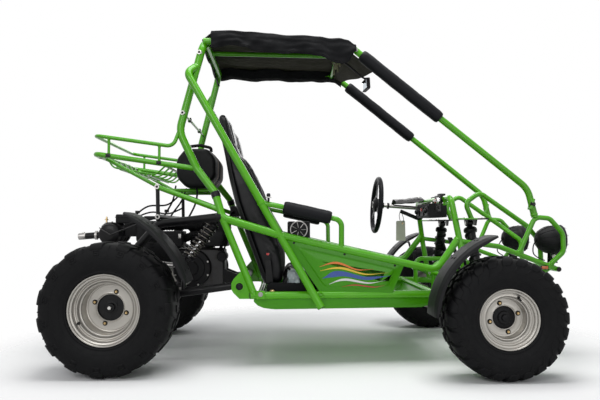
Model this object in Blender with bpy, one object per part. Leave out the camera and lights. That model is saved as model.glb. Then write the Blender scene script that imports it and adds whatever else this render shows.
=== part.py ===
"""Off-road two-seat go-kart: tube frame, live rear axle, steered front wheels.

Metres, +Z up, +X forward, +Y to the driver's left. The origin is on the ground
at the middle of the kart's length. Heights are above the ground, and the
lengths along the kart that end in _x are ahead of the rear axle, or of the
front axle where the piece moves with it, as at() and front_at() say.
"""

import math

import bmesh
import bpy
from mathutils import Matrix, Vector

# Driving dimensions
WHEELBASE = 1.557
TAIL_REACH = 0.285
NOSE_REACH = 0.441
FIT_GAP = 0.0003
RUNNING_GAP = 0.006

# Tubes
HOOP_R = 0.0172
BRACE_R = 0.0168
RAIL_R = 0.0155
PILLAR_R = 0.0150
DASH_R = 0.0135
ARCH_R = 0.0115
RACK_R = 0.0115
RACK_LOOP_R = 0.0085
BASKET_R = 0.0040
BASKET_BAR_R = 0.0045
ARMREST_R = 0.0115
ROD_R = 0.0060
BEND_R = 0.060
TIGHT_BEND_R = 0.035
WIDE_BEND_R = 0.110
MAIN_SIDES = 10
SLIM_SIDES = 8
THIN_SIDES = 6
WIRE_SIDES = 5
BEND_STEPS = 3
BEND_SHARE = 0.48
SHARP_ANGLE = 40.0

# Roll hoop
HOOP_FOOT_X = 0.403
HOOP_FOOT_Y = 0.360
HOOP_FOOT_Z = 0.742
HOOP_JOINT_X = 0.320
HOOP_JOINT_Y = 0.332
HOOP_JOINT_Z = 0.848
HOOP_KNEE_X = 0.240
HOOP_KNEE_Y = 0.320
HOOP_KNEE_Z = 1.015
HOOP_TOP_X = 0.345
HOOP_TOP_Y = 0.302
HOOP_TOP_Z = 1.425
ROOF_FALL = 0.010
HOOP_ROD_Z = 1.093
SPLICE_LENGTH = 0.026
SPLICE_R = 0.0195
HOOP_BENDS = (WIDE_BEND_R, WIDE_BEND_R, BEND_R, BEND_R, WIDE_BEND_R, WIDE_BEND_R)

# Roof and windscreen pillars
ROOF_CROSS_X = 0.960
ROOF_FRONT_X = 0.990
ROOF_FRONT_Z = HOOP_TOP_Z - ROOF_FALL
PILLAR_Y = 0.300
PILLAR_KNEE_X = 0.240
PILLAR_KNEE_Z = 0.762
PILLAR_FOOT_X = 0.270
PILLAR_FOOT_Z = 0.634
ROOF_TUBE_Y = 0.110
ROOF_TUBE_R = 0.0110
PAD_R = 0.0280
PILLAR_PAD_START_SHARE = 0.075
PILLAR_PAD_END_SHARE = 0.515

# Diagonal braces
BRACE_TOP_DROP = 0.115
BRACE_TOP_Z = HOOP_TOP_Z - BRACE_TOP_DROP
BRACE_SHOULDER_BACK = 0.0293
BRACE_SHOULDER_OUT = 0.0412
BRACE_SHOULDER_DROP = 0.155
BRACE_SHOULDER_Z = HOOP_TOP_Z - BRACE_SHOULDER_DROP
BRACE_FOOT_X = 0.858
BRACE_FOOT_Z = 0.252
BRACE_COLLAR_SHARE = 0.565
BRACE_COLLAR_LENGTH = 0.008
BRACE_COLLAR_WALL = 0.002

# Cab rails
CROSS_SETBACK = 0.040
PAN_RISE_LENGTH = 0.060
PAN_Z = 0.243
PAN_THICKNESS = 0.004
PAN_POST_SHARES = (-0.5, 0.5)
ARMREST_Y = 0.405
ARMREST_SHARE = 0.565
ARMREST_REAR_X = 0.672
ARMREST_REAR_Z = 0.682
ARMREST_FRONT_X = 0.948
ARMREST_FRONT_Z = 0.620
ARMREST_PAD_START_SHARE = 0.10
ARMREST_PAD_END_SHARE = 0.84
PANEL_TOP_SHARE = 0.800
PANEL_FOOT_X = 1.168
PANEL_THICKNESS = 0.004
SHOULDER_KNEE_X = 0.440
SHOULDER_KNEE_Y = 0.398
SHOULDER_KNEE_Z = 0.630
RAIL_CROSS_SHARE = 0.700
RAIL_NOSE_X = -0.195
RAIL_NOSE_Y = 0.378
RAIL_NOSE_Z = 0.404
RAIL_END_Z = 0.545
RAIL_END_SETBACK = 0.006
LOWER_REAR_X = 0.560
LOWER_REAR_Y = 0.412
LOWER_REAR_Z = 0.303
LOWER_FRONT_X = -0.052
LOWER_FRONT_Y = 0.345
LOWER_FRONT_Z = 0.300
MID_CROSS_X = 0.800
FRONT_CROSS_X = -0.197

# Dash hoop
DASH_TOP_X = -0.117
DASH_TOP_Y = 0.330
DASH_TOP_Z = 0.720
DASH_FLARE_Z = 0.500
DASH_FLARE_Y = 0.360

# Nose
NOSE_TIP_Y = 0.275
GUARD_FOOT_X = 0.338
TOWER_TAB_WIDTH = 0.050
BEAM_KNEE_X = -0.147
BEAM_Z = 0.235
BRACKET_TOP_Z = 0.425
BRACKET_LOW_Z = 0.222
NOSE_RAIL_Z = 0.528
NOSE_KNEE_X = 0.103
NOSE_KNEE_Y = 0.305
NOSE_KNEE_Z = 0.503
BUMPER_X = 0.375
BUMPER_Y = 0.300
BUMPER_Z = 0.400
GUARD_Y = 0.302
GUARD_ROOT_X = 0.195
GUARD_CROWN_X = 0.336
GUARD_CROWN_Z = 0.628
GUARD_FRONT_X = 0.396
GUARD_FRONT_HIGH_Z = 0.560
GUARD_FRONT_LOW_Z = 0.478
GUARD_R = 0.0110
ARCH_Y = 0.170
ARCH_FOOT_X = 0.026
ARCH_HEEL_X = -0.004
ARCH_HEEL_Z = 0.703
ARCH_CROWN_X = 0.065
ARCH_CROWN_Z = 0.752
ARCH_BROW_X = 0.288
ARCH_BROW_Z = 0.594
ARCH_NOSE_X = 0.371
ARCH_NOSE_Z = 0.520
ARCH_TIP_Y = 0.115
LOWER_NOSE_X = 0.143
LOWER_NOSE_Y = 0.190
LOWER_NOSE_Z = 0.275
TOWER_REAR_X = -0.067
TOWER_FRONT_X = 0.048
TOWER_INNER_Y = 0.140
TOWER_OUTER_Y = 0.345
TOWER_Z = 0.626
TOWER_THICKNESS = 0.006
GUARD_BENDS = (TIGHT_BEND_R, TIGHT_BEND_R, BEND_R, BEND_R)

# Rear rack
RACK_REAR_X = -0.128
RACK_REAR_Z = 0.913
RACK_Y = 0.330
RACK_LOOP_REAR_Z = 0.994
RACK_LOOP_KNEE_X = 0.215
RACK_LOOP_KNEE_Z = 0.946
RACK_POST_REAR_X = -0.065
RACK_POST_FRONT_X = 0.155
BASKET_REAR_X = -0.070
BASKET_FRONT_X = 0.120
BASKET_RISE_X = 0.165
BASKET_FLOOR_Z = 0.828
BASKET_Y = 0.240
BASKET_WIRES = 6
STAY_CROSS_X = 0.148
STAY_CROSS_Z = 0.768
STAY_CROSS_Y = 0.340
STRUT_Y = 0.285
STRUT_TOP_X = -0.086
LINK_FOOT_RISE = 0.370
SUBFRAME_KNEE_X = 0.152
SUBFRAME_KNEE_RISE = 0.338
SUBFRAME_TAIL_X = 0.060
SUBFRAME_TAIL_RISE = 0.233
SUBFRAME_Y = 0.325
SUBFRAME_R = 0.0185
LOOP_FOOT_Z = 1.020
BASKET_FRAME_X = -0.100
BASKET_REAR_Z = 0.862
BASKET_CROSS_SHARES = (0.05, 0.95)
STAY_SHARE = 0.30
SUBFRAME_SHARE = 0.05

# Rear suspension
PIVOT_X = 0.514
PIVOT_Y = 0.335
PIVOT_Z = 0.341
PIVOT_PLATE_THICKNESS = 0.006
PIVOT_BOSS_R = 0.016
SWING_R = 0.0165
CARRIER_Y = 0.285
CARRIER_WIDTH = 0.030
CARRIER_R = 0.045
REAR_SHOCK_FOOT_X = 0.262
REAR_SHOCK_FOOT_Z = 0.405
SHOCK_R = 0.030
SHOCK_ROD_R = 0.008
SHOCK_EYE_R = 0.014
BEARING_GAP = 0.001
PIVOT_PLATE_RISE = 0.085
PIVOT_EDGE = 0.030
SHOCK_POST_R = 0.012
SHOCK_HEAD_SHARE = 0.16
SHOCK_SEAT_SHARE = 0.84

# Wheels
REAR_TYRE_R = 0.2670
REAR_TYRE_WIDTH = 0.250
REAR_RIM_R = 0.1430
REAR_RIM_Y = 0.5954
FRONT_TYRE_R = 0.2380
FRONT_TYRE_WIDTH = 0.178
FRONT_RIM_R = 0.1178
FRONT_RIM_Y = 0.6962
RIM_LIP = 0.010
RIM_WALL = 0.004
REAR_RIM_DEPTH = 0.100
FRONT_RIM_DEPTH = 0.066
RIM_DISC_SHARE = 0.60
RIM_BORE_R = 0.028
HUB_R = 0.034
AXLE_R = 0.015
TYRE_CROWN_SHARE = 0.045
TYRE_SEGMENTS = 24
TYRE_BULGE_SHARE = 0.42
TYRE_BEAD_SHARE = 0.87
TYRE_SHOULDER_SHARE = 0.90
TYRE_TREAD_SHARE = 0.72
REAR_RIM_WIDTH = 0.215
FRONT_RIM_WIDTH = 0.152
RIM_BARREL_SHARE = 0.88
RIM_STEP_SHARE = 0.35
HUB_NOSE = 0.022
HUB_FLANGE = 0.008
SPROCKET_Y = 0.085
SPROCKET_R = 0.095
SPROCKET_WIDTH = 0.006
BRAKE_DISC_R = 0.090
BRAKE_DISC_WIDTH = 0.004

# Front suspension and steering
SPINDLE_R = 0.0125
STEER_ARM_R = 0.008
ROD_EYE_R = 0.0115
ROD_EYE_HEIGHT = 0.014
ROD_EYE_GAP = 0.002
ARM_EYE_HEIGHT = 0.026
KINGPIN_Y = 0.545
KINGPIN_R = 0.011
KINGPIN_DROP = 0.053
KINGPIN_RISE = 0.064
KINGPIN_LOW_Z = FRONT_TYRE_R - KINGPIN_DROP
KINGPIN_HIGH_Z = FRONT_TYRE_R + KINGPIN_RISE
ARM_PIVOT_REAR_X = -0.162
ARM_PIVOT_FRONT_X = 0.113
LOWER_ARM_Z = 0.235
UPPER_ARM_Z = 0.380
ARM_R = 0.0105
ARM_EYE_R = 0.019
STEER_ARM_LENGTH = 0.075
STEER_ARM_RISE = 0.043
STEER_ARM_Z = FRONT_TYRE_R + STEER_ARM_RISE
RACK_HOUSING_R = 0.014
TIE_ROD_R = 0.0070
FRONT_SHOCK_TOP_Y = 0.235
FRONT_SHOCK_SHARE = 0.700
FENDER_STAY_Y = 0.515
FENDER_STAY_R = 0.006
FENDER_STAY_STEP = 6
STAY_BEND_R = 0.020

# Fenders
REAR_FENDER_FLARE = 0.045
REAR_FENDER_LOW_ANGLE = 18.0
REAR_FENDER_HIGH_ANGLE = 84.0
REAR_STAY_STEP = 7
REAR_STAY_SHARE = 0.90
FRONT_FENDER_FLARE = 0.030
FRONT_FENDER_LOW_ANGLE = 178.0
FRONT_FENDER_HIGH_ANGLE = 92.0
FENDER_THICKNESS = 0.005
REAR_FENDER_R = 0.335
REAR_FENDER_INNER_Y = 0.410
REAR_FENDER_OUTER_Y = 0.605
FRONT_FENDER_RISE = 0.044
FRONT_FENDER_R = FRONT_TYRE_R + FRONT_FENDER_RISE
FRONT_FENDER_INNER_Y = 0.560
FRONT_FENDER_OUTER_Y = 0.712
FENDER_STEPS = 9

# Seats
SEAT_HEEL_X = 0.700
SEAT_SHOULDER_SHARE = 0.70
SEAT_HEAD_SHARE = 0.72
SEAT_OUTLINE_SHARES = (
    (0.00, 1.00), (0.06, 0.80), (0.21, 0.545), (0.57, 0.175), (0.66, 0.0),
    (1.00, 0.0), (1.00, 0.10), (0.74, 0.50), (0.62, 0.60), (0.50, 0.695), (0.36, 0.75), (0.16, 1.00),
)
SEAT_ROUND = 0.012
CUSHION_OVERLAP = 0.020
SEAT_Y = 0.195
SEAT_WIDTH = 0.330
SEAT_TOP_X = 0.404
SEAT_TOP_Z = 1.104
CUSHION_FRONT_X = 1.020
CUSHION_THICKNESS = 0.085

# Steering wheel and dash
WHEEL_X = -0.365
WHEEL_Y = 0.195
WHEEL_Z = 0.708
WHEEL_R = 0.150
WHEEL_RIM_R = 0.0125
WHEEL_HUB_R = 0.038
WHEEL_BOSS_R = 0.045
WHEEL_NECK_R = 0.022
COLUMN_END_X = -0.117
COLUMN_R = 0.0095
COLUMN_DROP = 0.020
COLUMN_BEARING_R = 0.020
BEARING_START_SHARE = 0.90
WHEEL_RIM_STEPS = 8
WHEEL_SPOKE_R = 0.009
WHEEL_SPOKE_ANGLES = (0, 120, 240)
DASH_COVER_REAR_X = -0.275
DASH_COVER_RISE = 0.018
DASH_COVER_EDGE = 0.010
DASH_COVER_WIDTH = 0.150
TRAY_Y = 0.020
TRAY_LENGTH = 0.090
TRAY_WIDTH = 0.260
TRAY_HEIGHT = 0.070
TRAY_BEVEL = 0.006

# Power unit
TANK_OUTLINE_SHARES = (
    (0.0, 0.25), (0.0, 0.72), (0.22, 1.0), (0.80, 1.0), (1.0, 0.75), (1.0, 0.30), (0.75, 0.0), (0.25, 0.0),
)
TANK_BEVEL = 0.010
ENGINE_MOUNT_R = 0.025
FIN_SHARE = 0.45
FIN_ROOT_SHARE = 0.78
AIR_BOX_X = 0.170
AIR_BOX_Y = -0.060
MUFFLER_Y = -0.050
TAIL_DROP = 0.012
TAILPIPE_R = 0.016
TANK_REAR_X = 0.200
TANK_FRONT_X = 0.385
TANK_LOW_Z = 0.775
TANK_HIGH_Z = 0.960
TANK_Y = 0.180
TANK_BAR_X = 0.345
TANK_BAR_Y = 0.120
ENGINE_X = 0.300
ENGINE_Z = 0.400
ENGINE_LENGTH = 0.240
ENGINE_WIDTH = 0.200
ENGINE_HEIGHT = 0.200
CYLINDER_R = 0.062
CYLINDER_LENGTH = 0.120
CYLINDER_FINS = 6
AIR_BOX_LENGTH = 0.110
AIR_BOX_WIDTH = 0.120
AIR_BOX_HEIGHT = 0.075
MUFFLER_R = 0.050
MUFFLER_LENGTH = 0.230
MUFFLER_X = -0.110
MUFFLER_Z = 0.560

# Lamps
LAMP_Y = 0.212
LAMP_Z = 0.530
LAMP_R = 0.069
LAMP_BACK_X = 0.311
LAMP_BACK_SHARE = 0.45
LAMP_WAIST_SHARE = 0.70
LAMP_RIM_SHARE = 0.65
LAMP_STALK_R = 0.009
LAMP_STALK_Y = 0.235

# Canopy
CANOPY_ROUND = 0.030
CANOPY_STEPS = 6
CANOPY_Y = 0.3262
CANOPY_RISE = 0.030
CANOPY_DROP = 0.063
CANOPY_HEM_Z = HOOP_TOP_Z - CANOPY_DROP
CANOPY_WALL = 0.004
CANOPY_SEAT = 0.0005
CANOPY_OVERHANG = 0.020

# Shared places and directions
REAR_AXLE_X = (TAIL_REACH - WHEELBASE - NOSE_REACH) / 2
SIDES = (("right", -1), ("left", 1))
UP = Vector((0, 0, 1))
ACROSS = Vector((0, 1, 0))
AHEAD = Vector((1, 0, 0))


def at(x, y, z):
    """The place x ahead of the rear axle, y to the left and z above the ground."""
    return Vector((REAR_AXLE_X + x, y, z))


def front_at(x, y, z):
    """The place x ahead of the front axle, y to the left and z above the ground."""
    return at(WHEELBASE + x, y, z)


def between(a, b, share):
    return a + (b - a) * share


# Materials

def material(name, color, roughness, metallic=0):
    made = bpy.data.materials.new(name)
    made.use_nodes = True
    shader = made.node_tree.nodes["Principled BSDF"]
    shader.inputs["Base Color"].default_value = (*color, 1)
    shader.inputs["Roughness"].default_value = roughness
    shader.inputs["Metallic"].default_value = metallic
    return made


def make_materials():
    return {
        "green_paint": material("green_paint", (0.08, 0.40, 0.01), 0.30),
        "black_steel": material("black_steel", (0.012, 0.012, 0.013), 0.45),
        "black_plastic": material("black_plastic", (0.018, 0.018, 0.020), 0.55),
        "foam": material("foam", (0.014, 0.014, 0.016), 0.85),
        "vinyl": material("vinyl", (0.012, 0.012, 0.014), 0.50),
        "canvas": material("canvas", (0.012, 0.012, 0.013), 0.90),
        "tyre": material("tyre", (0.015, 0.015, 0.016), 0.80),
        "rim_steel": material("rim_steel", (0.55, 0.55, 0.56), 0.35, 1),
        "steel": material("steel", (0.50, 0.50, 0.50), 0.35, 1),
        "engine_alloy": material("engine_alloy", (0.10, 0.10, 0.11), 0.50, 1),
        "lamp_shell": material("lamp_shell", (0.015, 0.016, 0.015), 0.35),
    }


# Mesh helpers

def finish(name, mesh, finish_name, smooth=True):
    mesh.materials.append(MATERIALS[finish_name])
    obj = bpy.data.objects.new(name, mesh)
    bpy.context.scene.collection.objects.link(obj)
    if smooth:
        mesh.shade_smooth()
        mesh.set_sharp_from_angle(angle=math.radians(SHARP_ANGLE))
    return obj


def mesh_from(name, bm):
    bmesh.ops.recalc_face_normals(bm, faces=bm.faces)
    mesh = bpy.data.meshes.new(name)
    bm.to_mesh(mesh)
    bm.free()
    return mesh


def rounded(points, bend):
    """The route through the points with each corner turned into an arc of its bend radius."""
    path = [points[0]]
    bends = bend if isinstance(bend, tuple) else (bend,) * (len(points) - 2)
    for before, corner, after, wanted in zip(points, points[1:], points[2:], bends):
        back = (before - corner).normalized()
        on = (after - corner).normalized()
        half = back.angle(on) / 2
        room = min((before - corner).length, (after - corner).length) * BEND_SHARE
        reach = min(wanted / math.tan(half), room)
        radius = reach * math.tan(half)
        centre = corner + (back + on).normalized() * (radius / math.sin(half))
        start = corner + back * reach - centre
        turn = math.pi - 2 * half
        axis = start.cross(corner + on * reach - centre).normalized()
        for step in range(BEND_STEPS + 1):
            path.append(centre + Matrix.Rotation(turn * step / BEND_STEPS, 3, axis) @ start)
    path.append(points[-1])
    return path


def loft(bm, rings):
    """Skin the rings, each of the same number of points, and close both ends."""
    count = len(rings[0])
    for ring, following in zip(rings, rings[1:]):
        for index in range(count):
            other = (index + 1) % count
            bm.faces.new((ring[index], ring[other], following[other], following[index]))
    bm.faces.new(rings[0])
    bm.faces.new(rings[-1])


def sweep(path, radius, sides, bore=0):
    """A round bar along the path, or a sleeve where bore is above zero."""
    bm = bmesh.new()
    tangents = []
    for index in range(len(path)):
        before = path[max(index - 1, 0)]
        after = path[min(index + 1, len(path) - 1)]
        tangents.append((after - before).normalized())
    guide = tangents[0].orthogonal().normalized()
    outer = []
    inner = []
    for point, tangent in zip(path, tangents):
        guide = (guide - tangent * guide.dot(tangent)).normalized()
        across = tangent.cross(guide)
        spokes = []
        for side in range(sides):
            angle = math.tau * side / sides
            spokes.append(guide * math.cos(angle) + across * math.sin(angle))
        outer.append([bm.verts.new(point + spoke * radius) for spoke in spokes])
        if bore > 0:
            inner.append([bm.verts.new(point + spoke * bore) for spoke in spokes])
    for rings in (outer, inner):
        for ring, following in zip(rings, rings[1:]):
            for side in range(sides):
                other = (side + 1) % sides
                bm.faces.new((ring[side], ring[other], following[other], following[side]))
    for end in (0, -1):
        if bore > 0:
            for side in range(sides):
                other = (side + 1) % sides
                bm.faces.new((outer[end][side], outer[end][other], inner[end][other], inner[end][side]))
        else:
            bm.faces.new(outer[end])
    return bm


PATHS = {}


def tube(name, points, radius, finish_name, bend=BEND_R, sides=MAIN_SIDES, bore=0):
    path = rounded(points, bend)
    PATHS[name] = (path, radius, sides)
    return finish(name, mesh_from(name, sweep(path, radius, sides, bore)), finish_name)


def bore_over(radius):
    """The bore's radius that clears a round bar, its flat sides allowed for."""
    return (radius + FIT_GAP) / math.cos(math.pi / MAIN_SIDES)


def nearest_on(name, point):
    """The place on a tube's centre line nearest to a point."""
    return min(PATHS[name][0], key=lambda place: (place - point).length).copy()


def hide(obj):
    obj.hide_render = True
    obj.display_type = "WIRE"


def boolean(obj, other, operation):
    modifier = obj.modifiers.new(operation.lower(), "BOOLEAN")
    modifier.operation = operation
    modifier.solver = "EXACT"
    modifier.object = other


COPES = []


def cope(obj, *names):
    """Have the piece cut, once all tubes exist, to sit on each named tube with the fit gap between."""
    for name in names:
        COPES.append((obj, name))


def cut_copes():
    cutters = {}
    for obj, name in COPES:
        if name not in cutters:
            path, radius, sides = PATHS[name]
            start = path[0] + (path[0] - path[1]).normalized() * FIT_GAP
            end = path[-1] + (path[-1] - path[-2]).normalized() * FIT_GAP
            route = [start] + path[1:-1] + [end]
            cut = mesh_from(name + "_clearance", sweep(route, radius + FIT_GAP, sides))
            cutters[name] = finish(name + "_clearance", cut, "steel")
            hide(cutters[name])
        boolean(obj, cutters[name], "DIFFERENCE")


def fuse(obj, others):
    for other in others:
        hide(other)
        boolean(obj, other, "UNION")


def block_mesh(name, size, centre, turn=None):
    bm = bmesh.new()
    bmesh.ops.create_cube(bm, size=1)
    bmesh.ops.scale(bm, vec=size, verts=bm.verts)
    if turn:
        bmesh.ops.rotate(bm, cent=(0, 0, 0), matrix=turn, verts=bm.verts)
    bmesh.ops.translate(bm, vec=centre, verts=bm.verts)
    return mesh_from(name, bm)


def block(name, size, centre, finish_name, bevel=0, turn=None):
    obj = finish(name, block_mesh(name, size, centre, turn), finish_name)
    if bevel > 0:
        soften(obj, bevel)
    return obj


def soften(obj, width, segments=2):
    bevel = obj.modifiers.new("bevel", "BEVEL")
    bevel.width = width
    bevel.segments = segments
    bevel.limit_method = "ANGLE"


def plate(name, outline, thickness, along, finish_name):
    """A flat plate with its outline in world places, thickened along a direction."""
    bm = bmesh.new()
    half = along.normalized() * (thickness / 2)
    near = [bm.verts.new(point - half) for point in outline]
    far = [bm.verts.new(point + half) for point in outline]
    bm.faces.new(near)
    bm.faces.new(far)
    count = len(outline)
    for index in range(count):
        other = (index + 1) % count
        bm.faces.new((near[index], near[other], far[other], far[index]))
    return finish(name, mesh_from(name, bm), finish_name, smooth=False)


def turned(name, profile, centre, axis, finish_name, segments=18, closed=False):
    """A turned piece: the profile holds (radius, distance along the axis) pairs."""
    bm = bmesh.new()
    guide = axis.orthogonal().normalized()
    across = axis.normalized().cross(guide)
    rings = []
    for radius, along in profile:
        if radius <= 0:
            rings.append([bm.verts.new(centre + axis * along)])
            continue
        ring = []
        for step in range(segments):
            angle = math.tau * step / segments
            spoke = guide * math.cos(angle) + across * math.sin(angle)
            ring.append(bm.verts.new(centre + axis * along + spoke * radius))
        rings.append(ring)
    pairs = list(zip(rings, rings[1:]))
    if closed:
        pairs.append((rings[-1], rings[0]))
    for ring, following in pairs:
        for step in range(segments):
            other = (step + 1) % segments
            corners = [ring[step % len(ring)], ring[other % len(ring)]]
            corners += [following[other % len(following)], following[step % len(following)]]
            unique = list(dict.fromkeys(corners))
            bm.faces.new(unique)
    if not closed:
        for ring in (rings[0], rings[-1]):
            if len(ring) > 1:
                bm.faces.new(ring)
    return finish(name, mesh_from(name, bm), finish_name)


MATERIALS = {}


# Frame

def hoop_route(side):
    return [
        at(HOOP_FOOT_X, side * HOOP_FOOT_Y, HOOP_FOOT_Z),
        at(HOOP_JOINT_X, side * HOOP_JOINT_Y, HOOP_JOINT_Z),
        at(HOOP_KNEE_X, side * HOOP_KNEE_Y, HOOP_KNEE_Z),
        at(HOOP_TOP_X, side * HOOP_TOP_Y, HOOP_TOP_Z),
    ]


def hoop_at(side, z):
    """The centre of the hoop's leg at a height above its knee."""
    knee = at(HOOP_KNEE_X, side * HOOP_KNEE_Y, HOOP_KNEE_Z)
    top = at(HOOP_TOP_X, side * HOOP_TOP_Y, HOOP_TOP_Z)
    return between(knee, top, (z - HOOP_KNEE_Z) / (HOOP_TOP_Z - HOOP_KNEE_Z))


def make_roll_hoop():
    route = hoop_route(-1) + list(reversed(hoop_route(1)))
    hoop = tube("roll_hoop", route, HOOP_R, "green_paint", HOOP_BENDS)
    ends = [hoop_at(-1, HOOP_ROD_Z), hoop_at(1, HOOP_ROD_Z)]
    fuse(hoop, [tube("hoop_cross_rod", ends, ROD_R, "green_paint", sides=THIN_SIDES)])


def pillar_route(side):
    return [
        at(HOOP_TOP_X, side * PILLAR_Y, HOOP_TOP_Z),
        at(ROOF_FRONT_X, side * PILLAR_Y, ROOF_FRONT_Z),
        front_at(PILLAR_KNEE_X, side * PILLAR_Y, PILLAR_KNEE_Z),
        front_at(PILLAR_FOOT_X, side * PILLAR_Y, PILLAR_FOOT_Z),
    ]


def make_roof_frame():
    """The two windscreen pillars with their roof rails, and the tubes between them."""
    tubes = []
    for word, side in SIDES:
        route = pillar_route(side)
        route[0] = nearest_on("roll_hoop", route[0])
        tubes.append(tube("roof_pillar_" + word, route, PILLAR_R, "green_paint", WIDE_BEND_R))
        start = between(route[1], route[2], PILLAR_PAD_START_SHARE)
        end = between(route[1], route[2], PILLAR_PAD_END_SHARE)
        tube("pillar_pad_" + word, [start, end], PAD_R, "foam", bore=bore_over(PILLAR_R))
    front = at(ROOF_CROSS_X, 0, ROOF_FRONT_Z)
    ends = [front - ACROSS * PILLAR_Y, front + ACROSS * PILLAR_Y]
    tubes.append(tube("roof_front_tube", ends, ROOF_TUBE_R, "green_paint", sides=THIN_SIDES))
    ends = [at(HOOP_TOP_X, -ROOF_TUBE_Y, HOOP_TOP_Z), front - ACROSS * ROOF_TUBE_Y]
    tubes.append(tube("roof_centre_tube", ends, ROOF_TUBE_R, "green_paint", sides=THIN_SIDES))
    frame = tubes.pop()
    frame.name = "roof_frame"
    fuse(frame, list(reversed(tubes)))
    cope(frame, "roll_hoop", "lamp_guard_right", "lamp_guard_left")


def lower_rail_at(side, x):
    """The centre of the lower rail where it runs beside the seats."""
    rear = at(LOWER_REAR_X, side * LOWER_REAR_Y, LOWER_REAR_Z)
    front = front_at(LOWER_FRONT_X, side * LOWER_FRONT_Y, LOWER_FRONT_Z)
    return between(rear, front, (x - LOWER_REAR_X) / (front.x - rear.x))


def make_lower_rail(word, side):
    route = [
        at(LOWER_REAR_X, side * LOWER_REAR_Y, LOWER_REAR_Z),
        front_at(LOWER_FRONT_X, side * LOWER_FRONT_Y, LOWER_FRONT_Z),
        front_at(LOWER_NOSE_X, side * LOWER_NOSE_Y, LOWER_NOSE_Z),
        front_at(BUMPER_X, side * LOWER_NOSE_Y, BUMPER_Z),
    ]
    return tube("lower_rail_" + word, route, RAIL_R, "green_paint")


def brace_route(side):
    rail = lower_rail_at(side, BRACE_FOOT_X)
    clear = RAIL_R + BRACE_R + FIT_GAP
    return [
        hoop_at(side, BRACE_TOP_Z),
        hoop_at(side, BRACE_SHOULDER_Z) + ACROSS * side * BRACE_SHOULDER_OUT - AHEAD * BRACE_SHOULDER_BACK,
        Vector((rail.x, rail.y + side * clear, BRACE_FOOT_Z)),
    ]


def brace_at(side, share):
    route = brace_route(side)
    return between(route[1], route[2], share)


def make_brace(word, side):
    length = (brace_route(side)[2] - brace_route(side)[1]).length
    start = brace_at(side, BRACE_COLLAR_SHARE)
    end = brace_at(side, BRACE_COLLAR_SHARE + BRACE_COLLAR_LENGTH / length)
    return [
        tube("brace_" + word, brace_route(side), BRACE_R, "green_paint", TIGHT_BEND_R),
        tube("brace_collar_" + word, [start, end], BRACE_R + BRACE_COLLAR_WALL, "green_paint"),
    ]


def dash_route(side):
    foot = lower_rail_at(side, WHEELBASE + LOWER_FRONT_X)
    top = front_at(DASH_TOP_X, side * DASH_TOP_Y, DASH_TOP_Z)
    flare = between(foot, top, (DASH_FLARE_Z - foot.z) / (top.z - foot.z))
    flare.y = side * DASH_FLARE_Y
    return [foot, flare, top]


def dash_at(side, z):
    """The centre of the dash hoop's leg at a height above its flare."""
    flare, top = dash_route(side)[1:]
    return between(flare, top, (z - DASH_FLARE_Z) / (DASH_TOP_Z - DASH_FLARE_Z))


def make_dash_hoop():
    route = dash_route(-1) + list(reversed(dash_route(1)))
    hoop = tube("dash_hoop", route, DASH_R, "green_paint", TIGHT_BEND_R)
    centre = front_at(WHEEL_X, WHEEL_Y, WHEEL_Z)
    end = front_at(COLUMN_END_X, WHEEL_Y, WHEEL_Z - COLUMN_DROP)
    ends = [between(centre, end, BEARING_START_SHARE), end]
    fuse(hoop, [tube("column_bearing", ends, COLUMN_BEARING_R, "green_paint", bore=COLUMN_R + BEARING_GAP)])
    cope(hoop, "lower_rail_right", "lower_rail_left")


def shoulder_knee(side):
    return at(SHOULDER_KNEE_X, side * SHOULDER_KNEE_Y, SHOULDER_KNEE_Z)


def side_rail_route(side):
    nose = front_at(RAIL_NOSE_X, side * RAIL_NOSE_Y, RAIL_NOSE_Z)
    end = dash_at(side, RAIL_END_Z)
    end -= (end - nose).normalized() * RAIL_END_SETBACK
    return [brace_at(side, RAIL_CROSS_SHARE), nose, end]


def make_cab_side(word, side):
    """One welded side of the cab: rails, brace, upright, pivot plate, armrest and side panel."""
    top = at(HOOP_FOOT_X, side * HOOP_FOOT_Y, HOOP_FOOT_Z)
    knee = shoulder_knee(side)
    down = (knee - top).normalized()
    route = [top, knee, brace_at(side, RAIL_CROSS_SHARE)]
    shoulder = tube("shoulder_rail_" + word, route, HOOP_R, "green_paint", TIGHT_BEND_R)
    splice = tube("hoop_splice_" + word, [top, top + down * SPLICE_LENGTH], SPLICE_R, "green_paint")
    cope(shoulder, "roll_hoop")
    cope(splice, "roll_hoop")
    foot = at(LOWER_REAR_X + HOOP_R, side * LOWER_REAR_Y, LOWER_REAR_Z)
    rail = tube("side_rail_" + word, side_rail_route(side), RAIL_R, "green_paint")
    cope(rail, "dash_hoop")
    brace, collar = make_brace(word, side)
    cope(brace, "roll_hoop")
    plate_piece = make_pivot_plate(word, side)
    cope(plate_piece, "pivot_tube")
    pieces = [
        shoulder,
        splice,
        tube("rear_upright_" + word, [knee, foot], RAIL_R, "green_paint"),
        rail,
        brace,
        collar,
        plate_piece,
        make_armrest(word, side),
        make_side_panel(word, side),
    ]
    cab = make_lower_rail(word, side)
    cab.name = "cab_side_" + word
    fuse(cab, pieces)
    cope(cab, "bumper_tube")


def make_shoulder_tube():
    middle = at(SHOULDER_KNEE_X, 0, SHOULDER_KNEE_Z)
    half = ACROSS * (SHOULDER_KNEE_Y - DASH_R / 2)
    cross = tube("shoulder_cross_tube", [middle - half, middle + half], DASH_R, "green_paint")
    for word, side in SIDES:
        cope(cross, "shoulder_rail_" + word, "rear_upright_" + word)


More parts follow.
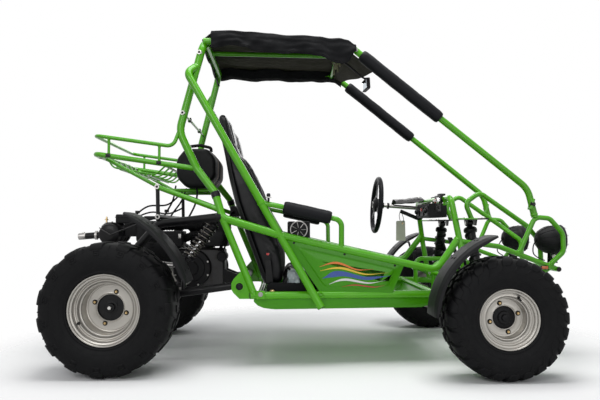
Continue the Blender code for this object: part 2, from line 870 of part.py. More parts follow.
def make_floor():
    """The belly pan, whose ends rise to the cross tubes welded along it."""
    bm = bmesh.new()
    rings = []
    tubes = []
    for name, x in (("rear_cross_tube", LOWER_REAR_X + CROSS_SETBACK), ("seat_cross_tube", MID_CROSS_X),
                    ("front_cross_tube", WHEELBASE + FRONT_CROSS_X)):
        rail = lower_rail_at(1, x)
        ends = [Vector((rail.x, -rail.y, rail.z)), rail]
        tubes.append(tube(name, ends, DASH_R, "green_paint"))
    rear = lower_rail_at(1, LOWER_REAR_X + CROSS_SETBACK)
    front = lower_rail_at(1, WHEELBASE + FRONT_CROSS_X)
    rise = AHEAD * PAN_RISE_LENGTH
    for place, z in ((rear, rear.z), (rear + rise, PAN_Z), (front - rise, PAN_Z), (front, front.z)):
        half = place.y - RAIL_R - FIT_GAP
        ring = []
        for y, lift in ((-half, -PAN_THICKNESS / 2), (half, -PAN_THICKNESS / 2), (half, PAN_THICKNESS / 2),
                        (-half, PAN_THICKNESS / 2)):
            ring.append(bm.verts.new((place.x, y, z + lift)))
        rings.append(ring)
    loft(bm, rings)
    pan = finish("floor_pan", mesh_from("floor_pan", bm), "green_paint", smooth=False)
    seat = lower_rail_at(1, MID_CROSS_X)
    drop = seat.z - PAN_Z
    for y in PAN_POST_SHARES:
        post = Vector((seat.x, seat.y * y, seat.z - drop / 2))
        size = (DASH_R, DASH_R, drop)
        tubes.append(block("pan_post", size, post, "green_paint"))
    fuse(pan, tubes)
    cope(pan, "lower_rail_right", "lower_rail_left")


def make_bulkhead():
    """The belly beams, the loops that carry the arms, the rack's housing and the lower shaft."""
    pieces = []
    for word, side in SIDES:
        y = side * LOWER_NOSE_Y
        route = [
            front_at(FRONT_CROSS_X, y, lower_rail_at(1, WHEELBASE + FRONT_CROSS_X).z),
            front_at(BEAM_KNEE_X, y, BEAM_Z),
            front_at(LOWER_NOSE_X, y, LOWER_NOSE_Z),
        ]
        pieces.append(tube("belly_beam_" + word, route, ARCH_R, "green_paint", TIGHT_BEND_R, SLIM_SIDES))
        route = [
            front_at(ARM_PIVOT_REAR_X, y, BRACKET_LOW_Z),
            front_at(ARM_PIVOT_REAR_X, y, BRACKET_TOP_Z),
            front_at(ARM_PIVOT_FRONT_X, y, BRACKET_TOP_Z),
            front_at(ARM_PIVOT_FRONT_X, y, BRACKET_LOW_Z),
        ]
        pieces.append(tube("arm_bracket_" + word, route, ARCH_R, "green_paint", TIGHT_BEND_R, SLIM_SIDES))
    centre = rack_centre()
    half = ACROSS * LOWER_NOSE_Y
    bulkhead = tube("front_bulkhead", [centre - half, centre + half], RACK_HOUSING_R, "green_paint")
    fuse(bulkhead, pieces)
    bore = tube("rack_bore", [centre - half * 2, centre + half * 2], TIE_ROD_R + BEARING_GAP, "steel")
    hide(bore)
    boolean(bulkhead, bore, "DIFFERENCE")
    cope(bulkhead, "lower_rail_right", "lower_rail_left", "front_cross_tube")


def make_nose_frame():
    """The bumper, the rails behind it and the guards round the headlamps."""
    bumper = front_at(BUMPER_X, 0, BUMPER_Z)
    half = ACROSS * BUMPER_Y
    frame = tube("bumper_tube", [bumper - half, bumper + half], ARCH_R, "green_paint")
    frame.name = "nose_frame"
    pieces = []
    for word, side in SIDES:
        knee = front_at(NOSE_KNEE_X, side * NOSE_KNEE_Y, NOSE_KNEE_Z)
        tip = front_at(BUMPER_X, side * NOSE_TIP_Y, BUMPER_Z)
        route = [dash_at(side, NOSE_RAIL_Z), knee, tip]
        pieces.append(tube("nose_rail_" + word, route, ARCH_R, "green_paint", sides=SLIM_SIDES))
        y = side * GUARD_Y
        route = [
            between(knee, tip, (GUARD_ROOT_X - NOSE_KNEE_X) / (BUMPER_X - NOSE_KNEE_X)),
            front_at(PILLAR_FOOT_X, y, PILLAR_FOOT_Z),
            front_at(GUARD_CROWN_X, y, GUARD_CROWN_Z),
            front_at(GUARD_FRONT_X, y, GUARD_FRONT_HIGH_Z),
            front_at(GUARD_FRONT_X, y, GUARD_FRONT_LOW_Z),
            between(knee, tip, (GUARD_FOOT_X - NOSE_KNEE_X) / (BUMPER_X - NOSE_KNEE_X)),
        ]
        pieces.append(tube("lamp_guard_" + word, route, GUARD_R, "green_paint", GUARD_BENDS, SLIM_SIDES))
    fuse(frame, pieces)
    cope(frame, "dash_hoop")


def make_arch(word, side):
    y = side * ARCH_Y
    route = [
        front_at(ARCH_FOOT_X, y, TOWER_Z),
        front_at(ARCH_HEEL_X, y, ARCH_HEEL_Z),
        front_at(ARCH_CROWN_X, y, ARCH_CROWN_Z),
        front_at(ARCH_BROW_X, y, ARCH_BROW_Z),
        front_at(ARCH_NOSE_X, side * ARCH_TIP_Y, ARCH_NOSE_Z),
        front_at(BUMPER_X, side * ARCH_TIP_Y, BUMPER_Z + ARCH_R / 2),
    ]
    arch = tube("nose_arch_" + word, route, ARCH_R, "green_paint", TIGHT_BEND_R, SLIM_SIDES)
    size = (TOWER_FRONT_X - TOWER_REAR_X, TOWER_OUTER_Y - TOWER_INNER_Y, TOWER_THICKNESS)
    tower_y = side * (TOWER_OUTER_Y + TOWER_INNER_Y) / 2
    middle = front_at((TOWER_REAR_X + TOWER_FRONT_X) / 2, tower_y, TOWER_Z)
    tower = block("shock_tower", size, middle, "green_paint")
    leg = dash_at(side, TOWER_Z)
    reach = middle.x - leg.x
    tab = block("tower_tab", (reach, TOWER_TAB_WIDTH, TOWER_THICKNESS),
                (leg.x + reach / 2, leg.y, TOWER_Z), "green_paint")
    fuse(arch, [tower, tab])
    cope(arch, "bumper_tube", "dash_hoop")


# Rear rack

def rack_z(x):
    """The height of the rack's side rails at a place along them."""
    return HOOP_JOINT_Z + (RACK_REAR_Z - HOOP_JOINT_Z) * (x - HOOP_JOINT_X) / (RACK_REAR_X - HOOP_JOINT_X)


def loop_z(x):
    share = (x - RACK_LOOP_KNEE_X) / (RACK_REAR_X - RACK_LOOP_KNEE_X)
    return RACK_LOOP_KNEE_Z + (RACK_LOOP_REAR_Z - RACK_LOOP_KNEE_Z) * share


def make_rack():
    """The rear rack: its frame, the rail round it, the posts between them and the wire basket."""
    frame_route = []
    loop_route = []
    for side in (-1, 1):
        y = side * RACK_Y
        frame_side = [at(HOOP_JOINT_X, y, HOOP_JOINT_Z), at(RACK_REAR_X, y, RACK_REAR_Z)]
        loop_side = [hoop_at(side, LOOP_FOOT_Z), at(RACK_LOOP_KNEE_X, y, RACK_LOOP_KNEE_Z),
                     at(RACK_REAR_X, y, RACK_LOOP_REAR_Z)]
        frame_route += frame_side if side < 0 else list(reversed(frame_side))
        loop_route += loop_side if side < 0 else list(reversed(loop_side))
    rack = tube("rear_rack", frame_route, RACK_R, "green_paint", TIGHT_BEND_R)
    pieces = [tube("rack_loop", loop_route, RACK_LOOP_R, "green_paint", TIGHT_BEND_R, sides=THIN_SIDES)]
    for x in (RACK_POST_REAR_X, RACK_POST_FRONT_X):
        for side in (-1, 1):
            ends = [at(x, side * RACK_Y, rack_z(x)), at(x, side * RACK_Y, loop_z(x))]
            pieces.append(tube("rack_post", ends, ROD_R, "green_paint", sides=THIN_SIDES))
    for x in (BASKET_FRAME_X, BASKET_RISE_X):
        ends = [at(x, -RACK_Y, rack_z(x)), at(x, RACK_Y, rack_z(x))]
        pieces.append(tube("basket_bar", ends, ROD_R, "green_paint", sides=THIN_SIDES))
    for index in range(BASKET_WIRES):
        y = BASKET_Y * (2 * index / (BASKET_WIRES - 1) - 1)
        route = [
            at(BASKET_FRAME_X, y, rack_z(BASKET_FRAME_X)),
            at(BASKET_REAR_X, y, BASKET_REAR_Z),
            at(BASKET_FRONT_X, y, BASKET_FLOOR_Z),
            at(BASKET_RISE_X, y, rack_z(BASKET_RISE_X)),
        ]
        pieces.append(tube("basket_wire", route, BASKET_R, "green_paint", TIGHT_BEND_R, sides=WIRE_SIDES))
    for share in BASKET_CROSS_SHARES:
        middle = between(at(BASKET_REAR_X, 0, BASKET_REAR_Z), at(BASKET_FRONT_X, 0, BASKET_FLOOR_Z), share)
        middle = middle - UP * BASKET_R
        half = ACROSS * (BASKET_Y + BASKET_R * 2)
        ends = [middle - half, middle + half]
        pieces.append(tube("basket_bar", ends, BASKET_BAR_R, "green_paint", sides=THIN_SIDES))
    fuse(rack, pieces)
    cope(rack, "roll_hoop")


def make_rack_stays():
    """The green tubes that carry the rack on the cab's shoulders."""
    middle = at(STAY_CROSS_X, 0, STAY_CROSS_Z)
    half = ACROSS * STAY_CROSS_Y
    stays = tube("rack_stays", [middle - half, middle + half], RACK_R, "green_paint")
    pieces = []
    for word, side in SIDES:
        top = at(HOOP_FOOT_X, side * HOOP_FOOT_Y, HOOP_FOOT_Z)
        seat = between(shoulder_knee(side), top, STAY_SHARE)
        ends = [middle + ACROSS * side * SUBFRAME_Y, seat]
        pieces.append(tube("rack_stay_" + word, ends, RACK_R, "green_paint"))
        top = at(STRUT_TOP_X, side * STRUT_Y, rack_z(STRUT_TOP_X) - RACK_R)
        ends = [top, middle + ACROSS * side * STRUT_Y]
        pieces.append(tube("rack_strut", ends, RACK_LOOP_R, "green_paint", sides=THIN_SIDES))
        bed = TANK_LOW_Z - RACK_LOOP_R - FIT_GAP
        ends = [at(STAY_CROSS_X, side * TANK_BAR_Y, bed), at(TANK_BAR_X, side * TANK_BAR_Y, bed)]
        pieces.append(tube("tank_bar", ends, RACK_LOOP_R, "green_paint", sides=THIN_SIDES))
    fuse(stays, pieces)
    cope(stays, "shoulder_rail_right", "shoulder_rail_left")


def make_subframe():
    """The black arms behind the cab, with the links up to the rack and the fenders' stays."""
    middle = at(SUBFRAME_KNEE_X, 0, REAR_TYRE_R + LINK_FOOT_RISE)
    half = ACROSS * STAY_CROSS_Y
    subframe = tube("rear_subframe", [middle - half, middle + half], RACK_R, "black_steel")
    pieces = []
    for word, side in SIDES:
        y = side * SUBFRAME_Y
        top = at(HOOP_FOOT_X, side * HOOP_FOOT_Y, HOOP_FOOT_Z)
        seat = between(shoulder_knee(side), top, SUBFRAME_SHARE)
        knee = at(SUBFRAME_KNEE_X, y, REAR_TYRE_R + SUBFRAME_KNEE_RISE)
        route = [seat, knee, at(SUBFRAME_TAIL_X, y, REAR_TYRE_R + SUBFRAME_TAIL_RISE)]
        pieces.append(tube("subframe_arm", route, SUBFRAME_R, "black_steel"))
        ends = [at(STAY_CROSS_X, y, STAY_CROSS_Z), knee]
        pieces.append(tube("rack_link", ends, RACK_LOOP_R, "black_steel", sides=THIN_SIDES))
        pieces.append(make_rear_stay(side))
    fuse(subframe, pieces)
    cope(subframe, "rack_stays", "shoulder_cross_tube")
    for word, side in SIDES:
        cope(subframe, "rack_stay_" + word, "shoulder_rail_" + word, "rear_upright_" + word)


# Rear suspension

def make_swing_arm():
    """The pivot tube, the two side arms and the carriers that hold the live axle."""
    pivot = at(PIVOT_X, 0, PIVOT_Z)
    half = ACROSS * (LOWER_REAR_Y + PIVOT_PLATE_THICKNESS)
    swing = tube("pivot_tube", [pivot - half, pivot + half], PIVOT_BOSS_R, "black_steel")
    swing.name = "swing_arm"
    axle = at(0, 0, REAR_TYRE_R)
    pieces = []
    for word, side in SIDES:
        carrier = axle + ACROSS * side * CARRIER_Y
        ends = [carrier - ACROSS * CARRIER_WIDTH / 2, carrier + ACROSS * CARRIER_WIDTH / 2]
        pieces.append(tube("axle_carrier", ends, CARRIER_R, "black_steel"))
        pieces.append(tube("side_arm", [pivot + ACROSS * side * PIVOT_Y, carrier], SWING_R, "black_steel"))
        ends = [side_arm_at(side, REAR_SHOCK_FOOT_X), shock_foot(side)]
        pieces.append(tube("shock_post", ends, SHOCK_POST_R, "black_steel", sides=THIN_SIDES))
    fuse(swing, pieces)
    bore = tube("axle_bore", [axle - half * 2, axle + half * 2], AXLE_R + BEARING_GAP, "steel")
    hide(bore)
    boolean(swing, bore, "DIFFERENCE")


def make_pivot_plate(word, side):
    pivot = at(PIVOT_X, 0, PIVOT_Z)
    upright_top = shoulder_knee(side)
    foot = at(LOWER_REAR_X + HOOP_R, side * LOWER_REAR_Y, LOWER_REAR_Z)
    high_z = PIVOT_Z + PIVOT_PLATE_RISE
    high = between(foot, upright_top, (foot.z - high_z) / (foot.z - upright_top.z))
    y = foot.y
    low_z = LOWER_REAR_Z - RAIL_R
    outline = [
        (foot.x, y, low_z),
        (foot.x, y, foot.z),
        (high.x, y, high_z),
        (pivot.x - PIVOT_EDGE, y, PIVOT_Z + PIVOT_EDGE / 2),
        (pivot.x - PIVOT_EDGE, y, PIVOT_Z - PIVOT_EDGE / 2),
        (pivot.x, y, low_z),
    ]
    outline = [Vector(point) for point in outline]
    return plate("pivot_plate", outline, PIVOT_PLATE_THICKNESS, ACROSS, "green_paint")


def side_arm_at(side, x):
    """The centre of the swing arm's side tube at a place ahead of the axle."""
    pivot = at(PIVOT_X, side * PIVOT_Y, PIVOT_Z)
    carrier = at(0, side * CARRIER_Y, REAR_TYRE_R)
    return between(carrier, pivot, x / PIVOT_X)


def shock_foot(side):
    arm = side_arm_at(side, REAR_SHOCK_FOOT_X)
    return Vector((arm.x, arm.y, REAR_SHOCK_FOOT_Z))


def shock(name, top, foot, along, finish_name):
    """A spring and damper between two eyes, whose bolts run along a direction."""
    axis = (foot - top).normalized()
    length = (foot - top).length
    profile = [
        (0, 0),
        (SHOCK_ROD_R, 0),
        (SHOCK_ROD_R, length * SHOCK_HEAD_SHARE),
        (SHOCK_R, length * SHOCK_HEAD_SHARE),
        (SHOCK_R, length * SHOCK_SEAT_SHARE),
        (SHOCK_ROD_R, length * SHOCK_SEAT_SHARE),
        (SHOCK_ROD_R, length),
        (0, length),
    ]
    made = turned(name, profile, top, axis, finish_name, segments=MAIN_SIDES)
    half = along * SHOCK_EYE_R
    for end in (top, foot):
        fuse(made, [tube("shock_eye", [end - half, end + half], SHOCK_EYE_R, finish_name)])
    return made


def make_rear_shock(word, side):
    foot = shock_foot(side)
    knee = shoulder_knee(side)
    top = Vector((knee.x - DASH_R - SHOCK_EYE_R - FIT_GAP, foot.y, knee.z))
    shock("rear_shock_" + word, top, foot + UP * (SHOCK_EYE_R + FIT_GAP), ACROSS, "steel")


# Wheels

def tyre_mesh(name, radius, rim_radius, width, centre, finish_name):
    """A fat tyre round the wheel's axle line, open in the middle for the rim."""
    half = width / 2
    crown = radius * TYRE_CROWN_SHARE
    shoulder = radius - crown
    side_height = (radius - rim_radius) * TYRE_BULGE_SHARE
    bead = rim_radius + FIT_GAP
    profile = [
        (bead, -half * TYRE_BEAD_SHARE),
        (rim_radius + side_height, -half),
        (shoulder, -half * TYRE_SHOULDER_SHARE),
        (radius, -half * TYRE_TREAD_SHARE),
        (radius, half * TYRE_TREAD_SHARE),
        (shoulder, half * TYRE_SHOULDER_SHARE),
        (rim_radius + side_height, half),
        (bead, half * TYRE_BEAD_SHARE),
    ]
    return turned(name, profile, centre, ACROSS, finish_name, TYRE_SEGMENTS, closed=True)


def rim_mesh(name, side, radius, outer_y, width, depth, centre):
    """A pressed steel rim: barrel, lips and a recessed disc with a centre hole."""
    outer = outer_y
    inner = outer_y - width
    disc = outer_y - depth
    barrel = radius * RIM_BARREL_SHARE
    lip = radius - FIT_GAP
    profile = [
        (RIM_BORE_R, disc),
        (barrel * RIM_DISC_SHARE, disc),
        (barrel - RIM_WALL, disc + depth * RIM_STEP_SHARE),
        (lip - RIM_WALL, outer),
        (lip, outer),
        (barrel, outer - RIM_LIP * 2),
        (barrel, inner + RIM_LIP * 2),
        (lip, inner),
        (lip - RIM_WALL, inner),
        (barrel - RIM_WALL, inner + RIM_LIP * 2),
        (barrel - RIM_WALL, disc - RIM_WALL),
        (RIM_BORE_R, disc - RIM_WALL),
    ]
    return turned(name, profile, centre, ACROSS * side, "rim_steel", TYRE_SEGMENTS, closed=True)


def make_rear_wheel(word, side):
    centre = at(0, side * (REAR_RIM_Y - REAR_RIM_WIDTH / 2), REAR_TYRE_R)
    tyre_mesh("rear_tyre_" + word, REAR_TYRE_R, REAR_RIM_R, REAR_TYRE_WIDTH, centre, "tyre")
    rim_mesh("rear_rim_" + word, side, REAR_RIM_R, REAR_RIM_Y, REAR_RIM_WIDTH, REAR_RIM_DEPTH,
             at(0, 0, REAR_TYRE_R))


def make_rear_axle():
    centre = at(0, 0, REAR_TYRE_R)
    disc = REAR_RIM_Y - REAR_RIM_DEPTH
    profile = [
        (0, -disc - HUB_NOSE),
        (RIM_BORE_R - FIT_GAP, -disc - HUB_NOSE),
        (RIM_BORE_R - FIT_GAP, -disc + RIM_WALL + FIT_GAP),
        (HUB_R, -disc + RIM_WALL + FIT_GAP),
        (HUB_R, -disc + RIM_WALL + HUB_FLANGE),
        (AXLE_R, -disc + RIM_WALL + HUB_FLANGE * 2),
        (AXLE_R, -SPROCKET_Y - SPROCKET_WIDTH),
        (SPROCKET_R, -SPROCKET_Y - SPROCKET_WIDTH),
        (SPROCKET_R, -SPROCKET_Y),
        (AXLE_R, -SPROCKET_Y),
        (AXLE_R, SPROCKET_Y),
        (BRAKE_DISC_R, SPROCKET_Y),
        (BRAKE_DISC_R, SPROCKET_Y + BRAKE_DISC_WIDTH),
        (AXLE_R, SPROCKET_Y + BRAKE_DISC_WIDTH),
        (AXLE_R, disc - RIM_WALL - HUB_FLANGE * 2),
        (HUB_R, disc - RIM_WALL - HUB_FLANGE),
        (HUB_R, disc - RIM_WALL - FIT_GAP),
        (RIM_BORE_R - FIT_GAP, disc - RIM_WALL - FIT_GAP),
        (RIM_BORE_R - FIT_GAP, disc + HUB_NOSE),
        (0, disc + HUB_NOSE),
    ]
    turned("rear_axle", profile, centre, ACROSS, "steel")


def make_front_wheel(word, side):
    centre = at(WHEELBASE, side * (FRONT_RIM_Y - FRONT_RIM_WIDTH / 2), FRONT_TYRE_R)
    tyre_mesh("front_tyre_" + word, FRONT_TYRE_R, FRONT_RIM_R, FRONT_TYRE_WIDTH, centre, "tyre")
    rim = rim_mesh("front_rim_" + word, side, FRONT_RIM_R, FRONT_RIM_Y, FRONT_RIM_WIDTH, FRONT_RIM_DEPTH,
                   at(WHEELBASE, 0, FRONT_TYRE_R))
    disc = FRONT_RIM_Y - FRONT_RIM_DEPTH
    reach = RIM_BORE_R + RIM_WALL
    profile = [
        (0, disc + HUB_NOSE - RIM_WALL),
        (SPINDLE_R + BEARING_GAP, disc + HUB_NOSE - RIM_WALL),
        (SPINDLE_R + BEARING_GAP, disc - HUB_FLANGE * 2),
        (HUB_R, disc - HUB_FLANGE * 2),
        (HUB_R, disc - RIM_WALL / 2),
        (reach, disc + HUB_NOSE / 2),
        (reach - RIM_WALL, disc + HUB_NOSE),
        (0, disc + HUB_NOSE),
    ]
    hub = turned("front_hub", profile, at(WHEELBASE, 0, FRONT_TYRE_R), ACROSS * side, "steel")
    fuse(rim, [hub])


def rack_centre():
    eye_top = STEER_ARM_Z - STEER_ARM_R - ROD_EYE_GAP
    return at(WHEELBASE - STEER_ARM_LENGTH, 0, eye_top - ROD_EYE_HEIGHT / 2)


def make_knuckle(word, side):
    pin = at(WHEELBASE, side * KINGPIN_Y, 0)
    low = pin + UP * KINGPIN_LOW_Z
    high = pin + UP * KINGPIN_HIGH_Z
    knuckle = tube("knuckle_" + word, [low, high], KINGPIN_R, "black_steel")
    hub = pin + UP * FRONT_TYRE_R
    end = FRONT_RIM_Y - FRONT_RIM_DEPTH + HUB_NOSE - RIM_WALL - BEARING_GAP
    spindle = tube("spindle", [hub, at(WHEELBASE, side * end, FRONT_TYRE_R)], SPINDLE_R, "steel")
    arm_root = pin + UP * STEER_ARM_Z
    arm_tip = arm_root - AHEAD * STEER_ARM_LENGTH
    arm = tube("steer_arm", [arm_root, arm_tip], STEER_ARM_R, "black_steel")
    stay_y = side * FENDER_STAY_Y
    drop = FENDER_THICKNESS / 2 + FENDER_STAY_R + BEARING_GAP
    seat = front_fender_at(FENDER_STAY_STEP / FENDER_STEPS, -drop)
    route = [
        arm_tip,
        Vector((arm_tip.x, stay_y, STEER_ARM_Z)),
        Vector((seat.x, stay_y, seat.z)),
        Vector((seat.x, side * (FRONT_FENDER_INNER_Y + FRONT_FENDER_OUTER_Y) / 2, seat.z)),
    ]
    stay = tube("fender_stay", route, FENDER_STAY_R, "black_steel", STAY_BEND_R, sides=THIN_SIDES)
    fuse(knuckle, [spindle, arm, stay])


def arm_legs(side, root_z, end_z):
    end = at(WHEELBASE, side * KINGPIN_Y, end_z)
    return [[front_at(x, side * LOWER_NOSE_Y, root_z), end] for x in (ARM_PIVOT_REAR_X, ARM_PIVOT_FRONT_X)]


def lower_arm_legs(side):
    return arm_legs(side, LOWER_ARM_Z, KINGPIN_LOW_Z - ARM_EYE_HEIGHT / 2 - FIT_GAP)


def make_arm(name, word, legs):
    """A two-legged arm from the nose to the eye under or over the steering pin."""
    end = legs[0][1]
    half = UP * (ARM_EYE_HEIGHT / 2)
    eye = tube(name + "_" + word, [end - half, end + half], ARM_EYE_R, "green_paint")
    pieces = [tube("arm_leg", ends, ARM_R, "green_paint", sides=THIN_SIDES) for ends in legs]
    fuse(eye, pieces)
    cope(eye, "arm_bracket_" + word)
    return eye


def make_arms(word, side):
    legs = lower_arm_legs(side)
    lower = make_arm("lower_arm", word, legs)
    cope(lower, "belly_beam_" + word)
    ends = [between(leg[0], leg[1], FRONT_SHOCK_SHARE) for leg in legs]
    fuse(lower, [tube("shock_bar", ends, ARM_R, "green_paint", sides=THIN_SIDES)])
    make_arm("upper_arm", word, arm_legs(side, UPPER_ARM_Z, KINGPIN_HIGH_Z + ARM_EYE_HEIGHT / 2 + FIT_GAP))


def make_tie_rods():
    """The rack's bar with its tie rods, which slides in the housing."""
    centre = rack_centre()
    half = ACROSS * KINGPIN_Y
    rods = tube("tie_rods", [centre - half, centre + half], TIE_ROD_R, "steel", sides=THIN_SIDES)
    lift = UP * (ROD_EYE_HEIGHT / 2)
    eyes = []
    for side in (-1, 1):
        eye = centre + half * side
        eyes.append(tube("rod_eye", [eye - lift, eye + lift], ROD_EYE_R, "steel", sides=THIN_SIDES))
    fuse(rods, eyes)


def make_front_shock(word, side):
    ends = [between(leg[0], leg[1], FRONT_SHOCK_SHARE) for leg in lower_arm_legs(side)]
    foot = (ends[0] + ends[1]) / 2 + UP * (ARM_R + SHOCK_EYE_R + FIT_GAP)
    top_z = TOWER_Z - TOWER_THICKNESS / 2 - FIT_GAP - SHOCK_EYE_R
    top = Vector((foot.x, side * FRONT_SHOCK_TOP_Y, top_z))
    shock("front_shock_" + word, top, foot, AHEAD, "black_steel")


def rear_fender_at(share, lift):
    """A place on the curve of the rear fender, lifted off its middle."""
    angle = math.radians(REAR_FENDER_LOW_ANGLE + (REAR_FENDER_HIGH_ANGLE - REAR_FENDER_LOW_ANGLE) * share)
    reach = REAR_FENDER_R + REAR_FENDER_FLARE * share * share + lift
    return at(0, 0, REAR_TYRE_R) + Vector((math.cos(angle), 0, math.sin(angle))) * reach


def front_fender_at(share, lift):
    """A place on the curve of the front fender, lifted off its middle."""
    angle = math.radians(FRONT_FENDER_LOW_ANGLE + (FRONT_FENDER_HIGH_ANGLE - FRONT_FENDER_LOW_ANGLE) * share)
    reach = FRONT_FENDER_R + FRONT_FENDER_FLARE * share * share + lift
    return at(WHEELBASE, 0, FRONT_TYRE_R) + Vector((math.cos(angle), 0, math.sin(angle))) * reach


def fender(name, curve, inner_y, outer_y):
    """A curved strip over a tyre, from its low end to its high end."""
    bm = bmesh.new()
    rings = []
    for step in range(FENDER_STEPS + 1):
        ring = []
        for y, lift in ((inner_y, -FENDER_THICKNESS / 2), (outer_y, -FENDER_THICKNESS / 2),
                        (outer_y, FENDER_THICKNESS / 2), (inner_y, FENDER_THICKNESS / 2)):
            ring.append(bm.verts.new(curve(step / FENDER_STEPS, lift) + ACROSS * y))
        rings.append(ring)
    loft(bm, rings)
    return finish(name, mesh_from(name, bm), "black_plastic")


def make_rear_stay(side):
    """The bar under the rear fender, out from the subframe."""
    drop = FENDER_THICKNESS / 2 + FENDER_STAY_R + BEARING_GAP
    seat = rear_fender_at(REAR_STAY_STEP / FENDER_STEPS, -drop)
    inner = side * SUBFRAME_Y
    outer = side * (REAR_FENDER_INNER_Y + (REAR_FENDER_OUTER_Y - REAR_FENDER_INNER_Y) * REAR_STAY_SHARE)
    return tube("fender_stay", [seat + ACROSS * inner, seat + ACROSS * outer], FENDER_STAY_R, "black_steel",
                sides=THIN_SIDES)


def make_fenders(word, side):
    fender("rear_fender_" + word, rear_fender_at, side * REAR_FENDER_INNER_Y, side * REAR_FENDER_OUTER_Y)
    fender("front_fender_" + word, front_fender_at, side * FRONT_FENDER_INNER_Y, side * FRONT_FENDER_OUTER_Y)


# Cab

def make_seat(word, side):
    """A high-backed seat: the back with its headrest, fused with the cushion."""
    y = side * SEAT_Y
    half = SEAT_WIDTH / 2
    base_z = lower_rail_at(1, LOWER_REAR_X + CROSS_SETBACK).z + DASH_R + FIT_GAP
    height = SEAT_TOP_Z - base_z
    depth = SEAT_HEEL_X - SEAT_TOP_X
    bm = bmesh.new()
    near = []
    far = []
    for forward, up in SEAT_OUTLINE_SHARES:
        wide = half if up < SEAT_SHOULDER_SHARE else half * SEAT_HEAD_SHARE
        point = at(SEAT_TOP_X + depth * forward, y, base_z + height * up)
        near.append(bm.verts.new(point - ACROSS * wide))
        far.append(bm.verts.new(point + ACROSS * wide))
    loft(bm, [near, far])
    name = "seat_" + word
    seat = finish(name, mesh_from(name, bm), "vinyl", smooth=False)
    rear = SEAT_HEEL_X - CUSHION_OVERLAP
    size = (CUSHION_FRONT_X - rear, SEAT_WIDTH, CUSHION_THICKNESS)
    middle = at((rear + CUSHION_FRONT_X) / 2, y, base_z + CUSHION_THICKNESS / 2)
    fuse(seat, [block("seat_cushion", size, middle, "vinyl")])
    soften(seat, SEAT_ROUND, 1)


def make_armrest(word, side):
    """The bent bar from the brace to the side rail, which carries a foam pad."""
    y = side * ARMREST_Y
    rail = side_rail_route(side)
    front = at(ARMREST_FRONT_X, y, ARMREST_FRONT_Z)
    foot = between(rail[0], rail[1], (front.x - rail[0].x) / (rail[1].x - rail[0].x))
    rear = at(ARMREST_REAR_X, y, ARMREST_REAR_Z)
    route = [brace_at(side, ARMREST_SHARE), rear, front, foot]
    bar = tube("armrest_" + word, route, ARMREST_R, "green_paint", TIGHT_BEND_R)
    run = [between(rear, front, ARMREST_PAD_START_SHARE), between(rear, front, ARMREST_PAD_END_SHARE)]
    tube("armrest_pad_" + word, run, PAD_R, "foam", bore=bore_over(ARMREST_R))
    return bar


def make_side_panel(word, side):
    """The flat panel between the side rail, the lower rail and the brace."""
    rail = side_rail_route(side)
    bottom_rear = lower_rail_at(side, BRACE_FOOT_X)
    bottom_front = lower_rail_at(side, PANEL_FOOT_X)
    outline = [rail[0], between(rail[0], rail[1], PANEL_TOP_SHARE), bottom_front, bottom_rear]
    normal = (outline[1] - outline[0]).cross(outline[3] - outline[0]).normalized()
    reach = (outline[0] - bottom_front).dot(normal) / normal.y
    outline[2] = bottom_front + ACROSS * reach
    return plate("side_panel", outline, PANEL_THICKNESS, normal, "green_paint")


def make_canopy():
    """A thin cover over the roof tubes with a hem hanging down each side."""
    low = HOOP_TOP_Z + HOOP_R - CANOPY_SEAT
    bm = bmesh.new()
    rings = []
    rear = (HOOP_TOP_X - CANOPY_OVERHANG, low)
    front = (ROOF_FRONT_X + CANOPY_OVERHANG, low - ROOF_FALL)
    for x, z in (rear, front):
        outer = [(-CANOPY_Y, CANOPY_HEM_Z), (-CANOPY_Y, z - CANOPY_ROUND)]
        inner = [(-CANOPY_Y + CANOPY_WALL, CANOPY_HEM_Z), (-CANOPY_Y + CANOPY_WALL, z - CANOPY_ROUND)]
        for step in range(CANOPY_STEPS + 1):
            share = 2 * step / CANOPY_STEPS - 1
            crown = z + CANOPY_RISE * (1 - share * share)
            outer.append((share * (CANOPY_Y - CANOPY_ROUND / 2), crown + CANOPY_WALL))
            inner.append((share * (CANOPY_Y - CANOPY_ROUND / 2), crown))
        outer += [(CANOPY_Y, z - CANOPY_ROUND), (CANOPY_Y, CANOPY_HEM_Z)]
        inner += [(CANOPY_Y - CANOPY_WALL, z - CANOPY_ROUND), (CANOPY_Y - CANOPY_WALL, CANOPY_HEM_Z)]
        rings.append([bm.verts.new(at(x, y, height)) for y, height in outer + list(reversed(inner))])
    count = len(rings[0])
    for index in range(count):
        other = (index + 1) % count
        bm.faces.new((rings[0][index], rings[0][other], rings[1][other], rings[1][index]))
    for ring in rings:
        for index in range(count // 2 - 1):
            bm.faces.new((ring[index], ring[index + 1], ring[count - 2 - index], ring[count - 1 - index]))
    finish("canopy", mesh_from("canopy", bm), "canvas")


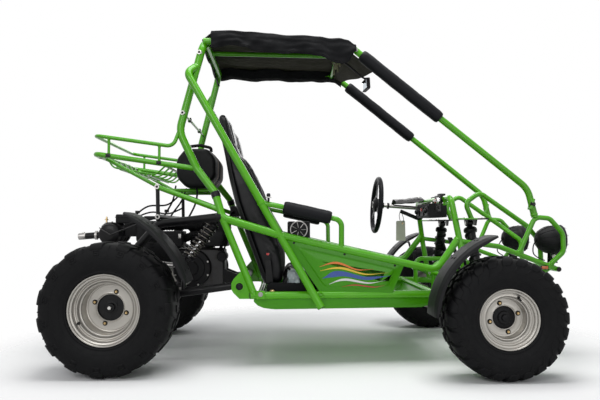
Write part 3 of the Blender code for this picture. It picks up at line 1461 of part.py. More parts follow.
def make_steering_wheel():
    centre = front_at(WHEEL_X, WHEEL_Y, WHEEL_Z)
    end = front_at(COLUMN_END_X, WHEEL_Y, WHEEL_Z - COLUMN_DROP)
    axis = (end - centre).normalized()
    profile = []
    for step in range(WHEEL_RIM_STEPS):
        angle = math.tau * step / WHEEL_RIM_STEPS
        reach = WHEEL_R - WHEEL_RIM_R + WHEEL_RIM_R * math.cos(angle)
        profile.append((reach, WHEEL_RIM_R * math.sin(angle)))
    rim = turned("steering_wheel", profile, centre, axis, "black_plastic", closed=True)
    hub_profile = [
        (0, -WHEEL_RIM_R),
        (WHEEL_HUB_R, -WHEEL_RIM_R),
        (WHEEL_BOSS_R, WHEEL_RIM_R),
        (WHEEL_NECK_R, WHEEL_HUB_R),
        (0, WHEEL_HUB_R),
    ]
    hub = turned("wheel_hub", hub_profile, centre, axis, "black_plastic", segments=MAIN_SIDES)
    spokes = []
    side_way = axis.cross(UP).normalized()
    up_way = side_way.cross(axis).normalized()
    for angle in WHEEL_SPOKE_ANGLES:
        turn = math.radians(angle)
        way = side_way * math.cos(turn) + up_way * math.sin(turn)
        ends = [centre, centre + way * (WHEEL_R - WHEEL_RIM_R)]
        spokes.append(tube("wheel_spoke", ends, WHEEL_SPOKE_R, "black_plastic", sides=THIN_SIDES))
    column = tube("wheel_column", [centre, end], COLUMN_R, "steel", sides=THIN_SIDES)
    fuse(rim, [hub, column] + spokes)


def make_dash():
    """The cover over the steering column, and the tray of switches and relays under the dash tube."""
    low = WHEEL_Z + COLUMN_R + RUNNING_GAP
    outline = [
        front_at(DASH_COVER_REAR_X, WHEEL_Y, low),
        front_at(DASH_TOP_X, WHEEL_Y, low),
        front_at(DASH_TOP_X, WHEEL_Y, DASH_TOP_Z + DASH_COVER_RISE),
        front_at(DASH_COVER_REAR_X, WHEEL_Y, low + DASH_COVER_EDGE),
    ]
    cope(plate("dash_cover", outline, DASH_COVER_WIDTH, ACROSS, "black_plastic"), "dash_hoop")
    top = DASH_TOP_Z - DASH_R - FIT_GAP
    size = (TRAY_LENGTH, TRAY_WIDTH, TRAY_HEIGHT)
    middle = front_at(DASH_TOP_X, TRAY_Y, top - TRAY_HEIGHT / 2)
    block("electrics_tray", size, middle, "black_plastic", TRAY_BEVEL)


# Power unit

def make_power_unit():
    """The fuel tank, the engine with its finned cylinder, the air box and the silencer."""
    length = TANK_FRONT_X - TANK_REAR_X
    height = TANK_HIGH_Z - TANK_LOW_Z
    outline = [at(TANK_REAR_X + length * x, 0, TANK_LOW_Z + height * z) for x, z in TANK_OUTLINE_SHARES]
    tank = plate("fuel_tank", outline, TANK_Y * 2, ACROSS, "black_plastic")
    soften(tank, TANK_BEVEL, 1)
    centre = at(ENGINE_X, 0, ENGINE_Z)
    engine = block("engine", (ENGINE_LENGTH, ENGINE_WIDTH, ENGINE_HEIGHT), centre, "engine_alloy")
    profile = [(0, 0)]
    for fin in range(CYLINDER_FINS):
        low = CYLINDER_LENGTH * fin / CYLINDER_FINS
        high = CYLINDER_LENGTH * (fin + FIN_SHARE) / CYLINDER_FINS
        top = CYLINDER_LENGTH * (fin + 1) / CYLINDER_FINS
        root = CYLINDER_R * FIN_ROOT_SHARE
        profile += [(CYLINDER_R, low), (CYLINDER_R, high), (root, high), (root, top)]
    profile.append((0, CYLINDER_LENGTH))
    head = centre + UP * (ENGINE_HEIGHT / 2 - RIM_WALL)
    cylinder = turned("engine_cylinder", profile, head, UP, "engine_alloy", segments=MAIN_SIDES)
    pivot = at(PIVOT_X, 0, PIVOT_Z)
    mount = tube("engine_mount", [Vector((centre.x, 0, PIVOT_Z)), pivot], ENGINE_MOUNT_R, "engine_alloy")
    fuse(engine, [cylinder, mount])
    cope(engine, "pivot_tube")
    muffler = at(MUFFLER_X, MUFFLER_Y, MUFFLER_Z)
    half = ACROSS * (MUFFLER_LENGTH / 2)
    silencer = tube("muffler", [muffler - half, muffler + half], MUFFLER_R, "black_steel")
    tail = [muffler, at(-TAIL_REACH, MUFFLER_Y, MUFFLER_Z - TAIL_DROP)]
    pipe = [muffler, at(MUFFLER_X, 0, ENGINE_Z), centre]
    pieces = [tube("tailpipe", tail, TAILPIPE_R, "steel"), tube("exhaust_pipe", pipe, TAILPIPE_R, "steel")]
    fuse(silencer, pieces)
    size = (ENGINE_LENGTH + FIT_GAP * 2, ENGINE_WIDTH, ENGINE_HEIGHT)
    gap = block("engine_clearance", size, centre, "steel")
    hide(gap)
    boolean(silencer, gap, "DIFFERENCE")
    size = (AIR_BOX_LENGTH, AIR_BOX_WIDTH, AIR_BOX_HEIGHT)
    box = at(AIR_BOX_X, AIR_BOX_Y, ENGINE_Z + (ENGINE_HEIGHT + AIR_BOX_HEIGHT) / 2 + FIT_GAP)
    block("air_box", size, box, "black_plastic", TRAY_BEVEL)


def make_lamp(word, side):
    """A headlamp shell on its stalk above the bumper."""
    centre = front_at(LAMP_BACK_X, side * LAMP_Y, LAMP_Z)
    depth = NOSE_REACH - LAMP_BACK_X
    profile = [
        (0, 0),
        (LAMP_R * LAMP_BACK_SHARE, 0),
        (LAMP_R * LAMP_WAIST_SHARE, depth * LAMP_WAIST_SHARE / 2),
        (LAMP_R, depth * LAMP_RIM_SHARE),
        (LAMP_R, depth),
        (0, depth),
    ]
    lamp = turned("headlamp_" + word, profile, centre, AHEAD, "lamp_shell")
    foot = front_at(BUMPER_X, side * LAMP_STALK_Y, BUMPER_Z)
    ends = [foot, foot + UP * (LAMP_Z - BUMPER_Z)]
    fuse(lamp, [tube("lamp_stalk", ends, LAMP_STALK_R, "black_steel", sides=THIN_SIDES)])
    cope(lamp, "bumper_tube")


# Joints

def make_pivot(name, place, axis, members):
    """An empty on a joint's axis, turned to it, which carries the pieces that move."""
    pivot = bpy.data.objects.new(name, None)
    bpy.context.scene.collection.objects.link(pivot)
    pivot.rotation_mode = "QUATERNION"
    pivot.rotation_quaternion = UP.rotation_difference(axis)
    pivot.location = place
    bpy.context.view_layer.update()
    for member in members:
        obj = bpy.data.objects[member]
        obj.parent = pivot
        obj.matrix_parent_inverse = pivot.matrix_world.inverted()


def make_pivots():
    rear = ["rear_axle"]
    for word, side in SIDES:
        rear += ["rear_tyre_" + word, "rear_rim_" + word]
        wheel = at(WHEELBASE, side * (FRONT_RIM_Y - FRONT_RIM_WIDTH / 2), FRONT_TYRE_R)
        pin = at(WHEELBASE, side * KINGPIN_Y, FRONT_TYRE_R)
        make_pivot("front_wheel_pivot_" + word, wheel, ACROSS, ["front_tyre_" + word, "front_rim_" + word])
        carried = ["knuckle_" + word, "front_fender_" + word, "front_wheel_pivot_" + word]
        make_pivot("steering_pivot_" + word, pin, UP, carried)
    make_pivot("rear_axle_pivot", at(0, 0, REAR_TYRE_R), ACROSS, rear)
    wheel = front_at(WHEEL_X, WHEEL_Y, WHEEL_Z)
    column = front_at(COLUMN_END_X, WHEEL_Y, WHEEL_Z - COLUMN_DROP) - wheel
    make_pivot("column_pivot", wheel, column, ["steering_wheel"])
    make_pivot("rack_pivot", rack_centre(), ACROSS, ["tie_rods"])


# Model

def main():
    for obj in list(bpy.data.objects):
        bpy.data.objects.remove(obj, do_unlink=True)
    MATERIALS.update(make_materials())
    make_roll_hoop()
    make_nose_frame()
    make_swing_arm()
    for word, side in SIDES:
        make_cab_side(word, side)
    make_dash_hoop()
    make_roof_frame()
    make_shoulder_tube()
    make_floor()
    make_bulkhead()
    make_rack()
    make_rack_stays()
    make_subframe()
    make_rear_axle()
    make_tie_rods()
    for word, side in SIDES:
        make_arch(word, side)
        make_rear_shock(word, side)
        make_rear_wheel(word, side)
        make_front_wheel(word, side)
        make_knuckle(word, side)
        make_arms(word, side)
        make_front_shock(word, side)
        make_fenders(word, side)
        make_seat(word, side)
        make_lamp(word, side)
    make_canopy()
    make_steering_wheel()
    make_dash()
    make_power_unit()
    cut_copes()
    make_pivots()


main()
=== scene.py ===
"""Off-road two-seat go-kart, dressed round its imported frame. Metres; places are ahead of the rear axle."""
import math

import bmesh
import bpy
from mathutils import Matrix, Vector, noise


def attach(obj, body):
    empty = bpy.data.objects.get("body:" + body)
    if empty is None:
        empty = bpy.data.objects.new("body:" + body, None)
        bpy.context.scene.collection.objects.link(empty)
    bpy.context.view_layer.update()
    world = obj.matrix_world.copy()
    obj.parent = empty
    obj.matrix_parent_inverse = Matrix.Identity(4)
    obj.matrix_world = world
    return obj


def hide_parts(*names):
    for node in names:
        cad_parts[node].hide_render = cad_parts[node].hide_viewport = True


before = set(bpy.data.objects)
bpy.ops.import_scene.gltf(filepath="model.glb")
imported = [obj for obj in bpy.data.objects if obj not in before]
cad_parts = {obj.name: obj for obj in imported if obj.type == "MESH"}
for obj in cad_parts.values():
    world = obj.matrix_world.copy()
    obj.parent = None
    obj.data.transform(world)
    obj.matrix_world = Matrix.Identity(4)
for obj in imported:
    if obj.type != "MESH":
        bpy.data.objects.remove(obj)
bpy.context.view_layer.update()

REAR_X = -0.8565
WHEELBASE = 1.557
REAR_HUB_Z = 0.267
FRONT_HUB_Z = 0.238
# The front bulkhead's two cross beams, and how far out the wishbones join them
BEAMS = (1.395, 1.67)
BEAM_Y = 0.19
# The driver's middle, which the column, the wheel and the column cover share
STEER_Y = 0.195
# Radii of the frame's tubes, and the bend that most of them share
HOOP_R = 0.0172
RAIL_R = 0.0155
PILLAR_R = 0.015
CROSS_R = 0.0135
TUBE_R = 0.0115
STAY_R = 0.0085
ROD_R = 0.006
SMALL_BEND = 0.035
UP = Vector((0, 0, 1))
ACROSS = Vector((0, 1, 0))
AHEAD = Vector((1, 0, 0))
SIDES = (("right", -1), ("left", 1))


def at(x, y, z):
    """The place x ahead of the rear axle, y to the left and z above the ground."""
    return Vector((REAR_X + x, y, z))


def upright(y, places):
    """Places in one plane along the kart, from (ahead, up) pairs."""
    return [at(x, y, z) for x, z in places]


def on_side(side, places):
    """Places given for the left, mirrored when the side is -1."""
    return [at(x, side * y, z) for x, y, z in places]


def between(a, b, share):
    """The place at a share of the way from a to b."""
    return a + (b - a) * share


def in_scene(name, data):
    """A new object in the scene."""
    made = bpy.data.objects.new(name, data)
    bpy.context.scene.collection.objects.link(made)
    return made


def from_bmesh(name, bm):
    """The mesh made from a bmesh, which is freed."""
    mesh = bpy.data.meshes.new(name)
    bm.to_mesh(mesh)
    bm.free()
    return mesh


def turns(count, shift=0):
    """Evenly spaced angles round a circle, shifted by a share of one step."""
    return [math.tau * (k + shift) / count for k in range(count)]


def spoke_at(angle):
    """A direction in the wheels' plane, turned up from ahead."""
    return Vector((math.cos(angle), 0, math.sin(angle)))


def squared(angle, power):
    """Cosine and sine drawn towards a square's sides: the lower the power, the squarer."""
    return [math.copysign(abs(v) ** power, v) for v in (math.cos(angle), math.sin(angle))]


def both_ways(half):
    """A profile that is the same on both sides of its middle, from its outer end to the middle."""
    return [(r, -d) for r, d in half] + [(r, d) for r, d in reversed(half)]


def grid_normals(rows):
    """The direction off a sheet at each point of its rows."""
    made = []
    for i, row in enumerate(rows):
        line = []
        for j in range(len(row)):
            a, b = rows[max(i - 1, 0)][j], rows[min(i + 1, len(rows) - 1)][j]
            c, d = row[max(j - 1, 0)], row[min(j + 1, len(row) - 1)]
            normal = (b - a).cross(d - c)
            line.append(normal.normalized() if normal.length > 1e-10 else UP)
        made.append(line)
    return made


# Camera, light and floor

def make_camera():
    """The photograph's camera, worked out from the wheels and the frame's parallel tubes."""
    data = bpy.data.cameras.new("camera")
    data.lens, data.sensor_width = 35.7, 36.0
    camera = in_scene("camera", data)
    yaw, pitch, roll = 0.0257, 0.0473, 0.002
    ahead = Vector((math.sin(yaw) * math.cos(pitch), math.cos(yaw) * math.cos(pitch), math.sin(pitch)))
    right = Vector((math.cos(yaw), -math.sin(yaw), 0))
    above = right.cross(ahead)
    turned = Matrix.Rotation(roll, 3, ahead)
    right, above = turned @ right, turned @ above
    axes = Matrix((right, above, -ahead)).transposed().to_4x4()
    camera.matrix_world = Matrix.Translation(Vector((0.7052 + REAR_X, -2.9436, 0.5862))) @ axes
    bpy.context.scene.camera = camera


def lamp(name, place, target, size, power, color=(1, 1, 1)):
    """A rectangular lamp aimed at the target."""
    data = bpy.data.lights.new(name, "AREA")
    data.shape, data.size, data.size_y, data.energy, data.color = "RECTANGLE", size[0], size[1], power, color
    made = in_scene(name, data)
    made.location = place
    made.rotation_mode = "QUATERNION"
    made.rotation_quaternion = (Vector(target) - Vector(place)).to_track_quat("-Z", "Y")


def add_node(tree, kind, constants=(), wires=(), **settings):
    """A shader node with its settings, its constants, and the outputs that run into its inputs."""
    made = tree.nodes.new("ShaderNode" + kind)
    for name, value in settings.items():
        setattr(made, name, value)
    for socket, value in dict(constants).items():
        made.inputs[socket].default_value = value
    for socket, output in dict(wires).items():
        tree.links.new(output, made.inputs[socket])
    return made


def make_world():
    """A grey room for the light, which the camera and reflections see as white."""
    world = bpy.data.worlds.new("studio")
    world.use_nodes = True
    bpy.context.scene.world = world
    tree = world.node_tree
    tree.nodes.clear()
    rays = add_node(tree, "LightPath").outputs
    seen = add_node(tree, "Math", wires={0: rays["Is Camera Ray"], 1: rays["Is Glossy Ray"]},
                    operation="MAXIMUM")
    seen = add_node(tree, "Math", wires={0: seen.outputs[0], 1: rays["Is Transmission Ray"]},
                    operation="MAXIMUM")
    room = add_node(tree, "Background", {"Color": (0.5, 0.52, 0.55, 1), "Strength": 0.45})
    white = add_node(tree, "Background", {"Color": (1, 1, 1, 1), "Strength": 1.0})
    mix = add_node(tree, "MixShader", wires={"Fac": seen.outputs[0], 1: room.outputs[0], 2: white.outputs[0]})
    add_node(tree, "OutputWorld", wires={"Surface": mix.outputs[0]})


def make_floor():
    """A pale floor that keeps the kart's shadow and melts into the white room."""
    bm = bmesh.new()
    bmesh.ops.create_circle(bm, cap_ends=True, radius=4.2, segments=96)
    mesh = from_bmesh("floor", bm)
    floor = in_scene("floor", mesh)
    made = bpy.data.materials.new("floor")
    made.use_nodes = True
    tree = made.node_tree
    shader = tree.nodes["Principled BSDF"]
    shader.inputs["Base Color"].default_value = (0.93, 0.93, 0.93, 1)
    shader.inputs["Roughness"].default_value = 0.8
    shader.inputs["Specular IOR Level"].default_value = 0.2
    where = add_node(tree, "TexCoord").outputs["Object"]
    far = add_node(tree, "VectorMath", wires={0: where}, operation="LENGTH").outputs["Value"]
    fade = add_node(tree, "MapRange", {"From Min": 1.02, "From Max": 1.75}, {"Value": far},
                    interpolation_type="SMOOTHSTEP")
    clear = add_node(tree, "BsdfTransparent")
    mix = add_node(tree, "MixShader", wires={"Fac": fade.outputs["Result"], 1: shader.outputs[0],
                                             2: clear.outputs[0]})
    tree.links.new(mix.outputs[0], tree.nodes["Material Output"].inputs["Surface"])
    mesh.materials.append(made)


make_camera()
bpy.context.scene.view_settings.view_transform = "Standard"
make_world()
make_floor()
lamp("top_light", (0.1, -0.6, 3.4), (0, 0, 0.4), (2.3, 1.6), 88)
lamp("near_light", (-1.6, -3.6, 2.3), (-0.1, 0, 0.5), (1.8, 1.6), 38)
lamp("low_light", (1.4, -3.8, 1.0), (0.2, 0, 0.4), (2.6, 1.2), 16)
lamp("far_light", (0.4, 3.4, 2.4), (0, 0, 0.5), (2.6, 1.6), 34)


# Materials

def finish(name, color, rough, metal=0.0, coat=0.0, spec=0.5, vary=0.12, vary_scale=9.0, rough_vary=0.08,
           bump=0.0, bump_scale=60.0, bump_depth=0.001, cells=False, fine=0.0, fine_scale=900.0, sheen=0.0,
           dust=None, dust_share=0.35, weave=0.0):
    """A node material: colour and roughness that vary over the surface, with up to two sizes of relief."""
    made = bpy.data.materials.new(name)
    made.use_nodes = True
    tree = made.node_tree
    shader = tree.nodes["Principled BSDF"]
    for socket, value in (("Metallic", metal), ("Specular IOR Level", spec), ("Coat Weight", coat),
                          ("Coat Roughness", 0.06), ("Sheen Weight", sheen), ("Sheen Roughness", 0.5)):
        shader.inputs[socket].default_value = value
    where = add_node(tree, "TexCoord").outputs["Object"]

    def clouds(scale, detail):
        return add_node(tree, "TexNoise", {"Scale": scale, "Detail": detail},
                        {"Vector": where}).outputs["Fac"]

    darker, lighter = [c * (1 - vary) for c in color], [min(c * (1 + vary), 1) for c in color]
    shade = add_node(tree, "Mix", {6: (*darker, 1), 7: (*lighter, 1)}, {0: clouds(vary_scale, 5)},
                     data_type="RGBA").outputs[2]
    if dust:
        film = add_node(tree, "MapRange", {"From Min": 0.52, "From Max": 0.72, "To Max": dust_share},
                        {"Value": clouds(vary_scale * 2.7, 8)}).outputs["Result"]
        shade = add_node(tree, "Mix", {7: (*dust, 1)}, {0: film, 6: shade}, data_type="RGBA").outputs[2]
    tree.links.new(shade, shader.inputs["Base Color"])
    span = add_node(tree, "MapRange", {"To Min": max(rough - rough_vary, 0.02),
                                       "To Max": min(rough + rough_vary, 1)},
                    {"Value": clouds(vary_scale * 4, 3)})
    tree.links.new(span.outputs["Result"], shader.inputs["Roughness"])
    normal = None

    def relief(height, strength, depth):
        wires = {"Height": height, "Normal": normal} if normal else {"Height": height}
        return add_node(tree, "Bump", {"Strength": strength, "Distance": depth}, wires).outputs["Normal"]

    if bump:
        if cells:
            grain = add_node(tree, "TexVoronoi", {"Scale": bump_scale}, {"Vector": where},
                             feature="DISTANCE_TO_EDGE")
            normal = relief(grain.outputs["Distance"], bump, bump_depth)
        else:
            normal = relief(clouds(bump_scale, 4), bump, bump_depth)
    if fine:
        normal = relief(clouds(fine_scale, 2), fine, 0.0004)
    if weave:
        for axis in ("X", "Y"):
            threads = add_node(tree, "TexWave", {"Scale": weave, "Distortion": 0.6}, {"Vector": where},
                               bands_direction=axis)
            normal = relief(threads.outputs["Fac"], 0.35, 0.0004)
    if normal:
        tree.links.new(normal, shader.inputs["Normal"])
    return made


GREEN = finish("green_gloss", (0.088, 0.4, 0.006), 0.25, coat=0.3, spec=0.18, vary=0.1, vary_scale=6,
               rough_vary=0.05, bump=0.05, bump_scale=70, dust=(0.28, 0.36, 0.12), dust_share=0.08)
GREEN_PANEL = finish("green_panel", (0.058, 0.29, 0.005), 0.3, coat=0.2, spec=0.15, vary=0.12, vary_scale=5,
                     bump=0.06, bump_scale=40)
BLACK = finish("black_enamel", (0.006, 0.006, 0.0068), 0.36, coat=0.06, spec=0.16, vary=0.3,
               dust=(0.03, 0.027, 0.024), dust_share=0.2, bump=0.08, bump_scale=90)
PLASTIC = finish("black_plastic", (0.0072, 0.0073, 0.008), 0.52, spec=0.16, vary=0.2, rough_vary=0.1,
                 fine=0.25, fine_scale=700, dust=(0.026, 0.026, 0.026), dust_share=0.1)
RUBBER = finish("tyre_rubber", (0.004, 0.0041, 0.0046), 0.6, spec=0.12, vary=0.25, vary_scale=14,
                rough_vary=0.12, bump=0.12, bump_scale=120, fine=0.15, dust=(0.02, 0.019, 0.018),
                dust_share=0.14)
FOAM = finish("foam", (0.0042, 0.0046, 0.006), 0.52, spec=0.14, vary=0.25, vary_scale=20, rough_vary=0.12,
              bump=0.1, bump_scale=160, fine=0.3, fine_scale=1400, sheen=0.02)
VINYL = finish("vinyl", (0.0038, 0.004, 0.0048), 0.38, spec=0.22, vary=0.2, vary_scale=11, rough_vary=0.08,
               bump=0.3, bump_scale=520, bump_depth=0.0005, cells=True)
CANVAS = finish("canvas", (0.0044, 0.0046, 0.0054), 0.74, spec=0.12, vary=0.3, vary_scale=7, rough_vary=0.1,
                bump=0.35, bump_scale=26, bump_depth=0.004, weave=420.0, sheen=0.03)
LINING = finish("canvas_lining", (0.034, 0.031, 0.021), 0.8, spec=0.12, vary=0.35, vary_scale=9,
                rough_vary=0.1, bump=0.35, bump_scale=30, bump_depth=0.004, weave=420.0)
RIM = finish("rim_silver", (0.43, 0.41, 0.375), 0.32, metal=0.6, spec=0.4, vary=0.05, vary_scale=7,
             rough_vary=0.04)
ZINC = finish("zinc", (0.55, 0.54, 0.52), 0.32, metal=1.0, vary=0.12, vary_scale=30, rough_vary=0.1)
BRASS = finish("yellow_zinc", (0.55, 0.4, 0.2), 0.34, metal=1.0, vary=0.2, vary_scale=40, rough_vary=0.1)
STEEL = finish("steel", (0.34, 0.33, 0.32), 0.34, metal=1.0, vary=0.2, vary_scale=25, rough_vary=0.12,
               bump=0.05, bump_scale=500)
CHROME = finish("chrome", (0.75, 0.75, 0.76), 0.12, metal=1.0, vary=0.04, rough_vary=0.05)
ALLOY = finish("engine_alloy", (0.05, 0.049, 0.05), 0.5, metal=0.7, spec=0.2, vary=0.3, vary_scale=18,
               rough_vary=0.12, bump=0.2, bump_scale=220, dust=(0.03, 0.025, 0.02), dust_share=0.4)
DARK_ALLOY = finish("engine_dark", (0.009, 0.009, 0.0098), 0.5, metal=0.3, spec=0.18, vary=0.35,
                    vary_scale=18, rough_vary=0.12, bump=0.2, bump_scale=200, dust=(0.022, 0.02, 0.018),
                    dust_share=0.35)
SPRING = finish("spring_steel", (0.11, 0.1, 0.09), 0.24, metal=0.9, vary=0.2, vary_scale=30)
LENS = finish("lens", (0.62, 0.66, 0.7), 0.08, metal=0.55, vary=0.1, vary_scale=60, rough_vary=0.04)
RED = finish("red_plastic", (0.45, 0.012, 0.01), 0.25, coat=0.5, vary=0.15)
AMBER = finish("amber_plastic", (0.55, 0.13, 0.01), 0.25, coat=0.4, vary=0.15)
CARD = finish("card", (0.62, 0.61, 0.52), 0.6, vary=0.05, vary_scale=30)
TAN = finish("tan_strap", (0.34, 0.32, 0.2), 0.75, vary=0.15, vary_scale=60, weave=500.0)
GLASS = finish("mirror_glass", (0.55, 0.6, 0.64), 0.05, metal=1.0, vary=0.03, rough_vary=0.02)


# Pieces

def rounded(points, bend, steps=6):
    """The route through the points with each corner turned into an arc."""
    path = [points[0]]
    bends = bend if isinstance(bend, tuple) else (bend,) * (len(points) - 2)
    for before, corner, after, wanted in zip(points, points[1:], points[2:], bends):
        back, on = (before - corner).normalized(), (after - corner).normalized()
        half = back.angle(on) / 2
        if half > 1.55:
            path.append(corner)
            continue
        room = 0.48 * min((before - corner).length, (after - corner).length)
        reach = min(wanted / math.tan(half), room)
        radius = reach * math.tan(half)
        centre = corner + (back + on).normalized() * (radius / math.sin(half))
        start = corner + back * reach - centre
        turn = math.pi - 2 * half
        axis = start.cross(corner + on * reach - centre).normalized()
        path += [centre + Matrix.Rotation(turn * step / steps, 3, axis) @ start for step in range(steps + 1)]
    path.append(points[-1])
    return path


def smooth_path(points, steps=6):
    """A smooth curve through every point."""
    path = []
    ends = [points[0] * 2 - points[1]] + list(points) + [points[-1] * 2 - points[-2]]
    for a, b, c, d in zip(ends, ends[1:], ends[2:], ends[3:]):
        for step in range(steps):
            t = step / steps
            path.append(0.5 * (2 * b + (c - a) * t + (2 * a - 5 * b + 4 * c - d) * t * t
                               + (3 * b - a - 3 * c + d) * t * t * t))
    path.append(points[-1])
    return path


def hook(axis):
    """Two directions square to an axis."""
    axis = axis.normalized()
    guide = (UP if abs(axis.z) < 0.9 else AHEAD).cross(axis).normalized()
    return guide, axis.cross(guide)


class Piece:
    """A mesh built up from parts, which rides on one body and may stand for CAD nodes."""

    def __init__(self, name):
        self.name, self.bm, self.finishes = name, bmesh.new(), []

    def slot(self, material):
        """The material's index on this piece."""
        if material not in self.finishes:
            self.finishes.append(material)
        return self.finishes.index(material)

    def face(self, corners, index):
        """A face over the corners, which skips those that fall together."""
        corners = list(dict.fromkeys(corners))
        if len(corners) < 3:
            return
        made = self.bm.faces.new(corners)
        made.material_index = index
        made.smooth = True

    def skin(self, rings, material, loop=False):
        """Faces between rings of points; a ring of one point closes to a tip."""
        index = self.slot(material)
        made = [[self.bm.verts.new(p) for p in ring] for ring in rings]
        pairs = list(zip(made, made[1:])) + ([(made[-1], made[0])] if loop else [])
        for a, b in pairs:
            count = max(len(a), len(b))
            for i in range(count):
                j = (i + 1) % count
                self.face((a[i % len(a)], a[j % len(a)], b[j % len(b)], b[i % len(b)]), index)
        if not loop:
            for ring in (made[0], made[-1]):
                self.face(ring, index)
        return made

    def tube(self, points, radius, material, bend=0.06, sides=18, steps=7, smooth=False, weld=None, flat=1.0,
             loop=False):
        """A bar along the points. weld: how far each end lies inside what it is welded to."""
        path = smooth_path(points, steps) if smooth else rounded(points, bend, steps)
        if loop:
            path = path[:-1]
        count = len(path)
        reach = radius if callable(radius) else (lambda share: radius)
        rings, guide = [], None
        for i, point in enumerate(path):
            if loop:
                along = (path[(i + 1) % count] - path[i - 1]).normalized()
            else:
                along = (path[min(i + 1, count - 1)] - path[max(i - 1, 0)]).normalized()
            if guide is None:
                guide = hook(along)[0]
            guide = (guide - along * guide.dot(along)).normalized()
            across = along.cross(guide)
            size = reach(i / (count - 1))
            rings.append([point + guide * (math.cos(a) * size) + across * (math.sin(a) * size * flat)
                          for a in turns(sides)])
        self.skin(rings, material, loop=loop)
        if weld:
            for deep, here, on in ((weld[0], path[0], path[1]), (weld[1], path[-1], path[-2])):
                if deep:
                    way = (on - here).normalized()
                    self.bead(here + way * deep, way, reach(0), material)
        return path

    def bead(self, place, axis, radius, material, fat=0.0026):
        """A weld bead or a sealing ring round a bar."""
        profile = [(radius - fat / 2 + fat * math.cos(a), 1.5 * fat * math.sin(a)) for a in turns(6)]
        self.lathe(profile, place, axis, material, segments=18, loop=True)

    def lathe(self, profile, centre, axis, material, segments=40, loop=False, turn=0.0):
        """A turned part: the profile holds (radius, distance along the axis) pairs."""
        axis = axis.normalized()
        guide, across = hook(axis)
        rings = []
        for radius, along in profile:
            middle = centre + axis * along
            if radius <= 1e-6:
                rings.append([middle])
                continue
            rings.append([middle + guide * (radius * math.cos(turn + a))
                          + across * (radius * math.sin(turn + a)) for a in turns(segments)])
        self.skin(rings, material, loop=loop)

    def absorb(self, bm, material):
        """Take over another bmesh's faces, and free it."""
        index = self.slot(material)
        places = {v: self.bm.verts.new(v.co) for v in bm.verts}
        for f in bm.faces:
            self.face([places[v] for v in f.verts], index)
        bm.free()

    def box(self, centre, size, material, bevel=0.002, turn=None, segments=2):
        """A block with rounded edges."""
        bm = bmesh.new()
        bmesh.ops.create_cube(bm, size=1)
        bmesh.ops.scale(bm, vec=size, verts=bm.verts)
        if bevel:
            bmesh.ops.bevel(bm, geom=bm.edges[:], offset=bevel, segments=segments, profile=0.7,
                            affect="EDGES")
        if turn:
            bmesh.ops.rotate(bm, cent=(0, 0, 0), matrix=turn, verts=bm.verts)
        bmesh.ops.translate(bm, vec=centre, verts=bm.verts)
        self.absorb(bm, material)

    def plate(self, outline, thickness, along, material, bevel=0.0008):
        """A flat plate with its outline in place, thickened both ways."""
        bm = bmesh.new()
        half = along.normalized() * (thickness / 2)
        near = [bm.verts.new(p - half) for p in outline]
        far = [bm.verts.new(p + half) for p in outline]
        bm.faces.new(near)
        bm.faces.new(list(reversed(far)))
        for i in range(len(outline)):
            j = (i + 1) % len(outline)
            bm.faces.new((near[i], far[i], far[j], near[j]))
        bmesh.ops.recalc_face_normals(bm, faces=bm.faces)
        if bevel:
            edges = [e for e in bm.edges
                     if abs((e.verts[1].co - e.verts[0].co).normalized().dot(along.normalized())) < 0.5]
            bmesh.ops.bevel(bm, geom=edges, offset=min(bevel, thickness * 0.4), segments=2, profile=0.7,
                            affect="EDGES")
        self.absorb(bm, material)

    def bolt(self, place, axis, radius, material=None, washer=None, tall=0.7):
        """A six-sided bolt head on a washer, facing along the axis."""
        material = material or ZINC
        high = radius * tall
        self.lathe([(0, high), (radius * 0.8, high), (radius, high * 0.75), (radius, 0), (0, 0)], place, axis,
                   material, segments=6, turn=0.3)
        if washer:
            self.lathe([(0, radius * 0.2), (washer * 0.92, radius * 0.2), (washer, radius * 0.05),
                        (washer, -0.001), (0, -0.001)], place, axis, material, segments=20)

    def coil(self, start, end, radius, wire, wound, material, sides=8, rate=14):
        """A spring from start to end."""
        axis = (end - start).normalized()
        guide, across = hook(axis)
        count = int(wound * rate)
        path = []
        for i in range(count + 1):
            share = i / count
            angle = math.tau * wound * share
            path.append(between(start, end, share) + guide * math.cos(angle) * radius
                        + across * math.sin(angle) * radius)
        self.tube(path, wire, material, bend=0.0001, sides=sides, steps=1)

    def done(self, body, slot=None, stands_for=(), sharp=38):
        """Make the object; sharp is the angle in degrees from which an edge stays hard."""
        bmesh.ops.remove_doubles(self.bm, verts=self.bm.verts, dist=1e-7)
        bmesh.ops.recalc_face_normals(self.bm, faces=self.bm.faces)
        mesh = from_bmesh(self.name, self.bm)
        for material in self.finishes:
            mesh.materials.append(material)
        mesh.set_sharp_from_angle(angle=math.radians(sharp))
        obj = in_scene(self.name, mesh)
        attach(obj, body)
        if stands_for:
            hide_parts(*stands_for)
        return obj


# Frame

PIVOT = at(0.514, 0, 0.341)


def hoop_at(side, z):
    """A place on the roll hoop's upper leg."""
    knee, top = at(0.24, side * 0.32, 1.015), at(0.345, side * 0.302, 1.425)
    return between(knee, top, (z - 1.015) / 0.41)


def shoulder_at(side):
    """The top of the cab side's rear tube."""
    return at(0.403, side * 0.36, 0.742)


def knee_at(side):
    """Where the cab side's rear tube bends."""
    return at(0.44, side * 0.398, 0.63)


def foot_at(side):
    """Where the tube from the knee meets the lower rail."""
    return at(0.5772, side * 0.412, 0.303)


def brace_top(side):
    """The bend at the top of the brace."""
    return at(0.276, side * 0.35, 1.27)


def pillar_at(side):
    """The ends of a windscreen pillar's slope, from the roof down."""
    return at(0.99, side * 0.3, 1.415), at(1.797, side * 0.3, 0.762)


def armrest_at(side):
    """The ends of the armrest bar's straight part."""
    return at(0.672, side * 0.405, 0.682), at(0.948, side * 0.405, 0.62)


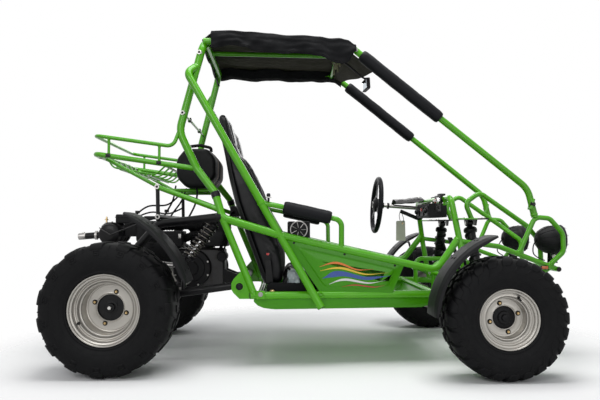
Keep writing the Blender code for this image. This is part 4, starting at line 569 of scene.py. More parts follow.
def lower_rail_at(side, x):
    """A place on the lower rail beside the seats."""
    return between(at(0.56, side * 0.412, 0.303), at(1.505, side * 0.345, 0.3), (x - 0.56) / 0.945)


def brace_at(side, share):
    """A place on the brace from the hoop to the lower rail."""
    return between(brace_top(side), at(0.858, side * 0.4235, 0.252), share)


def dash_at(side, z):
    """A place on a leg of the hoop in front of the wheel."""
    return between(at(1.474, side * 0.36, 0.5), at(1.44, side * 0.33, 0.72), (z - 0.5) / 0.22)


def rack_z(x):
    """The height of the rear rack's main tube."""
    return 0.848 + 0.065 * (0.32 - x) / 0.448


def loop_z(x):
    """The height of the rear rack's upper loop."""
    return 0.946 + 0.048 * (0.215 - x) / 0.343


def mirrored(route):
    """The route on the near side, then back along its mirror on the far side."""
    near = [Vector((p.x, -p.y, p.z)) for p in route]
    return near + list(reversed(route))


def gusset(piece, a, b, corner, thick=0.003, material=None):
    """A three-cornered web plate in the angle of two tubes."""
    along = (a - corner).cross(b - corner).normalized()
    inner = between(between(a, b, 0.5), corner, 0.18)
    piece.plate([corner, a, inner, b], thick, along, material or GREEN)


def end_cap(piece, place, axis, radius, material=None):
    """A pressed cap on a tube's end, with a ring and a socket."""
    piece.lathe([(0, 0.0), (radius * 0.45, 0.0), (radius * 0.55, 0.0022), (radius * 0.9, 0.0022),
                 (radius, 0.0005), (radius, -0.004), (0, -0.004)], place, axis, material or ZINC, segments=22)
    piece.lathe([(0, 0.0008), (radius * 0.42, 0.0008), (radius * 0.42, -0.002), (0, -0.002)], place, axis,
                BLACK, segments=18)


def make_roll_hoop():
    piece = Piece("roll_hoop_tube")
    route = mirrored([at(0.403, 0.36, 0.742), at(0.32, 0.332, 0.848), at(0.24, 0.32, 1.015),
                      at(0.345, 0.302, 1.425)])
    piece.tube(route, HOOP_R, GREEN, (0.11, 0.11, 0.06, 0.06, 0.11, 0.11), steps=12)
    piece.tube([hoop_at(-1, 1.093), hoop_at(1, 1.093)], 0.006, GREEN, weld=(0.018, 0.018), sides=12)
    for side in (-1, 1):
        out = (ACROSS * side - AHEAD * 0.25).normalized()
        for z in (1.095, 1.369):
            spot = hoop_at(side, z) + out * 0.0165
            piece.lathe([(0, 0.001), (0.0055, 0.001), (0.0062, 0.004), (0.0095, 0.004), (0.0115, 0.001),
                         (0.0115, -0.004), (0, -0.004)], spot, out, ZINC, segments=20)
            piece.lathe([(0, 0.0022), (0.0053, 0.0022), (0.0053, -0.001), (0, -0.001)], spot, out, BLACK,
                        segments=6)
        for z in (1.3, 1.17):
            piece.bead(hoop_at(side, z), at(0.105, 0, 0.41) - at(0, 0, 0), HOOP_R, GREEN, fat=0.0012)
    for y in (-0.155, 0.155):
        spot = hoop_at(1, 1.093)
        place = Vector((spot.x, y, spot.z))
        piece.box(place + UP * 0.001, (0.016, 0.03, 0.02), BLACK, 0.003)
    piece.done("chassis", "green_paint", ["roll_hoop"])


def make_roof():
    """The windscreen pillars, which run up into the roof tubes."""
    piece = Piece("windscreen_pillars")
    for side in (-1, 1):
        route = [at(0.341, side * 0.3, 1.425), *pillar_at(side), at(1.827, side * 0.3, 0.634)]
        path = piece.tube(route, PILLAR_R, GREEN, 0.11, steps=12)
        down = (route[3] - route[2]).normalized()
        foot = path[-1]
        piece.bead(foot - down * 0.012, down, PILLAR_R, GREEN, 0.004)
        piece.box(between(route[2], route[3], 0.55) - AHEAD * 0.001, (0.012, 0.038, 0.05), GREEN, 0.003,
                  Matrix.Rotation(math.radians(13), 3, "Y"))
        out = ACROSS * side
        place = between(route[2], route[3], 0.55) + out * 0.016
        piece.bolt(place, out, 0.0085, BLACK, 0.0125)
        piece.bolt(between(route[1], route[2], 0.045) + out * 0.0145, out, 0.006, STEEL, 0.009)
        for share in (0.585, 0.9):
            spot = between(route[1], route[2], share)
            piece.bead(spot, route[2] - route[1], PILLAR_R, GREEN, 0.001)
    front = at(0.96, 0, 1.415)
    piece.tube([front - ACROSS * 0.3, front + ACROSS * 0.3], 0.011, GREEN, weld=(0.016, 0.016))
    piece.tube([at(0.345, -0.11, 1.425), at(0.96, -0.11, 1.415)], 0.011, GREEN, weld=(0.018, 0.012))
    for side in (-1, 1):
        gusset(piece, front + ACROSS * side * 0.245, at(0.905, side * 0.286, 1.416),
               at(0.95, side * 0.286, 1.415))
    piece.done("chassis", "green_paint", ["roof_frame"])


def make_cab_side(word, side):
    """One side of the cab: rails, brace, armrest bar, pivot plate and panel."""
    piece = Piece("cab_frame_" + word)
    out = ACROSS * side
    lower = on_side(side, [(0.56, 0.412, 0.303), (1.505, 0.345, 0.3), (1.7, 0.19, 0.275), (1.932, 0.19, 0.4)])
    piece.tube(lower, RAIL_R, GREEN, steps=10, weld=(0, 0.012))
    end_cap(piece, lower[0] - AHEAD * 0.0005, -AHEAD, 0.015, BLACK)
    top, knee = shoulder_at(side), knee_at(side)
    cross = brace_at(side, 0.7)
    piece.tube([top, knee, cross], HOOP_R, GREEN, SMALL_BEND, steps=10, weld=(0, 0.02))
    down = (knee - top).normalized()
    piece.lathe([(0.0172, 0.0), (0.0192, 0.0012), (0.0195, 0.003), (0.0195, 0.022), (0.019, 0.0255),
                 (0.0172, 0.0262)], top, down, BLACK, segments=24)
    piece.tube([knee, foot_at(side)], RAIL_R, GREEN, weld=(0.02, 0.017))
    nose, tip = at(1.362, side * 0.378, 0.404), dash_at(side, 0.545)
    tip -= (tip - nose).normalized() * 0.006
    piece.tube([cross, nose, tip], RAIL_R, GREEN, steps=10, weld=(0.018, 0.008))
    foot = brace_at(side, 1.0)
    piece.tube([hoop_at(side, 1.31), brace_top(side), foot], 0.0168, GREEN, SMALL_BEND, steps=10,
               weld=(0.018, 0))
    way = (foot - brace_top(side)).normalized()
    end_cap(piece, foot + way * 0.0004, way, 0.0164, BLACK)
    spot = brace_at(side, 0.565)
    piece.lathe([(0.0168, -0.007), (0.0185, -0.006), (0.0188, 0.0), (0.0185, 0.006), (0.0168, 0.007)], spot,
                way, GREEN, segments=24)
    piece.bead(lower_rail_at(side, 0.858) + out * 0.0155, ACROSS, 0.012, GREEN, 0.003)
    rail_x = between(cross, nose, 0.39)
    piece.tube([spot, *armrest_at(side), rail_x], TUBE_R, GREEN, SMALL_BEND, steps=9, weld=(0.018, 0.016))
    make_pivot_plate(piece, side)
    for x, tall in ((0.6035, 0.034), (1.345, 0.026)):
        spot = lower_rail_at(side, x) + out * 0.0175
        piece.box(spot + out * 0.001 + UP * 0.004, (0.036, 0.006, tall), GREEN, 0.0015)
        piece.bolt(spot + out * 0.004 + UP * 0.006, out, 0.0075, STEEL, 0.0105)
    for share in (0.035, 0.93):
        spot = between(cross, nose, share)
        piece.bead(spot, nose - cross, RAIL_R, GREEN, 0.0012)
    panel = [cross, between(cross, nose, 0.8), lower_rail_at(side, 1.168), lower_rail_at(side, 0.858)]
    make_side_panel(piece, side, panel)
    make_valance(piece, side)
    piece.done("chassis", "green_paint", ["cab_side_" + word])


def make_pivot_plate(piece, side):
    out = ACROSS * side
    foot, knee = foot_at(side), knee_at(side)
    high = between(foot, knee, (0.303 - 0.419) / (0.303 - 0.63))
    y = side * 0.412
    outline = [Vector((foot.x, y, 0.2885)), Vector((foot.x, y, 0.303)), Vector((high.x, y, 0.415)),
               at(0.489, y, 0.372), at(0.48, y, 0.356), at(0.48, y, 0.328), at(0.488, y, 0.314),
               at(0.514, y, 0.2885)]
    piece.plate(outline, 0.006, ACROSS, GREEN, 0.0015)
    piece.lathe([(0.0155, 0.0), (0.02, 0.0), (0.0215, 0.002), (0.0215, 0.005), (0.0155, 0.0055)],
                at(0.514, side * 0.4145, 0.341), out, GREEN, segments=28, loop=True)


def make_side_panel(piece, side, corners):
    """A pressed panel: a flat border and a raised field with a rolled step round it."""
    normal = (corners[1] - corners[0]).cross(corners[3] - corners[0]).normalized()
    if normal.y * side < 0:
        normal = -normal
    flat = corners[2] - normal * (corners[2] - corners[0]).dot(normal)
    corners = [corners[0], corners[1], flat, corners[3]]
    middle = sum(corners, Vector()) / 4

    def ring(inset, lift, soft):
        placed = []
        count = len(corners)
        for i, corner in enumerate(corners):
            back = (corners[i - 1] - corner).normalized()
            on = (corners[(i + 1) % count] - corner).normalized()
            half = back.angle(on) / 2
            inner = corner + (back + on).normalized() * (inset / math.sin(half))
            for step in range(5):
                share = step / 4
                a, b = inner + back * soft, inner + on * soft
                point = between(between(a, inner, share), between(inner, b, share), share)
                placed.append(point + normal * lift)
        return placed

    rings = [ring(0.004, -0.002, 0.01), ring(0.004, 0.002, 0.01), ring(0.03, 0.002, 0.02),
             ring(0.0335, 0.0035, 0.02), ring(0.0365, 0.0065, 0.02), ring(0.0395, 0.0078, 0.02),
             ring(0.07, 0.008, 0.03)]
    piece.skin(rings, GREEN_PANEL)
    edge = between(corners[0], corners[1], 0.5)
    for share in (0.1, 0.5, 0.9):
        spot = between(corners[0], corners[1], share) + (middle - edge).normalized() * 0.0225 + normal * 0.002
        piece.lathe([(0, 0.0022), (0.003, 0.002), (0.005, 0.0008), (0.0053, -0.001), (0, -0.001)], spot,
                    normal, BLACK, segments=14)


def make_valance(piece, side):
    """The pan's turned-up edge, which hangs below the lower rail."""
    stations = [(0.574, 0.288, 0.275), (0.59, 0.29, 0.259), (0.615, 0.291, 0.248), (0.65, 0.291, 0.243),
                (0.9, 0.291, 0.2425), (1.12, 0.291, 0.2425), (1.3, 0.29, 0.243), (1.33, 0.29, 0.25),
                (1.352, 0.289, 0.262), (1.364, 0.288, 0.28)]
    rings = []
    for x, high, low in stations:
        y = lower_rail_at(1, x).y - 0.004
        ring = [(y - 0.001, high), (y + 0.0005, (high + low) / 2), (y - 0.003, low + 0.004), (y - 0.007, low),
                (y - 0.0085, low + 0.002), (y - 0.005, low + 0.005), (y - 0.0015, (high + low) / 2),
                (y - 0.003, high)]
        rings.append([at(x, side * a, b) for a, b in ring])
    piece.skin(rings, GREEN_PANEL)


def make_shoulder_tube():
    piece = Piece("shoulder_tube")
    piece.tube([at(0.44, -0.391, 0.63), at(0.44, 0.391, 0.63)], CROSS_R, GREEN, weld=(0.01, 0.01))
    for y in (-0.3105, 0.3105):
        for shift in (-0.02, 0.02):
            piece.plate(upright(y + shift, [(0.447, 0.64), (0.4, 0.642), (0.392, 0.63), (0.4, 0.618),
                                            (0.447, 0.62)]), 0.003, ACROSS, GREEN)
    piece.done("chassis", "green_paint", ["shoulder_cross_tube"])


def make_dash_hoop():
    piece = Piece("dash_hoop_tube")
    route = mirrored([at(1.505, 0.345, 0.3), at(1.474, 0.36, 0.5), at(1.44, 0.33, 0.72)])
    piece.tube(route, CROSS_R, GREEN, SMALL_BEND, steps=9, weld=(0.016, 0.016))
    start, end = at(1.4152, STEER_Y, 0.69), at(1.44, STEER_Y, 0.688)
    way = (end - start).normalized()
    piece.lathe([(0.0103, 0.0), (0.018, 0.0), (0.02, 0.002), (0.02, 0.0232), (0.018, 0.025), (0.0103, 0.025)],
                start, way, GREEN, segments=28, loop=True)
    for y in (-0.24, 0.02):
        piece.plate(upright(y, [(1.432, 0.722), (1.448, 0.722), (1.452, 0.69), (1.428, 0.69)]), 0.003, ACROSS,
                    GREEN)
    piece.done("chassis", "green_paint", ["dash_hoop"])


def make_floor_pan():
    """The pan with its pressed ridges, and the cross tubes over it."""
    piece = Piece("belly_pan")
    for x in (0.6, 0.8, 1.36):
        y = lower_rail_at(1, x).y
        z = lower_rail_at(1, x).z
        piece.tube([at(x, -y, z), at(x, y, z)], CROSS_R, GREEN, weld=(0.016, 0.016))
    stations = ((0.6, 0.303), (0.622, 0.268), (0.64, 0.25), (0.66, 0.243), (0.85, 0.243), (1.08, 0.243),
                (1.3, 0.243), (1.32, 0.25), (1.338, 0.268), (1.36, 0.3005))
    rings = []
    columns = 25
    for x, z in stations:
        half = lower_rail_at(1, x).y - 0.016
        over, under = [], []
        for i in range(columns):
            share = 2 * i / (columns - 1) - 1
            ridge = 0.0035 if i % 4 == 2 and 0.66 < x < 1.3 else 0.0
            over.append(at(x, share * half, z + 0.002 + ridge))
            under.append(at(x, share * half, z - 0.002 + ridge))
        rings.append(over + list(reversed(under)))
    piece.skin(rings, GREEN_PANEL)
    for y in (-0.6, 0.6):
        spot = lower_rail_at(1, 0.8)
        piece.box(Vector((spot.x, spot.y * y, spot.z - 0.03)), (0.0135, 0.0135, 0.06), GREEN, 0.002)
    for x in (0.7, 0.92, 1.14):
        for y in (-0.25, -0.08, 0.08, 0.25):
            piece.lathe([(0, -0.0025), (0.004, -0.0022), (0.0065, -0.0005), (0.0065, 0.001), (0, 0.001)],
                        at(x, y, 0.241), UP, BLACK, segments=14)
    piece.done("chassis", "green_paint", ["floor_pan"])


def make_bulkhead():
    """The front belly frame with the wishbones' sleeves and the rack's housing."""
    piece = Piece("front_belly_frame")
    for side in (-1, 1):
        y = side * BEAM_Y
        piece.tube(upright(y, [(1.36, 0.3005), (1.41, 0.235), (1.7, 0.275)]), TUBE_R, GREEN, SMALL_BEND,
                   weld=(0.014, 0.016))
        piece.tube(upright(y, [(1.395, 0.222), (1.395, 0.425), (1.67, 0.425), (1.67, 0.222)]), TUBE_R, GREEN,
                   SMALL_BEND, steps=8)
        for x in BEAMS:
            for z in (0.235, 0.38):
                piece.lathe(both_ways([(0.0118, 0.017), (0.015, 0.016)]), at(x, y, z), AHEAD, GREEN,
                            segments=20)
                piece.bolt(at(x + 0.0165 * (1 if x > 1.5 else -1), y, z), AHEAD * (1 if x > 1.5 else -1),
                           0.0085, ZINC, 0.011)
    piece.lathe(both_ways([(0.0085, 0.19), (0.0135, 0.19), (0.014, 0.188)]), at(1.482, 0, 0.264), ACROSS,
                GREEN, segments=24, loop=True)
    for side in (-1, 1):
        piece.lathe([(0.0082, 0.0)] + [((0.0155 if i % 2 else 0.011) - 0.0002 * i, 0.004 + 0.006 * i)
                                       for i in range(9)] + [(0.0082, 0.058)], at(1.482, side * 0.19, 0.264),
                    ACROSS * side, PLASTIC, segments=20)
    piece.done("chassis", "green_paint", ["front_bulkhead"])


def make_nose():
    """The nose tubes, the guards round the lamps and the two arches."""
    piece = Piece("nose_frame_tubes")
    piece.tube([at(1.932, -0.3, 0.4), at(1.932, 0.3, 0.4)], TUBE_R, GREEN)
    for word, side in SIDES:
        end_cap(piece, at(1.932, side * 0.3004, 0.4), ACROSS * side, 0.0112, BLACK)
        knee, tip = at(1.66, side * 0.305, 0.503), at(1.932, side * 0.275, 0.4)
        piece.tube([dash_at(side, 0.528), knee, tip], TUBE_R, GREEN, weld=(0.014, 0.012))
        y = side * 0.302
        guard = [between(knee, tip, 0.338), at(1.827, y, 0.634), at(1.893, y, 0.628), at(1.953, y, 0.56),
                 at(1.953, y, 0.478), between(knee, tip, 0.864)]
        piece.tube(guard, 0.011, GREEN, (0.035, 0.035, 0.06, 0.035), steps=9, weld=(0.012, 0.012))
        gusset(piece, between(knee, tip, 0.26), between(guard[0], guard[1], 0.3), guard[0])
    piece.done("chassis", "green_paint", ["nose_frame"])
    for word, side in SIDES:
        arch = Piece("nose_arch_tube_" + word)
        y = side * 0.17
        route = [at(1.583, y, 0.626), at(1.553, y, 0.703), at(1.622, y, 0.752), at(1.845, y, 0.594),
                 at(1.928, side * 0.115, 0.52), at(1.932, side * 0.115, 0.406)]
        arch.tube(route, TUBE_R, GREEN, SMALL_BEND, steps=9, weld=(0.004, 0.008))
        leg = dash_at(side, 0.626)
        arch.box(at(1.5475, side * 0.2425, 0.626), (0.115, 0.205, 0.006), BLACK, 0.0022)
        arch.box(at(0, 0, 0) + Vector((0.5 * (1.5475 + 1.4545), leg.y, 0.626)), (0.093, 0.05, 0.006), GREEN,
                 0.0022)
        for x, dy in ((1.508, 0.165), (1.588, 0.165), (1.508, 0.318), (1.588, 0.318)):
            arch.bolt(at(x, side * dy, 0.6288), UP, 0.0075, ZINC, 0.0105)
        for shift in (-0.02, 0.02):
            arch.plate(on_side(side, [(1.557 + shift, 0.205, 0.6235), (1.557 + shift, 0.265, 0.6235),
                                      (1.557 + shift, 0.252, 0.597), (1.557 + shift, 0.218, 0.597)]), 0.004,
                       AHEAD, BLACK)
        arch.done("chassis", "green_paint", ["nose_arch_" + word])


def make_rack():
    piece = Piece("rear_rack_tubes")
    piece.tube(mirrored([at(0.32, 0.33, 0.848), at(-0.128, 0.33, 0.913)]), TUBE_R, GREEN, SMALL_BEND, steps=9)
    loop = mirrored([hoop_at(1, 1.02), at(0.215, 0.33, 0.946), at(-0.128, 0.33, 0.994)])
    piece.tube(loop, STAY_R, GREEN, SMALL_BEND, steps=9, sides=14)
    for side in (-1, 1):
        for x in (-0.065, 0.155):
            piece.tube([at(x, side * 0.33, rack_z(x)), at(x, side * 0.33, loop_z(x))], ROD_R, GREEN, sides=12,
                       weld=(0.012, 0.009))
            piece.box(at(x, side * 0.341, rack_z(x) + 0.001), (0.02, 0.008, 0.016), BLACK, 0.002)
        tail = at(-0.136, side * 0.25, 0.914)
        piece.lathe(both_ways([(0.0118, 0.012), (0.0135, 0.01)]), tail + AHEAD * 0.008, ACROSS, BLACK,
                    segments=18)
    for x in (-0.1, 0.165):
        piece.tube([at(x, -0.33, rack_z(x)), at(x, 0.33, rack_z(x))], ROD_R, GREEN, sides=12,
                   weld=(0.012, 0.012))
    for index in range(6):
        y = 0.24 * (2 * index / 5 - 1)
        piece.tube(upright(y, [(-0.1, rack_z(-0.1)), (-0.07, 0.862), (0.12, 0.828), (0.165, rack_z(0.165))]),
                   0.004, GREEN, SMALL_BEND, sides=10, weld=(0.006, 0.006))
    for share in (0.2, 0.5, 0.8):
        middle = between(at(-0.07, 0, 0.862), at(0.12, 0, 0.828), share) - UP * 0.004
        piece.tube([middle - ACROSS * 0.248, middle + ACROSS * 0.248], 0.0045, GREEN, sides=10)
    piece.done("chassis", "green_paint", ["rear_rack"])
    stays = Piece("rack_stay_tubes")
    middle = at(0.148, 0, 0.768)
    stays.tube([middle - ACROSS * 0.34, middle + ACROSS * 0.34], TUBE_R, GREEN)
    for side in (-1, 1):
        end_cap(stays, middle + ACROSS * side * 0.3404, ACROSS * side, 0.0112)
        seat = between(knee_at(side), shoulder_at(side), 0.3)
        stays.tube([middle + ACROSS * side * 0.325, seat], TUBE_R, GREEN, weld=(0.01, 0.018))
        stays.tube([at(-0.086, side * 0.285, rack_z(-0.086) - 0.0115), middle + ACROSS * side * 0.285],
                   0.0085, GREEN, sides=14, weld=(0.002, 0.012))
        stays.tube([at(0.148, side * 0.12, 0.766), at(0.345, side * 0.12, 0.766)], STAY_R, GREEN, sides=14)
        end_cap(stays, at(0.3455, side * 0.12, 0.766), AHEAD, 0.0082, BLACK)
    stays.done("chassis", "green_paint", ["rack_stays"])


def fender_at(rear, share, lift):
    """A place along a mudguard, from its low end to its high one, lifted off its arc."""
    if rear:
        angle, reach, hub = 18 + 61 * share, 0.335 + 0.054 * share * share, at(0, 0, REAR_HUB_Z)
    else:
        angle, reach, hub = 178 - 80 * share, 0.282 + 0.038 * share * share, at(WHEELBASE, 0, FRONT_HUB_Z)
    angle = math.radians(angle)
    return hub + spoke_at(angle) * (reach + lift)


def make_fender(name, node, body, rear, inner, outer):
    """A moulded strip with rolled edges, ribs and its bolts."""
    piece = Piece(name)
    way = 1 if outer > 0 else -1
    low, high = sorted((abs(inner), abs(outer)))
    steps = 34
    rings = []
    for i in range(steps + 1):
        share = i / steps
        ring = []
        section = [(low, -0.011), (low, 0.0005), (low + 0.004, 0.0022), (low + 0.018, 0.0025),
                   (low + 0.024, 0.0062), (low + 0.03, 0.007), (0.5 * (low + high), 0.0078),
                   (high - 0.03, 0.007), (high - 0.024, 0.0062), (high - 0.018, 0.0025),
                   (high - 0.005, 0.002), (high - 0.0008, -0.001), (high, -0.006), (high, -0.013),
                   (high - 0.004, -0.0135), (high - 0.0045, -0.004), (high - 0.01, -0.0025),
                   (high - 0.021, -0.0018), (high - 0.028, 0.003), (0.5 * (low + high), 0.0036),
                   (low + 0.028, 0.003), (low + 0.021, -0.0018), (low + 0.0045, -0.0025),
                   (low + 0.0035, -0.011)]
        fade = min(1.0, share * 9, (1 - share) * 9)
        for y, lift in section:
            ring.append(fender_at(rear, share, lift * (0.45 + 0.55 * fade) if abs(lift) > 0.003 else lift)
                        + ACROSS * way * y)
        rings.append(ring)
    piece.skin(rings, PLASTIC)
    shares = (0.14, 0.78) if rear else (0.6, 0.86)
    for share in shares:
        for y in (low + 0.062, high - 0.062):
            here, on = fender_at(rear, share, 0.007), fender_at(rear, share, 0.03)
            piece.lathe([(0, 0.0035), (0.004, 0.0032), (0.0072, 0.0012), (0.0075, -0.002), (0, -0.002)],
                        here + ACROSS * way * y, (on - here).normalized(), BLACK, segments=14)
    piece.done(body, "black_plastic", [node])


def make_subframe():
    piece = Piece("rear_black_frame")
    middle = at(0.152, 0, 0.637)
    piece.tube([middle - ACROSS * 0.34, middle + ACROSS * 0.34], TUBE_R, BLACK)
    for side in (-1, 1):
        end_cap(piece, middle + ACROSS * side * 0.3404, ACROSS * side, 0.0112)
        y = side * 0.325
        seat = between(knee_at(side), shoulder_at(side), 0.05)
        knee = at(0.152, y, 0.605)
        piece.tube([seat, knee, at(0.06, y, 0.5)], 0.0185, BLACK, steps=9, weld=(0.02, 0))
        end_cap(piece, at(0.06, y, 0.5) - (knee - at(0.06, y, 0.5)).normalized() * 0.0004,
                (at(0.06, y, 0.5) - knee).normalized(), 0.018, BLACK)
        piece.tube([at(0.148, y, 0.768), knee], STAY_R, BLACK, sides=14, weld=(0.012, 0.019))
        stay = fender_at(True, 7 / 9, -0.0075)
        outer = side * (0.41 + 0.195 * 0.75)
        piece.tube([stay + ACROSS * y, stay + ACROSS * outer], ROD_R, BLACK, sides=12)
        piece.tube([stay + ACROSS * y, at(0.07, y, 0.513)], ROD_R, BLACK, sides=12)
        piece.plate(upright(y, [(0.062, 0.52), (0.1, 0.565), (0.12, 0.54), (0.085, 0.5)]), 0.004, ACROSS,
                    BLACK)
    piece.done("chassis", "black_steel", ["rear_subframe"])


def make_swing_arm():
    piece = Piece("swing_arm_tubes")
    piece.tube([PIVOT - ACROSS * 0.418, PIVOT + ACROSS * 0.418], 0.016, BLACK)
    for side in (-1, 1):
        piece.bolt(PIVOT + ACROSS * side * 0.4182, ACROSS * side, 0.0105, BLACK, 0.0145)
        carrier = at(0, side * 0.285, REAR_HUB_Z)
        piece.tube([PIVOT + ACROSS * side * 0.335, carrier], 0.0165, BLACK, weld=(0.017, 0.046))
        piece.lathe(both_ways([(0.0165, 0.015), (0.03, 0.015), (0.034, 0.013), (0.043, 0.015),
                               (0.045, 0.013)]), carrier, ACROSS, DARK_ALLOY, segments=36, loop=True)
        for angle in turns(4, 0.5):
            spot = carrier + spoke_at(angle) * 0.037
            piece.bolt(spot + ACROSS * side * 0.014, ACROSS * side, 0.0052, ZINC)
        arm = between(carrier, PIVOT + ACROSS * side * 0.335, 0.262 / 0.514)
        piece.tube([arm, Vector((arm.x, arm.y, 0.419))], 0.01, BLACK, sides=14, weld=(0.017, 0))
    piece.done("chassis", "black_steel", ["swing_arm"])


def make_front_arms():
    for word, side in SIDES:
        pin = at(WHEELBASE, side * 0.545, 0)
        for kind, root_z, end_z in (("lower", 0.235, 0.172), ("upper", 0.38, 0.315)):
            piece = Piece(kind + "_wishbone_" + word)
            end = pin + UP * end_z
            for x in BEAMS:
                root = at(x, side * BEAM_Y, root_z)
                way = (end - root).normalized()
                piece.tube([root + way * 0.012, end - way * 0.01], 0.0105, GREEN, sides=16,
                           weld=(0.003, 0.01))
            piece.lathe(both_ways([(0, 0.013), (0.017, 0.013), (0.019, 0.011)]), end, UP, GREEN, segments=26)
            if kind == "lower":
                ends = [between(at(x, side * BEAM_Y, root_z), end, 0.7) for x in BEAMS]
                piece.tube(ends, 0.0105, GREEN, sides=16, weld=(0.01, 0.01))
                middle = between(ends[0], ends[1], 0.5)
                for shift in (-0.021, 0.021):
                    piece.plate([middle + Vector((shift, d * 0.018, z))
                                 for d, z in ((-1, 0.004), (1, 0.004), (0.7, 0.036), (-0.7, 0.036))], 0.004,
                                AHEAD, GREEN)
                piece.bolt(middle + AHEAD * 0.023 + UP * 0.0245, AHEAD, 0.008, ZINC, 0.011)
            piece.done("chassis", "green_paint", [kind + "_arm_" + word])
        piece = Piece("knuckle_forging_" + word)
        piece.lathe([(0, 0.185), (0.0105, 0.185), (0.011, 0.187), (0.0112, 0.2), (0.0165, 0.212),
                     (0.018, 0.238), (0.0165, 0.264), (0.0112, 0.276), (0.011, 0.3), (0.0105, 0.302),
                     (0, 0.302)], pin, UP, BLACK, segments=24)
        spindle_end = side * 0.6455
        piece.tube([pin + UP * FRONT_HUB_Z, at(WHEELBASE, spindle_end, FRONT_HUB_Z)], 0.0125, STEEL, sides=20)
        piece.lathe([(0.0125, 0.014), (0.026, 0.016), (0.03, 0.02), (0.03, 0.024), (0.0125, 0.025)],
                    pin + UP * FRONT_HUB_Z, ACROSS * side, BLACK, segments=26)
        tip = at(1.482, side * 0.545, 0.281)
        piece.tube([pin + UP * 0.281, tip], 0.008, BLACK, sides=14, weld=(0.012, 0))
        piece.lathe(both_ways([(0, 0.008), (0.0095, 0.008), (0.0105, 0.006)]), tip, UP, BLACK, segments=20)
        piece.bolt(tip + UP * 0.008, UP, 0.007, ZINC, 0.0095)
        seat = fender_at(False, 7 / 9, -0.0095)
        stay = [tip, at(1.482, side * 0.515, 0.281), Vector((seat.x, side * 0.515, seat.z)),
                Vector((seat.x, side * 0.636, seat.z))]
        piece.tube(stay, 0.006, BLACK, 0.012, sides=12)
        piece.done("knuckle_" + word, "black_steel", ["knuckle_" + word])
    rods = Piece("tie_rod_bar")
    centre = at(1.482, 0, 0.264)
    rods.tube([centre - ACROSS * 0.545, centre + ACROSS * 0.545], 0.007, ZINC, sides=16)
    for side in (-1, 1):
        eye = centre + ACROSS * side * 0.545
        rods.lathe(both_ways([(0, 0.0075), (0.0095, 0.0075), (0.0115, 0.004)]), eye, UP, STEEL, segments=22)
        rods.lathe([(0.007, 0), (0.0105, 0), (0.0105, 0.012), (0.0095, 0.028), (0.007, 0.03)],
                   centre + ACROSS * side * 0.5, ACROSS * side, BLACK, segments=18)
        rods.lathe([(0.007, 0), (0.0115, 0), (0.0115, 0.008), (0.007, 0.008)], centre + ACROSS * side * 0.484,
                   ACROSS * side, ZINC, segments=6)
    rods.done("steering_rack", "steel", ["tie_rods"])


make_roll_hoop()
make_roof()
for word, side in SIDES:
    make_cab_side(word, side)
make_shoulder_tube()
make_dash_hoop()
make_floor_pan()
make_bulkhead()
make_nose()
make_rack()
make_subframe()
make_swing_arm()
make_front_arms()
for word, side in SIDES:
    make_fender("rear_fender_strip_" + word, "rear_fender_" + word, "chassis", True, side * 0.41,
                side * 0.605)
    make_fender("front_fender_strip_" + word, "front_fender_" + word, "knuckle_" + word, False, side * 0.56,
                side * 0.712)


# Wheels

class Section:
    """Half a tyre's outline from the middle of the tread to the bead, measured along its length."""

    def __init__(self, points):
        path = smooth_path([Vector((y, r, 0)) for r, y in points], 5)
        self.path, self.far = path, [0.0]
        for a, b in zip(path, path[1:]):
            self.far.append(self.far[-1] + (b - a).length)

    def at(self, s):
        s = min(max(s, 0.0), self.far[-1] - 1e-6)
        i = max(k for k in range(len(self.far) - 1) if self.far[k] <= s)
        a, b = self.path[i], self.path[i + 1]
        here = a + (b - a) * ((s - self.far[i]) / (self.far[i + 1] - self.far[i]))
        along = (b - a).normalized()
        return here.y, here.x, along.x, -along.y

    def place(self, centre, side, theta, s, lift):
        """The place at an angle and a distance along the section, lifted off the skin."""
        r, y, nr, ny = self.at(s)
        r, y = r + nr * lift, y + ny * lift
        return centre + Vector((math.cos(theta) * r, side * y, math.sin(theta) * r))


REAR_SECTION = Section([(0.262, 0.0), (0.2618, 0.04), (0.2608, 0.072), (0.258, 0.094), (0.2515, 0.1085),
                        (0.24, 0.1165), (0.226, 0.1215), (0.21, 0.124), (0.195, 0.1245), (0.18, 0.1228),
                        (0.166, 0.1185), (0.157, 0.114), (0.153, 0.1135), (0.151, 0.115), (0.147, 0.1145),
                        (0.1445, 0.111), (0.1436, 0.108)])
FRONT_SECTION = Section([(0.2302, 0.0), (0.2298, 0.03), (0.2285, 0.05), (0.2255, 0.064), (0.219, 0.0745),
                         (0.209, 0.0815), (0.195, 0.0865), (0.18, 0.0885), (0.168, 0.0887), (0.154, 0.0872),
                         (0.141, 0.0835), (0.131, 0.08), (0.128, 0.0798), (0.1262, 0.0812), (0.1222, 0.0806),
                         (0.1198, 0.0785), (0.1186, 0.077)])


def lug(piece, section, centre, side, theta, stations, material=None, chamfer=0.0022):
    """A tread block over stations of (distance, turn, half width, height); its foot is sunk in the skin.

    theta, turn and half width are in degrees.
    """
    theta = math.radians(theta)
    stations = [(s, math.radians(turn), math.radians(half), high) for s, turn, half, high in stations]
    rings = []
    for s, turn, half, high in stations:
        r = section.at(s)[0]
        edge = min(chamfer / r, half * 0.3)
        middle = theta + turn
        profile = [(-half - edge * 0.9, -0.0012), (-half, high * 0.55), (-half + edge, high), (0, high),
                   (half - edge, high), (half, high * 0.55), (half + edge * 0.9, -0.0012)]
        rings.append([section.place(centre, side, middle + t, s, lift) for t, lift in profile])

    def foot(station, shift):
        s, turn, half, high = station
        return [section.place(centre, side, theta + turn + half * share, s + shift, -0.0015)
                for share in (-1.1, -1, -0.7, 0, 0.7, 1, 1.1)]

    rings = [foot(stations[0], -0.004)] + rings + [foot(stations[-1], 0.004)]
    piece.skin(rings, material or RUBBER)


